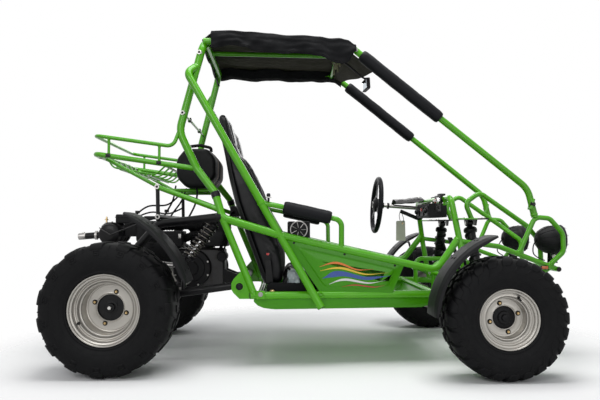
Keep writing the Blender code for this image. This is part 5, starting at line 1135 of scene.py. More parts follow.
def make_tyre(word, side, rear):
    section = REAR_SECTION if rear else FRONT_SECTION
    centre = at(0, side * 0.4879, REAR_HUB_Z) if rear else at(WHEELBASE, side * 0.6202, FRONT_HUB_Z)
    kind = "rear" if rear else "front"
    piece = Piece(kind + "_tyre_rubber_" + word)
    count = 44
    half = [section.at(section.far[-1] * i / count) for i in range(count + 1)]
    profile = [(r, -y) for r, y, nr, ny in reversed(half)] + [(r, y) for r, y, nr, ny in half[1:]]
    piece.lathe(profile, centre, ACROSS, RUBBER, segments=120, loop=True)
    if rear:
        for i in range(15):
            for way in (-1, 1):
                theta = i * 24 + (12 if way > 0 else 0)
                lug(piece, section, centre, way, theta,
                    [(0.034, -5.5, 3.4, 0.005), (0.052, -3.0, 4.4, 0.0052), (0.074, -0.8, 5.6, 0.0056),
                     (0.094, 0.4, 6.0, 0.0066), (0.106, 0.8, 6.0, 0.0066), (0.116, 1.0, 5.6, 0.0046),
                     (0.124, 1.0, 5.2, 0.0022)])
                lug(piece, section, centre, way, theta + 9.4,
                    [(0.0, 1.2, 2.9, 0.0049), (0.016, -0.2, 3.0, 0.005), (0.028, -1.2, 2.8, 0.005)])
                square = theta + 1.0
                for s, wide, deep in ((0.129, 2.9, 0.0032), (0.146, 2.9, 0.0032)):
                    lug(piece, section, centre, way, square,
                        [(s - 0.0016, 0, wide, deep), (s + 0.0016, 0, wide, deep)], chamfer=0.0008)
                for turn in (-2.7, 2.7):
                    lug(piece, section, centre, way, square + turn,
                        [(0.129, 0, 0.36, 0.0032), (0.146, 0, 0.36, 0.0032)], chamfer=0.0006)
                lug(piece, section, centre, way, square, [(0.1335, 0, 1.3, 0.0016), (0.1395, 0, 1.3, 0.0016)],
                    chamfer=0.0008)
                lug(piece, section, centre, way, theta + 13.0,
                    [(0.11, 0, 0.5, 0.0035), (0.126, 0.4, 0.4, 0.0016)], chamfer=0.0008)
    else:
        for i in range(24):
            for way in (-1, 1):
                theta = i * 15 + (7.5 if way > 0 else 0)
                lug(piece, section, centre, way, theta,
                    [(0.03, -4.5, 3.0, 0.0078), (0.045, -2.4, 4.0, 0.0082), (0.06, 0.0, 5.0, 0.009),
                     (0.072, 1.6, 5.3, 0.0086), (0.082, 2.6, 5.2, 0.0064), (0.092, 3.6, 4.2, 0.003)])
                lug(piece, section, centre, way, theta + 4.2,
                    [(0.0, 2.6, 2.7, 0.0076), (0.012, 0.6, 2.8, 0.0077), (0.024, -1.6, 2.5, 0.0078)])
                lug(piece, section, centre, way, theta + 5.2,
                    [(0.093, 0.6, 1.1, 0.0022), (0.106, 3.0, 0.9, 0.002), (0.118, 6.6, 0.6, 0.001)],
                    chamfer=0.001)
    for s in ((0.158, 0.196) if rear else (0.122, 0.15)):
        for way in (-1, 1):
            r, y, nr, ny = section.at(s)
            ring = [(r + nr * -0.0005 + 0.0012 * math.cos(a), way * (y + ny * -0.0005) + 0.0012 * math.sin(a))
                    for a in turns(6)]
            piece.lathe(ring, centre, ACROSS, RUBBER, segments=96, loop=True)
    piece.done("rear_wheels" if rear else "front_wheel_" + word, "tyre", [kind + "_tyre_" + word], sharp=32)


def make_rim(word, side, rear):
    radius, deep, wide = (0.143, 0.1, 0.215) if rear else (0.1178, 0.066, 0.152)
    wall, hole = (0.1005, 0.055) if rear else (0.0768, 0.046)
    face = at(0, side * 0.5954, REAR_HUB_Z) if rear else at(WHEELBASE, side * 0.6962, FRONT_HUB_Z)
    kind = "rear" if rear else "front"
    piece = Piece(kind + "_wheel_rim_" + word)
    out = ACROSS * side
    lip = [(-0.0002, -0.004), (-0.0005, -0.001), (-0.0022, 0.0014), (-0.005, 0.0014), (-0.0072, -0.0004),
           (-0.0088, -0.004), (-0.0098, -0.0085), (-0.0128, -0.0105), (-0.0158, -0.0112), (-0.017, -0.0135)]
    profile = [(radius + r, d) for r, d in lip]
    # The face: a pressed bead, the dish's wall and its floor up to the hub's hole
    profile += [(radius - r, -share * deep)
                for r, share in ((0.0182, 0.27), (0.0195, 0.3), (0.0225, 0.318), (0.025, 0.305),
                                 (0.0275, 0.29), (0.0305, 0.298), (0.0325, 0.33), (0.0342, 0.38),
                                 (0.0355, 0.42))]
    profile += [(wall + r, -share * deep)
                for r, share in ((0.0045, 0.445), (0.0015, 0.46), (0, 0.5), (-0.0008, 0.6), (-0.0015, 0.86),
                                 (-0.0022, 0.94), (-0.004, 0.985), (-0.007, 1.0), (-0.0095, 0.99),
                                 (-0.0125, 0.994), (-0.015, 1.0))]
    profile += [(hole + r, -share * deep)
                for r, share in ((0.006, 1.0), (0.003, 0.99), (0.0008, 0.972), (-0.0008, 0.975),
                                 (-0.0015, 1.0))]
    # The back of the floor, the barrel and its inner lip
    profile += [(hole - 0.0015, -deep - 0.003), (wall - 0.004, -deep - 0.003), (wall + 0.001, -deep - 0.006),
                (radius - 0.0225, -deep - 0.022), (radius - 0.0212, -deep - 0.03)]
    profile += [(radius - r, d - wide) for r, d in ((0.0212, 0.02), (0.016, 0.008), (0.006, 0.001),
                                                    (0.002, 0), (0.0005, 0.003), (0.006, 0.006),
                                                    (0.013, 0.013), (0.0175, 0.022))]
    # The outer skin, back to the lip
    profile += [(radius - 0.0178, -deep - 0.03), (wall + 0.009, -deep - 0.012), (wall + 0.0045, -deep),
                (wall + 0.004, -0.6 * deep), (wall + 0.006, -0.49 * deep)]
    profile += [(radius - r, -share * deep)
                for r, share in ((0.031, 0.45), (0.029, 0.36), (0.019, 0.36), (0.015, 0.29))]
    profile += [(radius - 0.014, -0.015), (radius - 0.007, -0.013), (radius - 0.0045, -0.006)]
    piece.lathe(profile, face, out, RIM, segments=96, loop=True)
    first = 71 if rear else 106
    reach = 0.067 if rear else 0.0575
    for turn in range(4):
        angle = math.radians(first + 90 * turn)
        spot = face - out * deep + spoke_at(angle) * reach
        piece.lathe([(0.0062, -0.001), (0.0098, -0.001), (0.01, 0.0012), (0.0085, 0.0026), (0.0062, 0.0026)],
                    spot, out, BLACK, segments=24, loop=True)
        piece.lathe([(0, 0.0005), (0.0066, 0.0005), (0.0066, -0.001), (0, -0.001)], spot, out, BLACK,
                    segments=16)
        piece.lathe([(0, 0.0098), (0.0028, 0.0098), (0.0032, 0.009), (0.0032, 0.0066), (0.0048, 0.0066),
                     (0.0057, 0.0058), (0.0057, 0.0006), (0, 0.0006)], spot, out, BRASS, segments=6,
                    turn=0.4 + turn)
    spoke = spoke_at(math.radians(207 if rear else 63))
    root = face - out * (0.3 * deep) + spoke * (radius - 0.0275)
    lean = (out - spoke * 0.25).normalized()
    piece.lathe([(0, -0.002), (0.0062, -0.002), (0.0062, 0.003), (0.0045, 0.006), (0.0042, 0.017),
                 (0.0036, 0.019), (0.0044, 0.0195), (0.0044, 0.029), (0.0036, 0.031), (0, 0.031)], root, lean,
                PLASTIC, segments=16)
    if not rear:
        hub = [(0, 0.0215), (0.01, 0.0215), (0.0125, 0.0205), (0.014, 0.0165), (0.0142, 0.012),
               (0.023, 0.011), (0.0255, 0.0085), (0.0262, 0.003), (0.033, 0.001), (0.042, -0.0005),
               (0.045, -0.003), (0.046, -0.006), (0.046, -0.01), (0.033, -0.012), (0.032, -0.016),
               (0.0138, -0.016), (0.0138, 0.017), (0, 0.017)]
        piece.lathe(hub, face - out * deep, out, DARK_ALLOY, segments=48)
        for angle in turns(8):
            spoke = spoke_at(angle)
            a, b = face - out * (deep - 0.004) + spoke * 0.025, face - out * (deep + 0.001) + spoke * 0.043
            piece.plate([a, b, b - out * 0.006, a - out * 0.01], 0.003, spoke.cross(out), DARK_ALLOY)
    piece.done("rear_wheels" if rear else "front_wheel_" + word, "rim_steel", [kind + "_rim_" + word],
               sharp=34)


def toothed(piece, centre, radius, thick, teeth, material):
    """A sprocket's outline as a plate: two points on each tooth and two in each gap."""
    outline = [centre + spoke_at(angle) * (radius * (1.0, 1.0, 0.93, 0.93)[i % 4])
               for i, angle in enumerate(turns(teeth * 4))]
    piece.plate(outline, thick, ACROSS, material, 0.0006)


def make_rear_axle():
    piece = Piece("rear_live_axle")
    centre = at(0, 0, REAR_HUB_Z)
    face = 0.5954 - 0.1
    piece.tube([centre - ACROSS * (face - 0.01), centre + ACROSS * (face - 0.01)], 0.0148, STEEL, sides=24)
    for side in (-1, 1):
        out = ACROSS * side
        disc = centre + out * face
        hub = [(0, 0.0185), (0.007, 0.0185), (0.0085, 0.017), (0.0085, 0.012), (0.0165, 0.011),
               (0.0175, 0.0095), (0.018, -0.0045), (0.027, -0.006), (0.0275, -0.012), (0.034, -0.013),
               (0.034, -0.02), (0.026, -0.023), (0.025, -0.048), (0.0148, -0.05)]
        piece.lathe(hub, disc, out, BLACK, segments=36)
        piece.lathe([(0.024, -0.0185), (0.0588, -0.0185), (0.06, -0.0172), (0.06, -0.01), (0.0588, -0.0088),
                     (0.024, -0.0088)], disc, out, BLACK, segments=48, loop=True)
        for turn in range(4):
            spoke = spoke_at(math.radians(71 + 90 * turn))
            low, high = disc - out * 0.0115 + spoke * 0.024, disc - out * 0.0115 + spoke * 0.072
            wide = spoke.cross(out).normalized()
            piece.plate([low + wide * 0.016, high + wide * 0.011, high + spoke * 0.006 + wide * 0.004,
                         high + spoke * 0.006 - wide * 0.004, high - wide * 0.011, low - wide * 0.016], 0.009,
                        out, BLACK, 0.002)
        piece.bolt(disc + out * 0.018, out, 0.0085, ZINC)
    toothed(piece, centre - ACROSS * 0.088, 0.095, 0.006, 34, STEEL)
    piece.lathe([(0.0148, -0.02), (0.034, -0.018), (0.036, 0.004), (0.0148, 0.01)], centre - ACROSS * 0.08,
                ACROSS, DARK_ALLOY, segments=30)
    piece.lathe(both_ways([(0.042, 0.002), (0.0895, 0.002), (0.09, 0.001)]), centre + ACROSS * 0.088, ACROSS,
                STEEL, segments=64, loop=True)
    piece.lathe([(0.0148, -0.012), (0.03, -0.01), (0.043, -0.003), (0.043, 0.003), (0.03, 0.004),
                 (0.0148, 0.012)], centre + ACROSS * 0.088, ACROSS, DARK_ALLOY, segments=36)
    piece.done("rear_wheels", "steel", ["rear_axle"])


# Shocks

def make_shock(name, node, top, foot, along, body_finish, coil_finish, slot, spread):
    """A spring and damper between two eyes, whose pins lie along a direction."""
    piece = Piece(name)
    axis = (foot - top).normalized()
    length = (foot - top).length
    for end in (top, foot):
        piece.lathe(both_ways([(0.006, 0.015), (0.0135, 0.015), (0.015, 0.0135)]), end, along, body_finish,
                    segments=26, loop=True)
        piece.lathe(both_ways([(0, 0.0165), (0.0075, 0.0165)]), end, along, ZINC, segments=18)
    piece.lathe([(0.009, 0.01), (0.013, 0.014), (0.013, 0.026), (0.0285, 0.03), (0.03, 0.034), (0.03, 0.04),
                 (0.0235, 0.044), (0.021, 0.052), (0.0205, length * 0.46), (0.0185, length * 0.48),
                 (0.006, length * 0.485)], top, axis, body_finish, segments=32)
    piece.tube([top + axis * (length * 0.45), foot - axis * 0.012], 0.0062, CHROME, sides=16)
    low = length * 0.86
    piece.lathe([(0.0065, low + 0.022), (0.0125, low + 0.02), (0.014, low + 0.01), (0.0285, low + 0.007),
                 (0.03, low + 0.003), (0.03, low - 0.002), (0.0225, low - 0.004), (0.0065, low - 0.005)], top,
                axis, body_finish, segments=32)
    piece.coil(top + axis * 0.043, top + axis * (low - 0.005), spread, 0.0043, 8.5, coil_finish, sides=10,
               rate=22)
    for share in (0.3, 0.36):
        spot = top + axis * (length * share)
        piece.lathe(both_ways([(0.0205, 0.0035), (0.0225, 0.003)]), spot, axis, body_finish, segments=24)
    piece.done("chassis", slot, [node])


def make_shocks():
    for word, side in SIDES:
        y = side * 0.3105
        make_shock("rear_spring_" + word, "rear_shock_" + word, at(0.4112, y, 0.63), at(0.262, y, 0.4343),
                   ACROSS, BLACK, SPRING, "steel", 0.0252)
        ends = [between(at(x, side * BEAM_Y, 0.235), at(WHEELBASE, side * 0.545, 0.172), 0.7) for x in BEAMS]
        foot = between(ends[0], ends[1], 0.5) + UP * 0.0258
        top = Vector((foot.x, side * 0.235, 0.6077))
        make_shock("front_spring_" + word, "front_shock_" + word, top, foot, AHEAD, BLACK, BLACK,
                   "black_steel", 0.025)


# Steering, dash and pedals

def make_steering_wheel():
    piece = Piece("steering_wheel_rim")
    centre, end = at(1.192, STEER_Y, 0.708), at(1.44, STEER_Y, 0.688)
    axis = (end - centre).normalized()
    side_way = axis.cross(UP).normalized()
    up_way = side_way.cross(axis).normalized()
    rings = []
    for i, a in enumerate(turns(96)):
        spoke = side_way * math.cos(a) + up_way * math.sin(a)
        ring = []
        for b in turns(14):
            grip = 0.0125 - (0.001 if i % 3 == 0 and math.cos(b) < 0.2 else 0.0)
            ring.append(centre + spoke * (0.1375 + grip * math.cos(b)) + axis * (grip * math.sin(b)))
        rings.append(ring)
    piece.skin(rings, FOAM, loop=True)
    piece.lathe([(0, -0.0205), (0.018, -0.02), (0.03, -0.0165), (0.0375, -0.011), (0.038, -0.005),
                 (0.032, 0.011), (0.022, 0.022), (0.015, 0.038), (0, 0.038)], centre, axis, PLASTIC,
                segments=40)
    piece.lathe([(0.013, -0.0212), (0.015, -0.022), (0.0165, -0.0205), (0.015, -0.019)], centre, axis, ZINC,
                segments=30, loop=True)
    for angle in (90, 210, 330):
        a = math.radians(angle)
        way = side_way * math.cos(a) + up_way * math.sin(a)
        wide = axis.cross(way)
        rings = []
        for share, half, thick in ((0.03, 0.017, 0.0035), (0.06, 0.0135, 0.003), (0.1, 0.012, 0.003),
                                   (0.13, 0.015, 0.0035)):
            spot = centre + way * share - axis * 0.002
            rings.append([spot + wide * half * math.cos(b) + axis * thick * math.sin(b) for b in turns(12)])
        piece.skin(rings, BLACK)
        for share in (0.06, 0.085, 0.105):
            piece.lathe([(0, -0.0044), (0.003, -0.0044), (0.005, -0.0032), (0, -0.003)], centre + way * share,
                        axis, ZINC, segments=14)
    piece.tube([centre + axis * 0.01, end], 0.0095, STEEL, sides=20)
    piece.lathe([(0.0095, 0), (0.016, 0.001), (0.0165, 0.01), (0.0095, 0.012)], centre + axis * 0.055, axis,
                BLACK, segments=24)
    piece.done("steering_wheel", "black_plastic", ["steering_wheel"])


def crumpled(piece, rows, material, amount, seed, thick=0.002):
    """A sheet through rows of points, roughened by noise and closed with a thin edge."""
    over, under = [], []
    for row, normals in zip(rows, grid_normals(rows)):
        lifts = [noise.noise(p * 34 + Vector((seed, 0, 0))) * amount for p in row]
        over.append([p + n * (lift + thick) for p, n, lift in zip(row, normals, lifts)])
        under.append([p + n * lift for p, n, lift in zip(row, normals, lifts)])
    piece.skin([a + list(reversed(b)) for a, b in zip(over, under)], material)


def make_dash():
    """The column cover, the electrics tray, the switch panel and the blank key tag."""
    piece = Piece("column_cover")
    rows = []
    for i in range(15):
        share = i / 14
        x = 1.283 + 0.1427 * share
        high = 0.724 + 0.0125 * share
        row = []
        for j in range(15):
            t = 2 * j / 14 - 1
            drop = 0.022 * abs(t) ** 3
            row.append(at(x, STEER_Y + 0.073 * t, high + 0.009 - drop))
        rows.append(row)
    crumpled(piece, rows, ALLOY, 0.006, 3)
    for y in (0.15, 0.24):
        piece.bolt(at(1.405, y, 0.7455), UP, 0.006, ZINC, 0.009)
    for y in (STEER_Y - 0.05, STEER_Y + 0.05):
        piece.tube([at(1.42, y, 0.735), at(1.436, y, 0.726)], ROD_R, BLACK, sides=12)
    piece.done("chassis", "black_plastic", ["dash_cover"])
    tray = Piece("electrics_box")
    tray.box(at(1.44, 0.02, 0.671), (0.088, 0.256, 0.068), PLASTIC, 0.006)
    for y in (-0.075, 0.02, 0.115):
        tray.box(at(1.3945, y, 0.668), (0.01, 0.062, 0.044), BLACK, 0.003)
    tray.box(at(1.389, 0.02, 0.676), (0.008, 0.022, 0.016), RED, 0.003)
    for y in (-0.075, 0.115):
        tray.lathe([(0, 0.012), (0.008, 0.012), (0.01, 0.009), (0.01, 0), (0.0145, 0), (0.0145, -0.002),
                    (0, -0.002)], at(1.3895, y, 0.668), -AHEAD, PLASTIC, segments=24)
    for y, tall in ((-0.06, 0.05), (0.07, 0.04)):
        tray.box(at(1.47, y, 0.705 + tall / 2 - 0.002), (0.03, 0.044, tall), BLACK, 0.004)
    for x in (1.412, 1.468):
        for y in (-0.098, 0.138):
            tray.bolt(at(x, y, 0.7045), UP, 0.005, ZINC, 0.008)
    tray.done("chassis", "black_plastic", ["electrics_tray"])
    panel = Piece("switch_panel")
    panel.box(at(1.419, -0.19, 0.7), (0.004, 0.11, 0.075), BLACK, 0.0015)
    ring = at(1.4165, -0.215, 0.712)
    panel.lathe([(0, 0.006), (0.0085, 0.006), (0.0085, 0.009), (0.0125, 0.009), (0.014, 0.007),
                 (0.014, -0.002), (0, -0.002)], ring, -AHEAD, CHROME, segments=30)
    panel.box(ring - AHEAD * 0.0165, (0.022, 0.0022, 0.01), STEEL, 0.0006)
    panel.lathe([(0, 0.01), (0.008, 0.009), (0.01, 0.006), (0.01, -0.002), (0, -0.002)],
                at(1.4165, -0.17, 0.712), -AHEAD, RED, segments=24)
    panel.box(at(1.416, -0.19, 0.68), (0.006, 0.03, 0.014), PLASTIC, 0.002)
    for y in (-0.15, -0.23):
        panel.plate(upright(y, [(1.421, 0.7), (1.421, 0.735), (1.44, 0.731), (1.44, 0.712)]), 0.003, ACROSS,
                    BLACK)
    panel.done("chassis", "black_plastic")
    tag = Piece("blank_key_tag")
    hang = at(1.326, 0.222, 0.676)
    loop = [hang, at(1.318, 0.226, 0.655), at(1.322, 0.228, 0.628), at(1.334, 0.226, 0.612),
            at(1.34, 0.222, 0.632), at(1.332, 0.219, 0.66), hang]
    tag.tube(loop, 0.0016, RUBBER, smooth=True, sides=8, steps=5)
    tag.plate([at(1.305, 0.226, 0.624), at(1.346, 0.226, 0.626), at(1.349, 0.227, 0.62),
               at(1.351, 0.229, 0.524), at(1.348, 0.229, 0.519), at(1.302, 0.229, 0.518),
               at(1.3, 0.229, 0.522), at(1.301, 0.227, 0.62)], 0.0016, ACROSS, CARD)
    tag.lathe(both_ways([(0.0016, 0.002), (0.004, 0.002)]), at(1.334, 0.226, 0.61), ACROSS, BRASS,
              segments=16, loop=True)
    tag.done("chassis", "black_plastic")


def make_pedals():
    """Two pedals, and the post that holds the column."""
    for name, y, x in (("throttle_pedal", 0.115, 1.58), ("brake_pedal", 0.275, 1.572)):
        piece = Piece(name)
        low = at(1.64, y, 0.3)
        high = at(x, y, 0.48)
        piece.tube([low, between(low, high, 0.4) - AHEAD * 0.01, high], 0.0075, BLACK, SMALL_BEND, sides=14)
        turn = Matrix.Rotation(math.radians(-18), 3, "Y")
        piece.box(high + UP * 0.018 - AHEAD * 0.01, (0.01, 0.062, 0.082), PLASTIC, 0.003, turn)
        for i in range(5):
            piece.box(high + Vector((-0.0165, 0, 0.018 + 0.015 * (i - 2))) + Vector((0.0049 * (i - 2), 0, 0)),
                      (0.004, 0.054, 0.005), RUBBER, 0.001, turn)
        piece.tube([low - ACROSS * 0.03, low + ACROSS * 0.03], 0.011, GREEN, sides=18)
        piece.plate([low + Vector((0.02, 0, -0.002)), low + Vector((0.004, 0, 0.01)),
                     low + Vector((-0.02, 0, -0.004)), at(1.6, y, 0.2535), at(1.66, y, 0.262)], 0.005, ACROSS,
                    GREEN)
        piece.done("chassis", "black_steel")
    post = Piece("column_support")
    post.tube([at(1.44, STEER_Y, 0.668), at(1.43, 0.215, 0.63), at(1.324, 0.222, 0.676)], 0.01, BLACK, 0.02,
              sides=18)
    end_cap(post, at(1.3238, 0.2221, 0.6762), (at(1.324, 0.222, 0.676) - at(1.43, 0.215, 0.63)).normalized(),
            0.0098)
    post.done("chassis", "black_steel")


# Lamps

def make_lamp(word, side):
    piece = Piece("headlamp_bowl_" + word)
    back = at(1.868, side * 0.212, 0.53)
    bowl = [(0, 0.0), (0.022, 0.0005), (0.03, 0.003), (0.038, 0.01), (0.05, 0.026), (0.06, 0.046),
            (0.0655, 0.066), (0.0672, 0.082), (0.069, 0.084), (0.069, 0.088), (0.0676, 0.09), (0.0676, 0.102),
            (0.069, 0.104), (0.069, 0.1135), (0.0665, 0.1165), (0.063, 0.1165), (0.0615, 0.112),
            (0.06, 0.108), (0, 0.108)]
    piece.lathe(bowl, back, AHEAD, PLASTIC, segments=64)
    lens = [(0, 0.1275), (0.02, 0.1268), (0.038, 0.124), (0.052, 0.119), (0.0605, 0.112), (0.0608, 0.107),
            (0, 0.107)]
    piece.lathe(lens, back, AHEAD, LENS, segments=64)
    for angle in turns(12, 0.5):
        spoke = Vector((0, math.cos(angle), math.sin(angle)))
        ridge = [back + AHEAD * d + spoke * r
                 for r, d in ((0.03, 0.003), (0.04, 0.009), (0.052, 0.026), (0.0622, 0.046), (0.068, 0.068),
                              (0.065, 0.07), (0.056, 0.046), (0.045, 0.024), (0.033, 0.01))]
        piece.plate(ridge, 0.003, spoke.cross(AHEAD), PLASTIC)
    for angle in turns(10, 0.5):
        spoke = Vector((0, math.cos(angle), math.sin(angle)))
        piece.lathe([(0, 0.0075), (0.0035, 0.0068), (0.0052, 0.0035), (0.0055, -0.001), (0, -0.001)],
                    back + AHEAD * 0.1165 + spoke * 0.0645, AHEAD, CHROME, segments=14)
    stalk_y = side * 0.235
    piece.tube([at(1.932, stalk_y, 0.408), at(1.932, stalk_y, 0.47)], 0.008, GREEN, sides=16)
    for shift in (-0.016, 0.016):
        piece.plate(upright(stalk_y + shift, [(1.915, 0.425), (1.949, 0.425), (1.944, 0.472),
                                              (1.918, 0.472)]), 0.003, ACROSS, BLACK)
    piece.bolt(at(1.932, stalk_y + side * 0.018, 0.455), ACROSS * side, 0.007, ZINC, 0.01)
    wire = on_side(side, [(1.866, 0.212, 0.526), (1.852, 0.218, 0.5), (1.846, 0.232, 0.47),
                          (1.858, 0.246, 0.452), (1.886, 0.262, 0.437)])
    piece.tube(wire, 0.0028, BLACK, smooth=True, steps=6, sides=8)
    piece.lathe([(0, -0.006), (0.01, -0.005), (0.012, 0.0), (0.011, 0.004), (0, 0.004)],
                at(1.868, side * 0.212, 0.53), AHEAD, RUBBER, segments=24)
    piece.done("chassis", "lamp_shell", ["headlamp_" + word])


def make_reflectors():
    piece = Piece("nose_reflectors")
    for side in (-1, 1):
        spot = at(1.868, side * 0.296, 0.408)
        piece.box(spot, (0.034, 0.008, 0.018), BLACK, 0.002)
        piece.box(spot + ACROSS * side * 0.0045, (0.028, 0.004, 0.013), AMBER, 0.0015)
    for side in (-1, 1):
        piece.plate(upright(side * 0.2905, [(1.852, 0.425), (1.886, 0.412), (1.886, 0.398), (1.852, 0.398)]),
                    0.003, ACROSS, GREEN)
    piece.done("chassis", "black_plastic")


for word, side in SIDES:
    for rear in (True, False):
        make_tyre(word, side, rear)
        make_rim(word, side, rear)
    make_lamp(word, side)
make_rear_axle()
make_shocks()
make_steering_wheel()
make_dash()
make_pedals()
make_reflectors()


# Soft goods

def table(places, x):
    """A smooth value between (place, value) pairs."""
    if x <= places[0][0]:
        return places[0][1]
    for (a, low), (b, high) in zip(places, places[1:]):
        if x <= b:
            t = (x - a) / (b - a)
            return low + (high - low) * t * t * (3 - 2 * t)
    return places[-1][1]


NEAR_RIDGE = [(0.32, 1.46), (0.378, 1.472), (0.46, 1.474), (0.54, 1.468), (0.64, 1.46), (0.72, 1.452),
              (0.78, 1.453), (0.86, 1.447), (0.91, 1.438), (0.95, 1.44), (0.985, 1.432), (1.024, 1.409)]
FAR_RIDGE = [(0.32, 1.453), (0.36, 1.457), (0.56, 1.452), (0.76, 1.447), (0.86, 1.443), (0.95, 1.438),
             (1.015, 1.412)]
MIDDLE = [(0.32, 1.452), (0.38, 1.462), (0.56, 1.455), (0.76, 1.449), (0.86, 1.445), (0.95, 1.438),
          (1.015, 1.416)]
NEAR_HEM = [(0.378, 0.08), (0.444, 0.07), (0.49, 0.068), (0.53, 0.074), (0.57, 0.084), (0.69, 0.086),
            (0.75, 0.08), (0.86, 0.088), (0.96, 0.112), (0.985, 0.1), (1.024, 0.028)]
FAR_WRAP = [(0.0, 0.3225, 0.0), (0.18, 0.3285, -0.004), (0.42, 0.324, -0.028), (0.58, 0.304, -0.038),
            (0.78, 0.28, -0.026), (1.0, 0.264, 0.014)]
# The share of the sheet's width that hangs down at each side
FLAP = 0.16


def canopy_start(s):
    """Where the sheet's rear edge lies, from the near side at -1 to the far side at 1."""
    return 0.328 + 0.05 * max(0.0, (-s - 0.78) / 0.22) + 0.024 * max(0.0, (s - 0.82) / 0.18)


def canopy_point(t, u, fall):
    """A place on the canopy: t from the near hem to the far one, u from rear to front.

    fall hangs it behind the hoop.
    """
    s = max(-1.0, min(1.0, (t - FLAP) / (1 - 2 * FLAP) * 2 - 1))
    start = canopy_start(s)
    x = start + (1.014 + 0.01 * (s < 0) * s * s - start) * u
    near, far, middle = table(NEAR_RIDGE, x), table(FAR_RIDGE, x), table(MIDDLE, x)
    small = noise.noise(Vector((x * 13, t * 34,
                                4.1))) * 0.0022 + noise.noise(Vector((x * 34, t * 80, 2.2))) * 0.0008
    wave = math.sin(x * 31 + 1.2) * 0.004 + math.sin(x * 71 + t * 4) * 0.0018
    if t < FLAP:
        down = (FLAP - t) / FLAP
        drop = table(NEAR_HEM, x) * down
        fold = (math.sin(x * 34 - down * 3.4) * 0.005 * down + math.sin(x * 88 + down * 5) * 0.002 * down
                + wave * down)
        lap = math.exp(-((x - 0.44
                          - 0.1 * down) / 0.016) ** 2) + math.exp(-((x - 0.6 + 0.07 * down) / 0.014) ** 2)
        y = -0.3225 - 0.006 * math.sin(down * 2.6) - fold - lap * 0.0055 * down - small * 1.5
        return at(x, y, near - 0.006 - drop)
    if t > 1 - FLAP:
        down = (t - 1 + FLAP) / FLAP
        y = table([(d, side) for d, side, low in FAR_WRAP], down)
        tube = 1.425 - (x - 0.345) * 0.0155 - max(0.0, x - 0.985) * 0.8
        share = min(down / 0.18, 1.0)
        z = (far - 0.006) * (1 - share) + (tube
                                           + 0.012) * share + table([(d, low) for d, side, low in FAR_WRAP],
                                                                    down)
        fold = (math.sin(x * 27 + down * 3.0) * 0.004 + wave) * down
        return at(x, y - fold, z + fold * 0.8 + small * 2)
    blend = min(abs(s) ** 1.6, 1)
    z = middle * (1 - blend) + (near if s < 0
                                else far) * blend - 0.006 * max(0.0, (abs(s) - 0.955) / 0.045) ** 2
    calm = 1 - s * s
    rear = math.exp(-((x - 0.46) / 0.085) ** 2)
    z -= 0.03 * rear * math.exp(-((s + 0.62) / 0.22) ** 2) + 0.016 * rear * math.exp(-((s - 0.35) / 0.3) ** 2)
    z -= 0.012 * math.exp(-((x - 0.74) / 0.16) ** 2) * (math.exp(-((s + 0.66) / 0.22) ** 2)
                                                        + math.exp(-((s - 0.4) / 0.3) ** 2))
    z -= 0.016 * math.exp(-u / 0.06) * max(0.0, min(1.0, (-s - 0.62) / 0.25))
    z += noise.noise(Vector((x * 3.2, t * 11, 1.7))) * 0.0085 * calm + small * (0.4 + calm)
    z += 0.0032 * math.sin(x * 23 + s * 7) * calm
    y = s * 0.3225
    if fall:
        x += 0.02 * fall - 0.005 * math.sin(fall * 3) + 0.004 * math.sin(y * 40) * fall
        drop = 0.078 + 0.014 * s + 0.004 * math.sin(y * 31)
        return at(x, y * (1 - 0.05 * fall), z - 0.004 * min(fall * 4, 1) - drop * fall
                  + small * 2 * (1 - fall))
    return at(x, y, z)


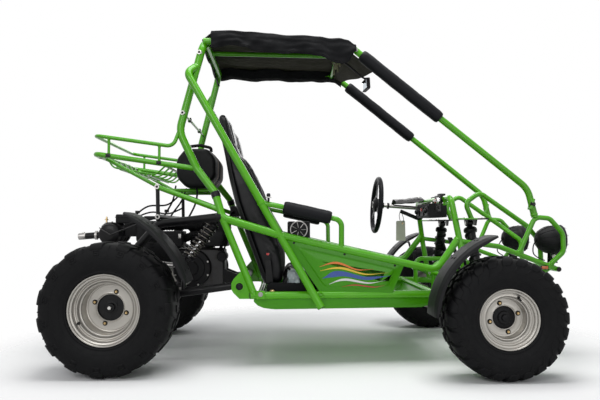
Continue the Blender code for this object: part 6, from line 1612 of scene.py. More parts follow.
def make_canopy():
    """The roof cover, its rolled hems and the straps round the roof tubes."""
    piece = Piece("canopy_sheet")
    columns, stations = 120, 84
    rows = [[canopy_point(j / columns, i / stations, 0) for j in range(columns + 1)]
            for i in range(stations + 1)]
    first, last = round(columns * 0.23), round(columns * 0.8)
    tail = []
    for i in range(14, 0, -1):
        tail.append([canopy_point(j / columns, 0, i / 14) for j in range(first, last + 1)])
    outer, inner = piece.slot(CANVAS), piece.slot(LINING)

    def sides_of(grid):
        """Both skins of a grid of points, half the cloth's thickness to each side."""
        over, under = [], []
        for row, normals in zip(grid, grid_normals(grid)):
            over.append([piece.bm.verts.new(p + n * 0.001) for p, n in zip(row, normals)])
            under.append([piece.bm.verts.new(p - n * 0.001) for p, n in zip(row, normals)])
        return over, under

    over, under = sides_of(rows)
    tail_over, tail_under = sides_of(tail)
    tail_over.append(over[0][first:last + 1])
    tail_under.append(under[0][first:last + 1])
    for grid, index in ((over, outer), (under, inner), (tail_over, outer), (tail_under, outer)):
        for a, b in zip(grid, grid[1:]):
            for j in range(len(a) - 1):
                piece.face((a[j], a[j + 1], b[j + 1], b[j]), index)
    rim = [(over[0][j], under[0][j]) for j in range(first, -1, -1)]
    rim += [(over[i][0], under[i][0]) for i in range(1, stations + 1)]
    rim += [(over[-1][j], under[-1][j]) for j in range(1, columns + 1)]
    rim += [(over[i][-1], under[i][-1]) for i in range(stations - 1, -1, -1)]
    rim += [(over[0][j], under[0][j]) for j in range(columns - 1, last - 1, -1)]
    rim += [(tail_over[i][-1], tail_under[i][-1]) for i in range(len(tail) - 1, -1, -1)]
    rim += [(tail_over[0][j], tail_under[0][j]) for j in range(last - first - 1, -1, -1)]
    rim += [(tail_over[i][0], tail_under[i][0]) for i in range(1, len(tail))]
    for (a, b), (c, d) in zip(rim, rim[1:] + rim[:1]):
        piece.face((a, c, d, b), outer)
    sheet = piece.done("chassis", "canvas", ["canopy"], sharp=50)
    hem = Piece("canopy_hem")
    near_line = [row[0] + Vector((0, -0.001, 0.0035)) for row in rows]
    far_line = [row[-1] + Vector((0, -0.001, -0.003)) for row in rows]
    for line, material, radius in ((near_line, CANVAS, 0.0019),
                                   ([p + UP * 0.0075 - ACROSS * 0.0008 for p in near_line], RUBBER, 0.0009),
                                   (far_line, CANVAS, 0.0019),
                                   ([p + UP * 0.003 for p in tail[0]], CANVAS, 0.0019),
                                   (list(rows[-1]), CANVAS, 0.0021)):
        hem.tube(line, radius, material, bend=0.0001, steps=1, sides=8)
    hem = hem.done("chassis", "canvas")
    ties = Piece("canopy_ties")
    for y, x, z in ((-0.02, 0.96, 1.415), (-0.125, 0.96, 1.415)):
        radius = 0.0168
        loop = [at(x + radius * math.cos(a), y + 0.003 * math.sin(3 * a), z + radius * math.sin(a))
                for a in turns(20)]
        ties.tube(loop, 0.0022, TAN, bend=0.0001, steps=1, sides=8, loop=True, flat=2.2)
        knot = at(x, y, z - radius - 0.002)
        ties.box(knot, (0.012, 0.01, 0.008), TAN, 0.003)
        for way, length in ((-1, 0.05), (1, 0.032)):
            tail = [knot, knot + Vector((0.008 * way, 0.004 * way, -0.01)),
                    knot + Vector((0.012 * way, 0.006 * way, -length))]
            ties.tube(tail, 0.0026, TAN, smooth=True, steps=5, sides=8, flat=2.4)
    ties.done("chassis", "canvas")


def make_mirror():
    """A mirror on a bent arm, clamped to the front roof tube."""
    piece = Piece("rear_view_mirror")
    root = at(0.96, -0.2, 1.415)
    piece.lathe(both_ways([(0.0118, 0.008), (0.016, 0.007)]), root, ACROSS, BLACK, segments=24)
    low = at(1.086, -0.2, 1.28)
    piece.tube([root - UP * 0.012, at(0.972, -0.2, 1.372), at(1.066, -0.2, 1.292), low], 0.0045, BLACK, 0.02,
               sides=12)
    turn = Matrix.Rotation(math.radians(-3), 3, "Y") @ Matrix.Rotation(math.radians(7), 3, "Z")
    piece.box(low - UP * 0.026, (0.018, 0.088, 0.052), PLASTIC, 0.007, turn)
    piece.box(low + Vector((-0.0078, -0.001, -0.026)), (0.005, 0.076, 0.042), GLASS, 0.002, turn)
    piece.bead(low, UP, 0.0065, BLACK, 0.006)
    piece.done("chassis", "black_plastic")


def make_front_flap():
    """The cover's loose front edge, which hangs ahead of the front roof tube, tied to the near pillar."""
    piece = Piece("canopy_front_flap")
    columns, rows = 60, 20
    near_top, near_low = at(0.9745, -0.285, 1.408), at(1.108, -0.2765, 1.295)
    far_top, far_low = at(0.9755, 0.284, 1.408), at(1.008, 0.28, 1.39)
    outer, inner = piece.slot(CANVAS), piece.slot(LINING)
    over, under = [], []
    for i in range(rows + 1):
        v = i / rows
        line = []
        for j in range(columns + 1):
            u = j / columns
            top, hem = between(near_top, far_top, u), between(near_low, far_low, u ** 0.85)
            sag = math.sin(math.pi * u) * v
            p = between(top, hem, v) - UP * (0.01 * sag) + UP * (0.0035 * math.sin(9.0 * u + 2.2 * v) * v)
            line.append(p + AHEAD * (0.004 * math.sin(6.5 * u + 1.0) * v))
        over.append([piece.bm.verts.new(p + UP * 0.0009 + AHEAD * 0.0006) for p in line])
        under.append([piece.bm.verts.new(p - UP * 0.0009 - AHEAD * 0.0006) for p in line])
    for i in range(rows):
        for j in range(columns):
            piece.face((over[i][j], over[i][j + 1], over[i + 1][j + 1], over[i + 1][j]), outer)
            piece.face((under[i][j], under[i + 1][j], under[i + 1][j + 1], under[i][j + 1]), inner)
    rim = [(0, j) for j in range(columns)] + [(i, columns) for i in range(rows)]
    rim += [(rows, j) for j in range(columns, 0, -1)] + [(i, 0) for i in range(rows, 0, -1)]
    for (a, b), (c, d) in zip(rim, rim[1:] + rim[:1]):
        piece.face((over[a][b], under[a][b], under[c][d], over[c][d]), outer)
    sheet = piece.done("chassis", "canvas", sharp=50)


def make_pad(name, node, start, end, radius, inner, seed):
    """A foam sleeve whose ends are pinched and whose skin has shallow dents."""
    piece = Piece(name)
    axis = (end - start).normalized()
    length = (end - start).length
    guide, across = hook(axis)
    rings = []
    steps, sides = 64, 30
    shell = [(inner, 0.003), (inner + 0.004, 0.0), (radius * 0.8, 0.0008), (radius * 0.9, 0.004),
             (radius * 0.97, 0.011)]
    places = shell + [(radius, 0.018 + (length - 0.036) * i / steps) for i in range(steps + 1)]
    places += [(r, length - d) for r, d in reversed(shell)]
    for r, d in places:
        ring = []
        for a in turns(sides):
            away = guide * math.cos(a) + across * math.sin(a)
            p = start + axis * d + away * r
            dent = noise.noise(p * 16
                               + Vector((seed, 0,
                                         0))) * 0.0012 + noise.noise(p * 55 + Vector((0, seed, 0))) * 0.0005
            ring.append(p + away * dent if r >= radius * 0.7 else p)
        rings.append(ring)
    piece.skin(rings, FOAM, loop=True)
    obj = piece.done("chassis", "foam", [node], sharp=50)


def ring_of(x_rear, x_front, y, half, z, corner=0.35, hollow=0.0, count=44):
    """A closed ring round a seat's section: flat behind, and hollowed between its bolsters in front."""
    ring = []
    middle, deep = (x_rear + x_front) / 2, (x_front - x_rear) / 2
    for a in turns(count):
        px, py = squared(a, corner)
        inward = hollow * max(0.0, 1 - (abs(py) / 0.62) ** 3) if px > 0 else 0.0
        ring.append(Vector((middle + px * deep - inward, y + py * half, z)))
    return ring


SEAT_BACK = [(0.335, 0.616, 0.688, 0.122, 0.004), (0.35, 0.611, 0.7, 0.15, 0.008),
             (0.4, 0.594, 0.712, 0.158, 0.014), (0.454, 0.574, 0.708, 0.16, 0.018),
             (0.5, 0.557, 0.698, 0.161, 0.022), (0.6, 0.521, 0.664, 0.16, 0.026),
             (0.7, 0.486, 0.624, 0.158, 0.028), (0.78, 0.466, 0.594, 0.155, 0.026),
             (0.84, 0.452, 0.568, 0.148, 0.022), (0.885, 0.443, 0.538, 0.132, 0.014),
             (0.92, 0.436, 0.5, 0.114, 0.006), (0.96, 0.427, 0.484, 0.112, 0.004),
             (1.02, 0.415, 0.47, 0.113, 0.004), (1.065, 0.407, 0.46, 0.11, 0.003),
             (1.092, 0.405, 0.452, 0.1, 0.002), (1.106, 0.411, 0.443, 0.08, 0.0)]


def seat_back_ring(z, y=0.0, grow=0.0):
    """The seat back's section at a height."""
    low = max(k for k in range(len(SEAT_BACK) - 1) if SEAT_BACK[k][0] <= z + 1e-9)
    a, b = SEAT_BACK[low], SEAT_BACK[low + 1]
    t = (z - a[0]) / (b[0] - a[0])
    x0, x1, half, hollow = [u + (v - u) * t for u, v in zip(a[1:], b[1:])]
    return ring_of(REAR_X + x0 - grow, REAR_X + x1 + grow, y, half + grow, z, 0.42, hollow)


def puff(obj, cap, frames=20, pressure=4.0, voxel=0.0065):
    """Swell a pad by cloth simulation, with no point moved further than the cap."""
    bpy.context.view_layer.objects.active = obj
    remesh = obj.modifiers.new("remesh", "REMESH")
    remesh.mode, remesh.voxel_size, remesh.use_smooth_shade = "VOXEL", voxel, True
    bpy.context.view_layer.update()
    bake(obj)
    rest = [v.co.copy() for v in obj.data.vertices]
    cloth = obj.modifiers.new("cloth", "CLOTH")
    cloth.settings.use_pressure = True
    cloth.settings.uniform_pressure_force = pressure
    cloth.settings.quality = 4
    cloth.settings.mass = 0.25
    cloth.settings.tension_stiffness = cloth.settings.compression_stiffness = 22
    cloth.settings.bending_stiffness = 1.0
    cloth.settings.effector_weights.gravity = 0
    cloth.point_cache.frame_start, cloth.point_cache.frame_end = 1, frames
    scene = bpy.context.scene
    for frame_number in range(1, frames + 1):
        scene.frame_set(frame_number)
    bake(obj)
    scene.frame_set(1)
    for vertex, before in zip(obj.data.vertices, rest):
        moved = vertex.co - before
        if moved.length > cap:
            vertex.co = before + moved * (cap / moved.length)


def bake(obj):
    """Put what the modifiers make into the object's own mesh."""
    made = bpy.data.meshes.new_from_object(obj.evaluated_get(bpy.context.evaluated_depsgraph_get()))
    obj.modifiers.clear()
    obj.data = made


def dent(obj, depth_at):
    """Press the skin in along its normals."""
    for vertex in obj.data.vertices:
        deep = depth_at(vertex.co, vertex.normal)
        if deep:
            vertex.co -= vertex.normal * deep


def groove(distance, width, depth):
    """How deep a sewn line presses, at a distance from it."""
    return depth * math.exp(-(distance / width) ** 2)


def back_dents(co, normal):
    """The seat back's sewn channels and small dents."""
    y, z = co.y, co.z
    deep = 0.0
    if normal.x > 0.25:
        if abs(y) < 0.098:
            for line in (0.455, 0.52, 0.585, 0.65, 0.715, 0.78):
                deep += groove(z - line - 0.01 * (y / 0.1) ** 2, 0.0045, 0.0075)
        if 0.4 < z < 0.86:
            deep += groove(abs(y) - 0.098, 0.0045, 0.008)
        if abs(y) < 0.075:
            deep += groove(z - 1.06, 0.004, 0.004) + groove(z - 0.965, 0.004, 0.004)
        if 0.965 < z < 1.06:
            deep += groove(abs(y) - 0.075, 0.004, 0.004)
    deep += noise.noise(co * 9) * 0.0016 + noise.noise(co * 31) * 0.0006
    return deep


def cushion_dents(co, normal):
    """The cushion's sewn channels and small dents."""
    x, y = co.x - REAR_X, co.y
    deep = 0.0
    if normal.z > 0.3:
        if abs(y) < 0.1:
            for line in (0.75, 0.815, 0.88, 0.945):
                deep += groove(x - line + 0.008 * (y / 0.1) ** 2, 0.0045, 0.007)
        if x < 0.985:
            deep += groove(abs(y) - 0.1, 0.0045, 0.0075)
    deep += noise.noise(co * 9) * 0.0014 + noise.noise(co * 31) * 0.0006
    return deep


def loose(name, rings):
    """A closed object over rings of points, for shaping further."""
    bm = bmesh.new()
    made = [[bm.verts.new(p) for p in ring] for ring in rings]
    for a, b in zip(made, made[1:]):
        for i in range(len(a)):
            j = (i + 1) % len(a)
            bm.faces.new((a[i], a[j], b[j], b[i]))
    bm.faces.new(list(reversed(made[0])))
    bm.faces.new(made[-1])
    bmesh.ops.recalc_face_normals(bm, faces=bm.faces)
    return in_scene(name, from_bmesh(name, bm))


def soften(obj):
    """Subdivide an object once, which rounds its facets."""
    smoother = obj.modifiers.new("smooth", "SUBSURF")
    smoother.levels = smoother.render_levels = 1


def make_seats():
    """Both seats: swollen, grooved, and doubled for the far side."""
    heights = [0.335 + (1.106 - 0.335) * i / 64 for i in range(64)] + [1.1059]
    back = loose("seat_back_right", [seat_back_ring(z, grow=-0.005) for z in heights])
    puff(back, 0.008)
    rings = []
    for i in range(25):
        share = i / 24
        x = 0.694 + (1.016 - 0.694) * share
        edge = min(1.0, share * 8 + 0.35, (1 - share) * 5 + 0.45)
        half = 0.155 * (0.94 + 0.06 * edge)
        low, high = 0.3215, 0.322 + 0.074 * edge ** 0.5 + 0.006 * share
        ring = []
        for a in turns(40):
            py, pz = squared(a, 0.42)
            hollow = 0.012 * max(0.0, 1 - (abs(py) / 0.66) ** 3) if pz > 0 else 0.0
            ring.append(at(x, py * half, (low + high) / 2 + pz * (high - low) / 2 - hollow))
        rings.append(ring)
    cushion = loose("seat_cushion_right", rings)
    puff(cushion, 0.007)
    dent(back, back_dents)
    dent(cushion, cushion_dents)
    for obj in (back, cushion):
        obj.data.materials.clear()
        obj.data.materials.append(VINYL)
        soften(obj)
        for polygon in obj.data.polygons:
            polygon.use_smooth = True
    for obj, kind in ((back, "back"), (cushion, "cushion")):
        twin = in_scene("seat_" + kind + "_left", obj.data.copy())
        soften(twin)
        for one, side in ((obj, -1), (twin, 1)):
            one.data.transform(Matrix.Translation((0, side * 0.195, 0)))
            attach(one, "chassis")
            if kind == "back":
                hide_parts("seat_" + ("right" if side < 0 else "left"))
    for word, side in SIDES:
        make_seat_trim(word, side * 0.195)


def make_seat_trim(word, y):
    """The piping along the back's edge, the shell behind it and the brackets under the cushion."""
    piece = Piece("seat_trim_" + word)
    for way in (-1, 1):
        line = []
        for i in range(41):
            z = 0.42 + (1.075 - 0.42) * i / 40
            ring = seat_back_ring(z, y)
            edge = max(p.x for p in ring)
            half = max(p.y for p in ring) - y
            line.append(Vector((edge - 0.014, y + way * (half - 0.002), z)))
        piece.tube(line, 0.003, VINYL, bend=0.0001, steps=1, sides=8)
    rings = []
    for i in range(31):
        z = 0.345 + (1.07 - 0.345) * i / 30
        ring = seat_back_ring(z, y)
        rear, half = min(p.x for p in ring), max(p.y for p in ring) - y
        row = []
        for k in range(15):
            s = 2 * k / 14 - 1
            row.append(Vector((rear - 0.0025 + 0.02 * abs(s) ** 5, y + s * half * 0.97, z)))
        back_row = [p + AHEAD * 0.004 for p in reversed(row)]
        rings.append(row + back_row)
    piece.skin(rings, PLASTIC)
    for way in (-1, 1):
        root, top = at(0.64, y + way * 0.166, 0.345), at(0.632, y + way * 0.171, 0.455)
        piece.plate([root - AHEAD * 0.016, root + AHEAD * 0.016, top + AHEAD * 0.011, top - AHEAD * 0.011],
                    0.0016, ACROSS, BLACK)
        piece.box(top + UP * 0.012, (0.024, 0.01, 0.036), PLASTIC, 0.003)
        piece.box(top + Vector((0, way * 0.0052, 0.02)), (0.012, 0.003, 0.009), RED, 0.001)
    piece.done("chassis", "black_plastic")


# Engine, tank and exhaust

def make_tank():
    piece = Piece("fuel_tank_shell")
    shares = ((0.0, 0.25), (0.0, 0.72), (0.22, 1.0), (0.8, 1.0), (1.0, 0.75), (1.0, 0.3), (0.75, 0.0),
              (0.25, 0.0))
    corners = [at(0.2 + 0.185 * x, 0, 0.775 + 0.185 * z) for x, z in shares]
    middle = sum(corners, Vector()) / len(corners)
    outline = []
    for i, corner in enumerate(corners):
        back, on = corners[i - 1] - corner, corners[(i + 1) % len(corners)] - corner
        for step in range(6):
            t = step / 5
            a, b = corner + back.normalized() * 0.02, corner + on.normalized() * 0.02
            outline.append(between(between(a, corner, t), between(corner, b, t), t))
    rings = []
    stations = [(-0.18, 0.8), (-0.178, 0.88), (-0.172, 0.945), (-0.16, 0.985), (-0.14, 1.0)]
    stations += [(-0.14 + 0.28 * i / 30, 1.0) for i in range(1, 30)]
    stations += [(-y, s) for y, s in reversed(stations[:5])]
    for y, size in stations:
        rib = 0.985 if 0.052 < abs(y) < 0.075 else 1.0
        ring = []
        for p in outline:
            q = middle + (p - middle) * size * rib
            q = q + (q - middle).normalized() * noise.noise(Vector((q.x * 9, y * 8, q.z * 9))) * 0.002
            ring.append(q + ACROSS * y)
        rings.append(ring)
    piece.skin(rings, PLASTIC)
    seam = [middle + (p - middle) * 1.018 for p in outline]
    piece.skin([[p - ACROSS * 0.003 for p in seam], [p + ACROSS * 0.003 for p in seam]], PLASTIC)
    for y in (-0.0635, 0.0635):
        band = [middle + (p - middle) * 1.006 for p in outline]
        piece.skin([[p + ACROSS * (y - 0.009) for p in band], [p + ACROSS * (y + 0.009) for p in band]], RUST)
        piece.box(at(0.293, y, 0.9635), (0.022, 0.024, 0.01), ZINC, 0.002)
    cap = at(0.25, 0.105, 0.957)
    piece.lathe([(0.0, 0.026), (0.02, 0.026), (0.024, 0.023), (0.024, 0.008), (0.02, 0.006), (0.02, -0.004),
                 (0, -0.004)], cap, UP, BLACK, segments=40)
    handle = [at(0.245, -0.105, 0.958), at(0.245, -0.1, 0.976), at(0.3, -0.095, 0.984),
              at(0.352, -0.09, 0.972), at(0.352, -0.088, 0.952)]
    piece.tube(handle, 0.0075, PLASTIC, 0.012, sides=14)
    hose = [at(0.292, -0.15, 0.776), at(0.296, -0.152, 0.748), at(0.285, -0.14, 0.7), at(0.255, -0.1, 0.65),
            at(0.225, -0.07, 0.61)]
    piece.tube(hose, 0.0045, RUBBER, smooth=True, steps=8, sides=10)
    piece.done("chassis", "black_plastic", ["fuel_tank"])


RUST = finish("aged_strap", (0.16, 0.115, 0.085), 0.5, metal=0.6, vary=0.35, vary_scale=30, rough_vary=0.15)


def make_engine():
    """The engine with its shroud, starter, intake and chain."""
    piece = Piece("engine_block")
    centre = at(0.3, 0, 0.4)
    piece.box(centre + Vector((0, 0, -0.004)), (0.232, 0.12, 0.188), ALLOY, 0.022, segments=3)
    cover = [(0, 0.0), (0.03, 0.0), (0.034, -0.006), (0.06, -0.007), (0.064, -0.012), (0.086, -0.014),
             (0.092, -0.022), (0.092, -0.044), (0, -0.044)]
    for way, x in ((-1, 0.262), (1, 0.33)):
        piece.lathe(cover, at(x, way * 0.1, 0.396), ACROSS * way, DARK_ALLOY, segments=56)
        for angle in turns(8, 0.5):
            spot = at(x + math.cos(angle) * 0.083, way * 0.088, 0.396 + math.sin(angle) * 0.083)
            piece.bolt(spot, ACROSS * way, 0.005, ZINC)
        for angle in turns(18):
            spoke = spoke_at(angle)
            a, b = at(x, way * 0.0935, 0.396) + spoke * 0.036, at(x, way * 0.0925, 0.396) + spoke * 0.058
            piece.plate([a, b, b - ACROSS * way * 0.01, a - ACROSS * way * 0.01], 0.003, spoke.cross(ACROSS),
                        DARK_ALLOY)
    head = centre + UP * 0.092
    profile = [(0, -0.004)]
    for fin in range(9):
        low = 0.112 * fin / 9
        profile += [(0.048, low), (0.0605, low + 0.0025), (0.062, low + 0.0035), (0.062, low + 0.0052),
                    (0.0605, low + 0.0062), (0.048, low + 0.0085)]
    profile += [(0.05, 0.113), (0.05, 0.122), (0.046, 0.126), (0.02, 0.128), (0, 0.128)]
    piece.lathe(profile, head, UP, ALLOY, segments=44)
    piece.box(head + Vector((0.0, 0, 0.118)), (0.085, 0.08, 0.018), DARK_ALLOY, 0.006)
    for x in (-0.032, 0.032):
        for y in (-0.03, 0.03):
            piece.bolt(head + Vector((x, y, 0.1275)), UP, 0.0058, ZINC)
    plug = head + Vector((0.02, -0.045, 0.095))
    lead = [plug, plug + Vector((0.012, -0.022, 0.014)), plug + Vector((0.04, -0.034, 0.03)),
            plug + Vector((0.082, -0.01, 0.036)), plug + Vector((0.1, 0.02, 0.0))]
    piece.tube(lead, 0.0038, RUBBER, smooth=True, steps=8, sides=10)
    piece.lathe([(0, 0.02), (0.006, 0.02), (0.0075, 0.016), (0.0075, 0), (0, 0)], plug,
                Vector((0.3, -0.8, 0.4)), RUBBER, segments=16)
    for way in (-1, 1):
        y = way * 0.052
        piece.plate(upright(y, [(0.386, 0.33), (0.386, 0.402), (0.47, 0.368), (0.498, 0.362),
                                (0.4975, 0.32)]), 0.012, ACROSS, DARK_ALLOY, 0.002)
    piece.tube([PIVOT - AHEAD * 0.017, at(0.4, 0, 0.341)], 0.022, DARK_ALLOY, sides=20)
    piece.box(at(0.196, 0.052, 0.455), (0.06, 0.052, 0.052), DARK_ALLOY, 0.008)
    start = at(0.405, -0.045, 0.452)
    piece.lathe(both_ways([(0, 0.05), (0.02, 0.05), (0.0235, 0.045)]), start, ACROSS, DARK_ALLOY, segments=28)
    corners = [squared(a, 0.35) for a in turns(44)]
    shroud = []
    for low, grow in ((0.5, 0.94), (0.506, 1.0), (0.56, 1.0), (0.566, 0.97), (0.574, 0.97), (0.58, 1.0),
                      (0.628, 0.98), (0.64, 0.93), (0.644, 0.84)):
        shroud.append([at(0.372 + px * 0.06 * grow, py * 0.088 * grow, low) for px, py in corners])
    piece.skin(shroud, DARK_ALLOY)
    for k in range(6):
        piece.box(at(0.433, -0.055 + 0.022 * k, 0.604), (0.006, 0.008, 0.04), BLACK, 0.002)
    for way in (-1, 1):
        piece.bolt(at(0.372, way * 0.0885, 0.6), ACROSS * way, 0.005, ZINC)
        piece.bolt(at(0.345, way * 0.0885, 0.525), ACROSS * way, 0.005, ZINC)
    piece.done("chassis", "engine_alloy", ["engine"])
    fan = Piece("starter_cables")
    for shift, drop in ((0.0, 0.0), (0.012, 0.01), (-0.01, 0.018)):
        route = [at(0.4 + shift, -0.085, 0.48), at(0.42 + shift, -0.11, 0.54 - drop),
                 at(0.436, -0.13 + shift, 0.6), at(0.452, -0.12, 0.652 + shift * 0.4),
                 at(0.462, -0.06, 0.664)]
        fan.tube(route, 0.0042, RUBBER, smooth=True, steps=8, sides=10)
    fan.box(at(0.462, -0.02, 0.668), (0.04, 0.1, 0.05), PLASTIC, 0.005)
    fan.box(at(0.449, -0.02, 0.642), (0.018, 0.06, 0.01), BLACK, 0.002)
    fan.done("chassis", "black_plastic")
    intake = Piece("air_filter_box")
    boot = [(0, 0.0), (0.02, 0.0)]
    for k in range(7):
        boot += [(0.025, 0.006 + 0.0125 * k), (0.025, 0.01 + 0.0125 * k), (0.021, 0.0125 + 0.0125 * k)]
    boot += [(0.02, 0.094), (0.02, 0.17), (0.024, 0.172), (0.024, 0.184), (0.02, 0.186), (0.02, 0.207),
             (0, 0.207)]
    intake.lathe(boot, at(0.106, -0.06, 0.601), AHEAD, RUBBER, segments=36)
    throat = at(0.246, -0.02, 0.558)
    intake.lathe([(0, 0), (0.03, 0), (0.03, 0.008), (0.026, 0.012), (0.026, 0.03), (0.036, 0.034),
                  (0.036, 0.046), (0.028, 0.05), (0.028, 0.068), (0, 0.068)], throat, AHEAD, DARK_ALLOY,
                 segments=36)
    intake.lathe([(0, -0.055), (0.018, -0.055), (0.022, -0.05), (0.022, -0.02), (0.0145, -0.018),
                  (0.0145, 0.02), (0.0145, 0.044), (0.01, 0.05), (0, 0.052)], throat + AHEAD * 0.021, UP,
                 DARK_ALLOY, segments=30)
    place = at(0.17, -0.06, 0.538)
    intake.box(place, (0.106, 0.116, 0.072), PLASTIC, 0.01, segments=3)
    intake.box(place + UP * 0.012, (0.11, 0.12, 0.005), PLASTIC, 0.002)
    for x in (-0.04, 0.04):
        for y in (-0.0605, 0.0605):
            intake.box(place + Vector((x, y, 0.012)), (0.012, 0.004, 0.02), ZINC, 0.001)
    case = []
    for x, grow in ((0.008, 0.86), (0.012, 0.95), (0.022, 1.0), (0.048, 1.0), (0.052, 0.97), (0.058, 0.97),
                    (0.062, 1.0), (0.092, 0.99), (0.104, 0.94), (0.11, 0.84)):
        case.append([at(x, -0.062 + py * 0.078 * grow, 0.57 + pz * 0.053 * grow) for py, pz in corners])
    intake.skin(case, PLASTIC)
    intake.tube([at(0.104, -0.062, 0.552), at(0.12, -0.062, 0.545)], 0.024, RUBBER, sides=22)
    port, inlet = place + Vector((0.05, 0.03, 0.0)), at(0.2475, -0.02, 0.548)
    intake.tube([port, inlet], 0.019, RUBBER, sides=22)
    for share in (0.15, 0.5, 0.85):
        intake.bead(between(port, inlet, share), inlet - place, 0.0195, RUBBER, 0.003)
    intake.done("chassis", "black_plastic", ["air_box"])
    chain = Piece("drive_chain")
    big, small = at(0, -0.088, REAR_HUB_Z), at(0.3, -0.088, 0.4)
    way = (small - big).normalized()
    over = Vector((-way.z, 0, way.x))
    count = 30
    for side in (1, -1):
        a, b = big + over * (side * 0.095), small + over * (side * 0.03)
        for i in range(count):
            spot = between(a, b, (i + 0.5) / count)
            along = (b - a).normalized()
            angle = math.atan2(along.z, along.x)
            chain.box(spot, (0.0125, 0.0085 if i % 2 else 0.0055, 0.0065), STEEL, 0.0012,
                      Matrix.Rotation(-angle, 3, "Y"), segments=1)
    chain.done("chassis", "steel")


def make_exhaust():
    """The silencer with its tailpipe, shield and case, and the pipe to the engine."""
    piece = Piece("silencer")
    middle = at(-0.11, -0.05, 0.56)
    can = both_ways([(0, 0.115), (0.02, 0.115), (0.038, 0.113), (0.047, 0.108), (0.05, 0.1), (0.05, 0.03),
                     (0.0508, 0.028), (0.0508, 0.022), (0.05, 0.02)])
    piece.lathe(can, middle, ACROSS, BLACK, segments=44)
    mouth, outward = at(-0.283, -0.05, 0.548), at(-0.285, 0, 0.548) - at(-0.11, 0, 0.56)
    piece.tube([middle, mouth], 0.0155, BLACK, sides=24, weld=(0.05, 0))
    piece.lathe([(0.0125, 0.0015), (0.0145, 0.002), (0.0162, 0.0), (0.0162, -0.03), (0.0155, -0.032),
                 (0.0125, -0.028)], mouth, outward, STEEL, segments=30, loop=True)
    piece.lathe([(0, -0.02), (0.0125, -0.02), (0.0125, -0.024), (0, -0.024)], mouth, outward, BLACK,
                segments=20)
    piece.bolt(at(-0.262, -0.05, 0.5655), UP, 0.006, ZINC, 0.009)
    stud = at(-0.15, -0.06, 0.586)
    piece.lathe([(0, 0.058), (0.0035, 0.056), (0.004, 0.054), (0.004, 0.0), (0, 0.0)], stud, UP, BRASS,
                segments=18)
    for low, radius in ((0.018, 0.0125), (0.025, 0.0085), (0.042, 0.0075)):
        piece.bolt(stud + UP * low, UP, radius, ZINC if low < 0.03 else BRASS, radius * 1.4)
    piece.lathe(both_ways([(0.0155, 0.006), (0.0215, 0.005)]), at(-0.2, -0.05, 0.554), AHEAD, STEEL,
                segments=28)
    pipe = [middle, at(-0.11, 0, 0.43), at(0.19, 0, 0.4)]
    piece.tube(pipe, 0.0155, STEEL, 0.06, steps=10, sides=22)
    piece.lathe(both_ways([(0.0155, 0.004), (0.026, 0.004)]), at(0.178, 0, 0.4015), AHEAD, STEEL, segments=24)
    shield = [spoke_at(math.radians(30 + 110 * i / 12)) for i in range(13)]
    piece.skin([[middle + way * 0.056 + ACROSS * y for way in shield]
                + [middle + way * 0.0545 + ACROSS * y for way in reversed(shield)] for y in (-0.085, 0.085)],
               DARK_ALLOY)
    for y in (-0.06, 0.06):
        piece.lathe(both_ways([(0.05, 0.006), (0.053, 0.006)]), middle + ACROSS * y, ACROSS, BLACK,
                    segments=44)
        piece.bolt(middle + Vector((0, y, 0.056)), UP, 0.0055, ZINC)
        side = y - 0.05
        piece.plate(upright(side, [(-0.08, 0.59), (-0.05, 0.6), (0.06, 0.63), (0.145, 0.632), (0.145, 0.645),
                                   (0.045, 0.645)]), 0.004, ACROSS, BLACK)
    piece.box(at(-0.045, -0.05, 0.632), (0.104, 0.104, 0.044), PLASTIC, 0.01, segments=3)
    piece.box(at(-0.045, -0.05, 0.64), (0.108, 0.108, 0.004), PLASTIC, 0.0015)
    piece.box(at(-0.026, -0.05, 0.583), (0.06, 0.1, 0.07), PLASTIC, 0.01, segments=3)
    piece.done("chassis", "black_steel", ["muffler"])


# Decals: plain swept bands, with no lettering

BLUE = finish("decal_blue", (0.012, 0.06, 0.3), 0.3, coat=0.5, vary=0.08)
YELLOW = finish("decal_yellow", (0.76, 0.52, 0.02), 0.3, coat=0.5, vary=0.06)
ORANGE = finish("decal_orange", (0.72, 0.17, 0.01), 0.3, coat=0.5, vary=0.06)
WHITE = finish("decal_white", (0.7, 0.7, 0.69), 0.32, coat=0.5, vary=0.03)


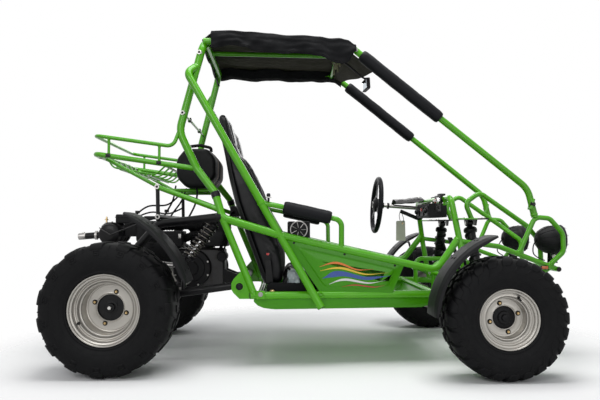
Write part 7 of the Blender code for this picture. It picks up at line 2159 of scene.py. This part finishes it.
def make_decals():
    """Swept stripes on the raised field of each side panel."""
    for word, side in SIDES:
        piece = Piece("panel_stripes_" + word)
        cross, nose = brace_at(side, 0.7), at(1.362, side * 0.378, 0.404)
        a, b = cross, between(cross, nose, 0.8)
        c, d = lower_rail_at(side, 1.168), lower_rail_at(side, 0.858)
        normal = (b - a).cross(d - a).normalized()
        if normal.y * side < 0:
            normal = -normal
        c = c - normal * (c - a).dot(normal)

        def spot(u, v, lift):
            return between(between(d, c, u), between(a, b, u), v) + normal * lift

        def band(points, widths, material, lift):
            """A thin swept band along the panel."""
            ring_rows = []
            path = smooth_path([Vector((u, v, 0)) for u, v in points], 8)
            count = len(path)
            for i, p in enumerate(path):
                t = i / (count - 1)
                half = table(widths, t)
                ring_rows.append([spot(p.x, p.y + half, lift), spot(p.x, p.y - half, lift),
                                  spot(p.x, p.y - half, lift - 0.0006), spot(p.x, p.y + half, lift - 0.0006)])
            piece.skin(ring_rows, material)

        wide = [(0.0, 0.004), (0.25, 0.055), (0.7, 0.04), (1.0, 0.003)]
        thin = [(0.0, 0.003), (0.4, 0.026), (1.0, 0.002)]
        band([(0.16, 0.3), (0.4, 0.44), (0.66, 0.4), (0.9, 0.55)], wide, BLUE, 0.009)
        band([(0.18, 0.44), (0.42, 0.56), (0.66, 0.5), (0.88, 0.63)], thin, YELLOW, 0.0092)
        band([(0.2, 0.52), (0.4, 0.66), (0.58, 0.58), (0.74, 0.66)], thin, ORANGE, 0.0094)
        band([(0.2, 0.2), (0.42, 0.32), (0.68, 0.29), (0.86, 0.4)], thin, WHITE, 0.0092)
        band([(0.34, 0.16), (0.52, 0.22), (0.74, 0.2), (0.86, 0.27)],
             [(0.0, 0.002), (0.5, 0.015), (1.0, 0.002)], RED, 0.0093)
        piece.done("chassis", "green_paint")


for word, side in SIDES:
    pillar, armrest = pillar_at(side), armrest_at(side)
    make_pad("pillar_sleeve_" + word, "pillar_pad_" + word, between(*pillar, 0.075), between(*pillar, 0.515),
             0.028, 0.0153, side)
    make_pad("armrest_sleeve_" + word, "armrest_pad_" + word, between(*armrest, 0.1), between(*armrest, 0.84),
             0.028, 0.0118, side + 5)
make_canopy()
make_mirror()
make_front_flap()
make_seats()
make_tank()
make_engine()
make_exhaust()
make_decals()


def make_cab_fittings():
    """Small things round the near seat: a round grille, a box, belt anchors and a wrapped bundle."""
    piece = Piece("cab_fittings")
    middle = at(0.766, -0.372, 0.58)
    piece.box(middle + Vector((0, 0.014, -0.006)), (0.098, 0.024, 0.084), PLASTIC, 0.01, segments=3)
    rim = [(0.0325, 0.0), (0.0345, -0.004), (0.0375, -0.004), (0.0385, 0.0), (0.0375, 0.005), (0.0345, 0.005)]
    piece.lathe(rim, middle + ACROSS * 0.002, -ACROSS, STEEL, segments=48, loop=True)
    piece.lathe([(0, 0.004), (0.009, 0.003), (0.011, 0.0), (0.011, -0.004), (0, -0.004)], middle, -ACROSS,
                BLACK, segments=28)
    for angle in turns(7):
        way = spoke_at(angle)
        piece.tube([middle + way * 0.009, middle + way * 0.035], 0.0015, STEEL, sides=8)
    for x in (0.728, 0.804):
        piece.plate([at(x - 0.008, -0.366, 0.545), at(x + 0.008, -0.366, 0.545), at(x + 0.008, -0.378, 0.518),
                     at(x - 0.008, -0.378, 0.518)], 0.003, ACROSS, BLACK)
    anchor = at(0.588, -0.366, 0.716)
    piece.lathe([(0.0045, -0.0012), (0.012, -0.0012), (0.013, 0.0), (0.012, 0.0012), (0.0045, 0.0012)],
                anchor, Vector((0.2, -1, 0.1)), ZINC, segments=24)
    piece.bolt(anchor, -ACROSS, 0.0055, ZINC)
    piece.tube([anchor, at(0.592, -0.352, 0.708)], 0.0045, BLACK, sides=12)
    knob = at(0.636, -0.404, 0.716)
    piece.lathe([(0, 0.02), (0.006, 0.019), (0.0085, 0.014), (0.0085, 0.006), (0.005, 0.004), (0.005, -0.016),
                 (0, -0.016)], knob, UP, BLACK, segments=22)
    piece.lathe([(0.005, 0.0), (0.0125, 0.0), (0.0125, 0.003), (0.005, 0.004)], knob, UP, ZINC, segments=22)
    box = at(0.722, -0.372, 0.306)
    rows = []
    for i in range(17):
        share = i / 16
        x = -0.093 + 0.186 * share
        size = min(1.0, 0.8 + 2.2 * share, 0.8 + 2.2 * (1 - share))
        ring = []
        for a in turns(26):
            py, pz = squared(a, 0.4)
            p = box + Vector((x, py * 0.011 * size, pz * 0.046 * size))
            ring.append(p + Vector((0, 1, 1)) * noise.noise(p * 60) * 0.0022)
        rows.append(ring)
    piece.skin(rows, CANVAS)
    low = at(0.652, -0.3835, 0.3)
    piece.plate([low + Vector((-0.02, 0, -0.012)), low + Vector((0.02, 0, -0.012)),
                 low + Vector((0.014, 0, 0.012)), low + Vector((-0.014, 0, 0.012))], 0.004, ACROSS, GREEN)
    piece.lathe([(0, 0.014), (0.006, 0.014), (0.0095, 0.011), (0.0125, 0.004), (0.0125, 0.0),
                 (0.0085, -0.002), (0.0085, -0.01), (0, -0.01)], low + Vector((0, -0.002, 0.014)), -ACROSS,
                BRASS, segments=30)
    piece.done("chassis", "black_plastic")
    # The wrap is clear plastic, drawn as an opaque sheet whose grey, patchy colour is painted reflection
    film = Piece("wrapping_film")
    rows = []
    for i in range(19):
        u = i / 18
        row = []
        for j in range(15):
            v = j / 14
            x = 0.716 + 0.052 * u
            z = 0.405 - 0.08 * v
            y = -0.3605 - 0.008 * math.sin(v * 3.1) + (0.012 if v < 0.1 else 0.0)
            p = at(x, y, z)
            row.append(p + Vector((0.3, -1, 0.4)) * noise.noise(p * 52) * 0.012)
        rows.append(row)
    crumpled(film, rows, WRAP_REFLECTION, 0.012, 9, 0.0012)
    film.done("chassis", "black_plastic")


# Painted reflection: the clear wrap's grey and its strong patchy tone stand in for the room mirrored in the
# film
WRAP_REFLECTION = finish("wrap_film_painted_reflection", (0.3, 0.34, 0.36), 0.18, spec=0.5, vary=0.55, vary_scale=60, rough_vary=0.1,
              bump=0.4, bump_scale=160)
make_cab_fittings()


def make_tail_bits():
    """Straps, cables and small metal things over the rear frame."""
    piece = Piece("tail_cables")
    routes = (((-0.02, -0.08, 0.64), (0.06, -0.12, 0.69), (0.15, -0.1, 0.7), (0.215, -0.08, 0.76)),
              ((0.12, -0.14, 0.61), (0.15, -0.14, 0.66), (0.175, -0.11, 0.72), (0.185, -0.09, 0.79)),
              ((0.13, -0.06, 0.6), (0.168, -0.07, 0.66), (0.205, -0.06, 0.715), (0.23, -0.05, 0.78)),
              ((-0.06, 0.06, 0.635), (0.03, 0.08, 0.668), (0.12, 0.06, 0.66), (0.205, 0.03, 0.69)))
    for route in routes:
        piece.tube([at(*p) for p in route], 0.004, RUBBER, smooth=True, steps=8, sides=10)
    for x, y, z in ((0.005, -0.094, 0.664), (0.15, -0.128, 0.668)):
        piece.box(at(x, y, z), (0.02, 0.014, 0.014), BLACK, 0.003)
    piece.tube([at(-0.15, -0.172, 0.59), at(-0.1, -0.174, 0.558), at(0.02, -0.172, 0.606)], 0.0024, ALLOY,
               0.008, sides=10)
    piece.done("chassis", "black_plastic")


make_tail_bits()
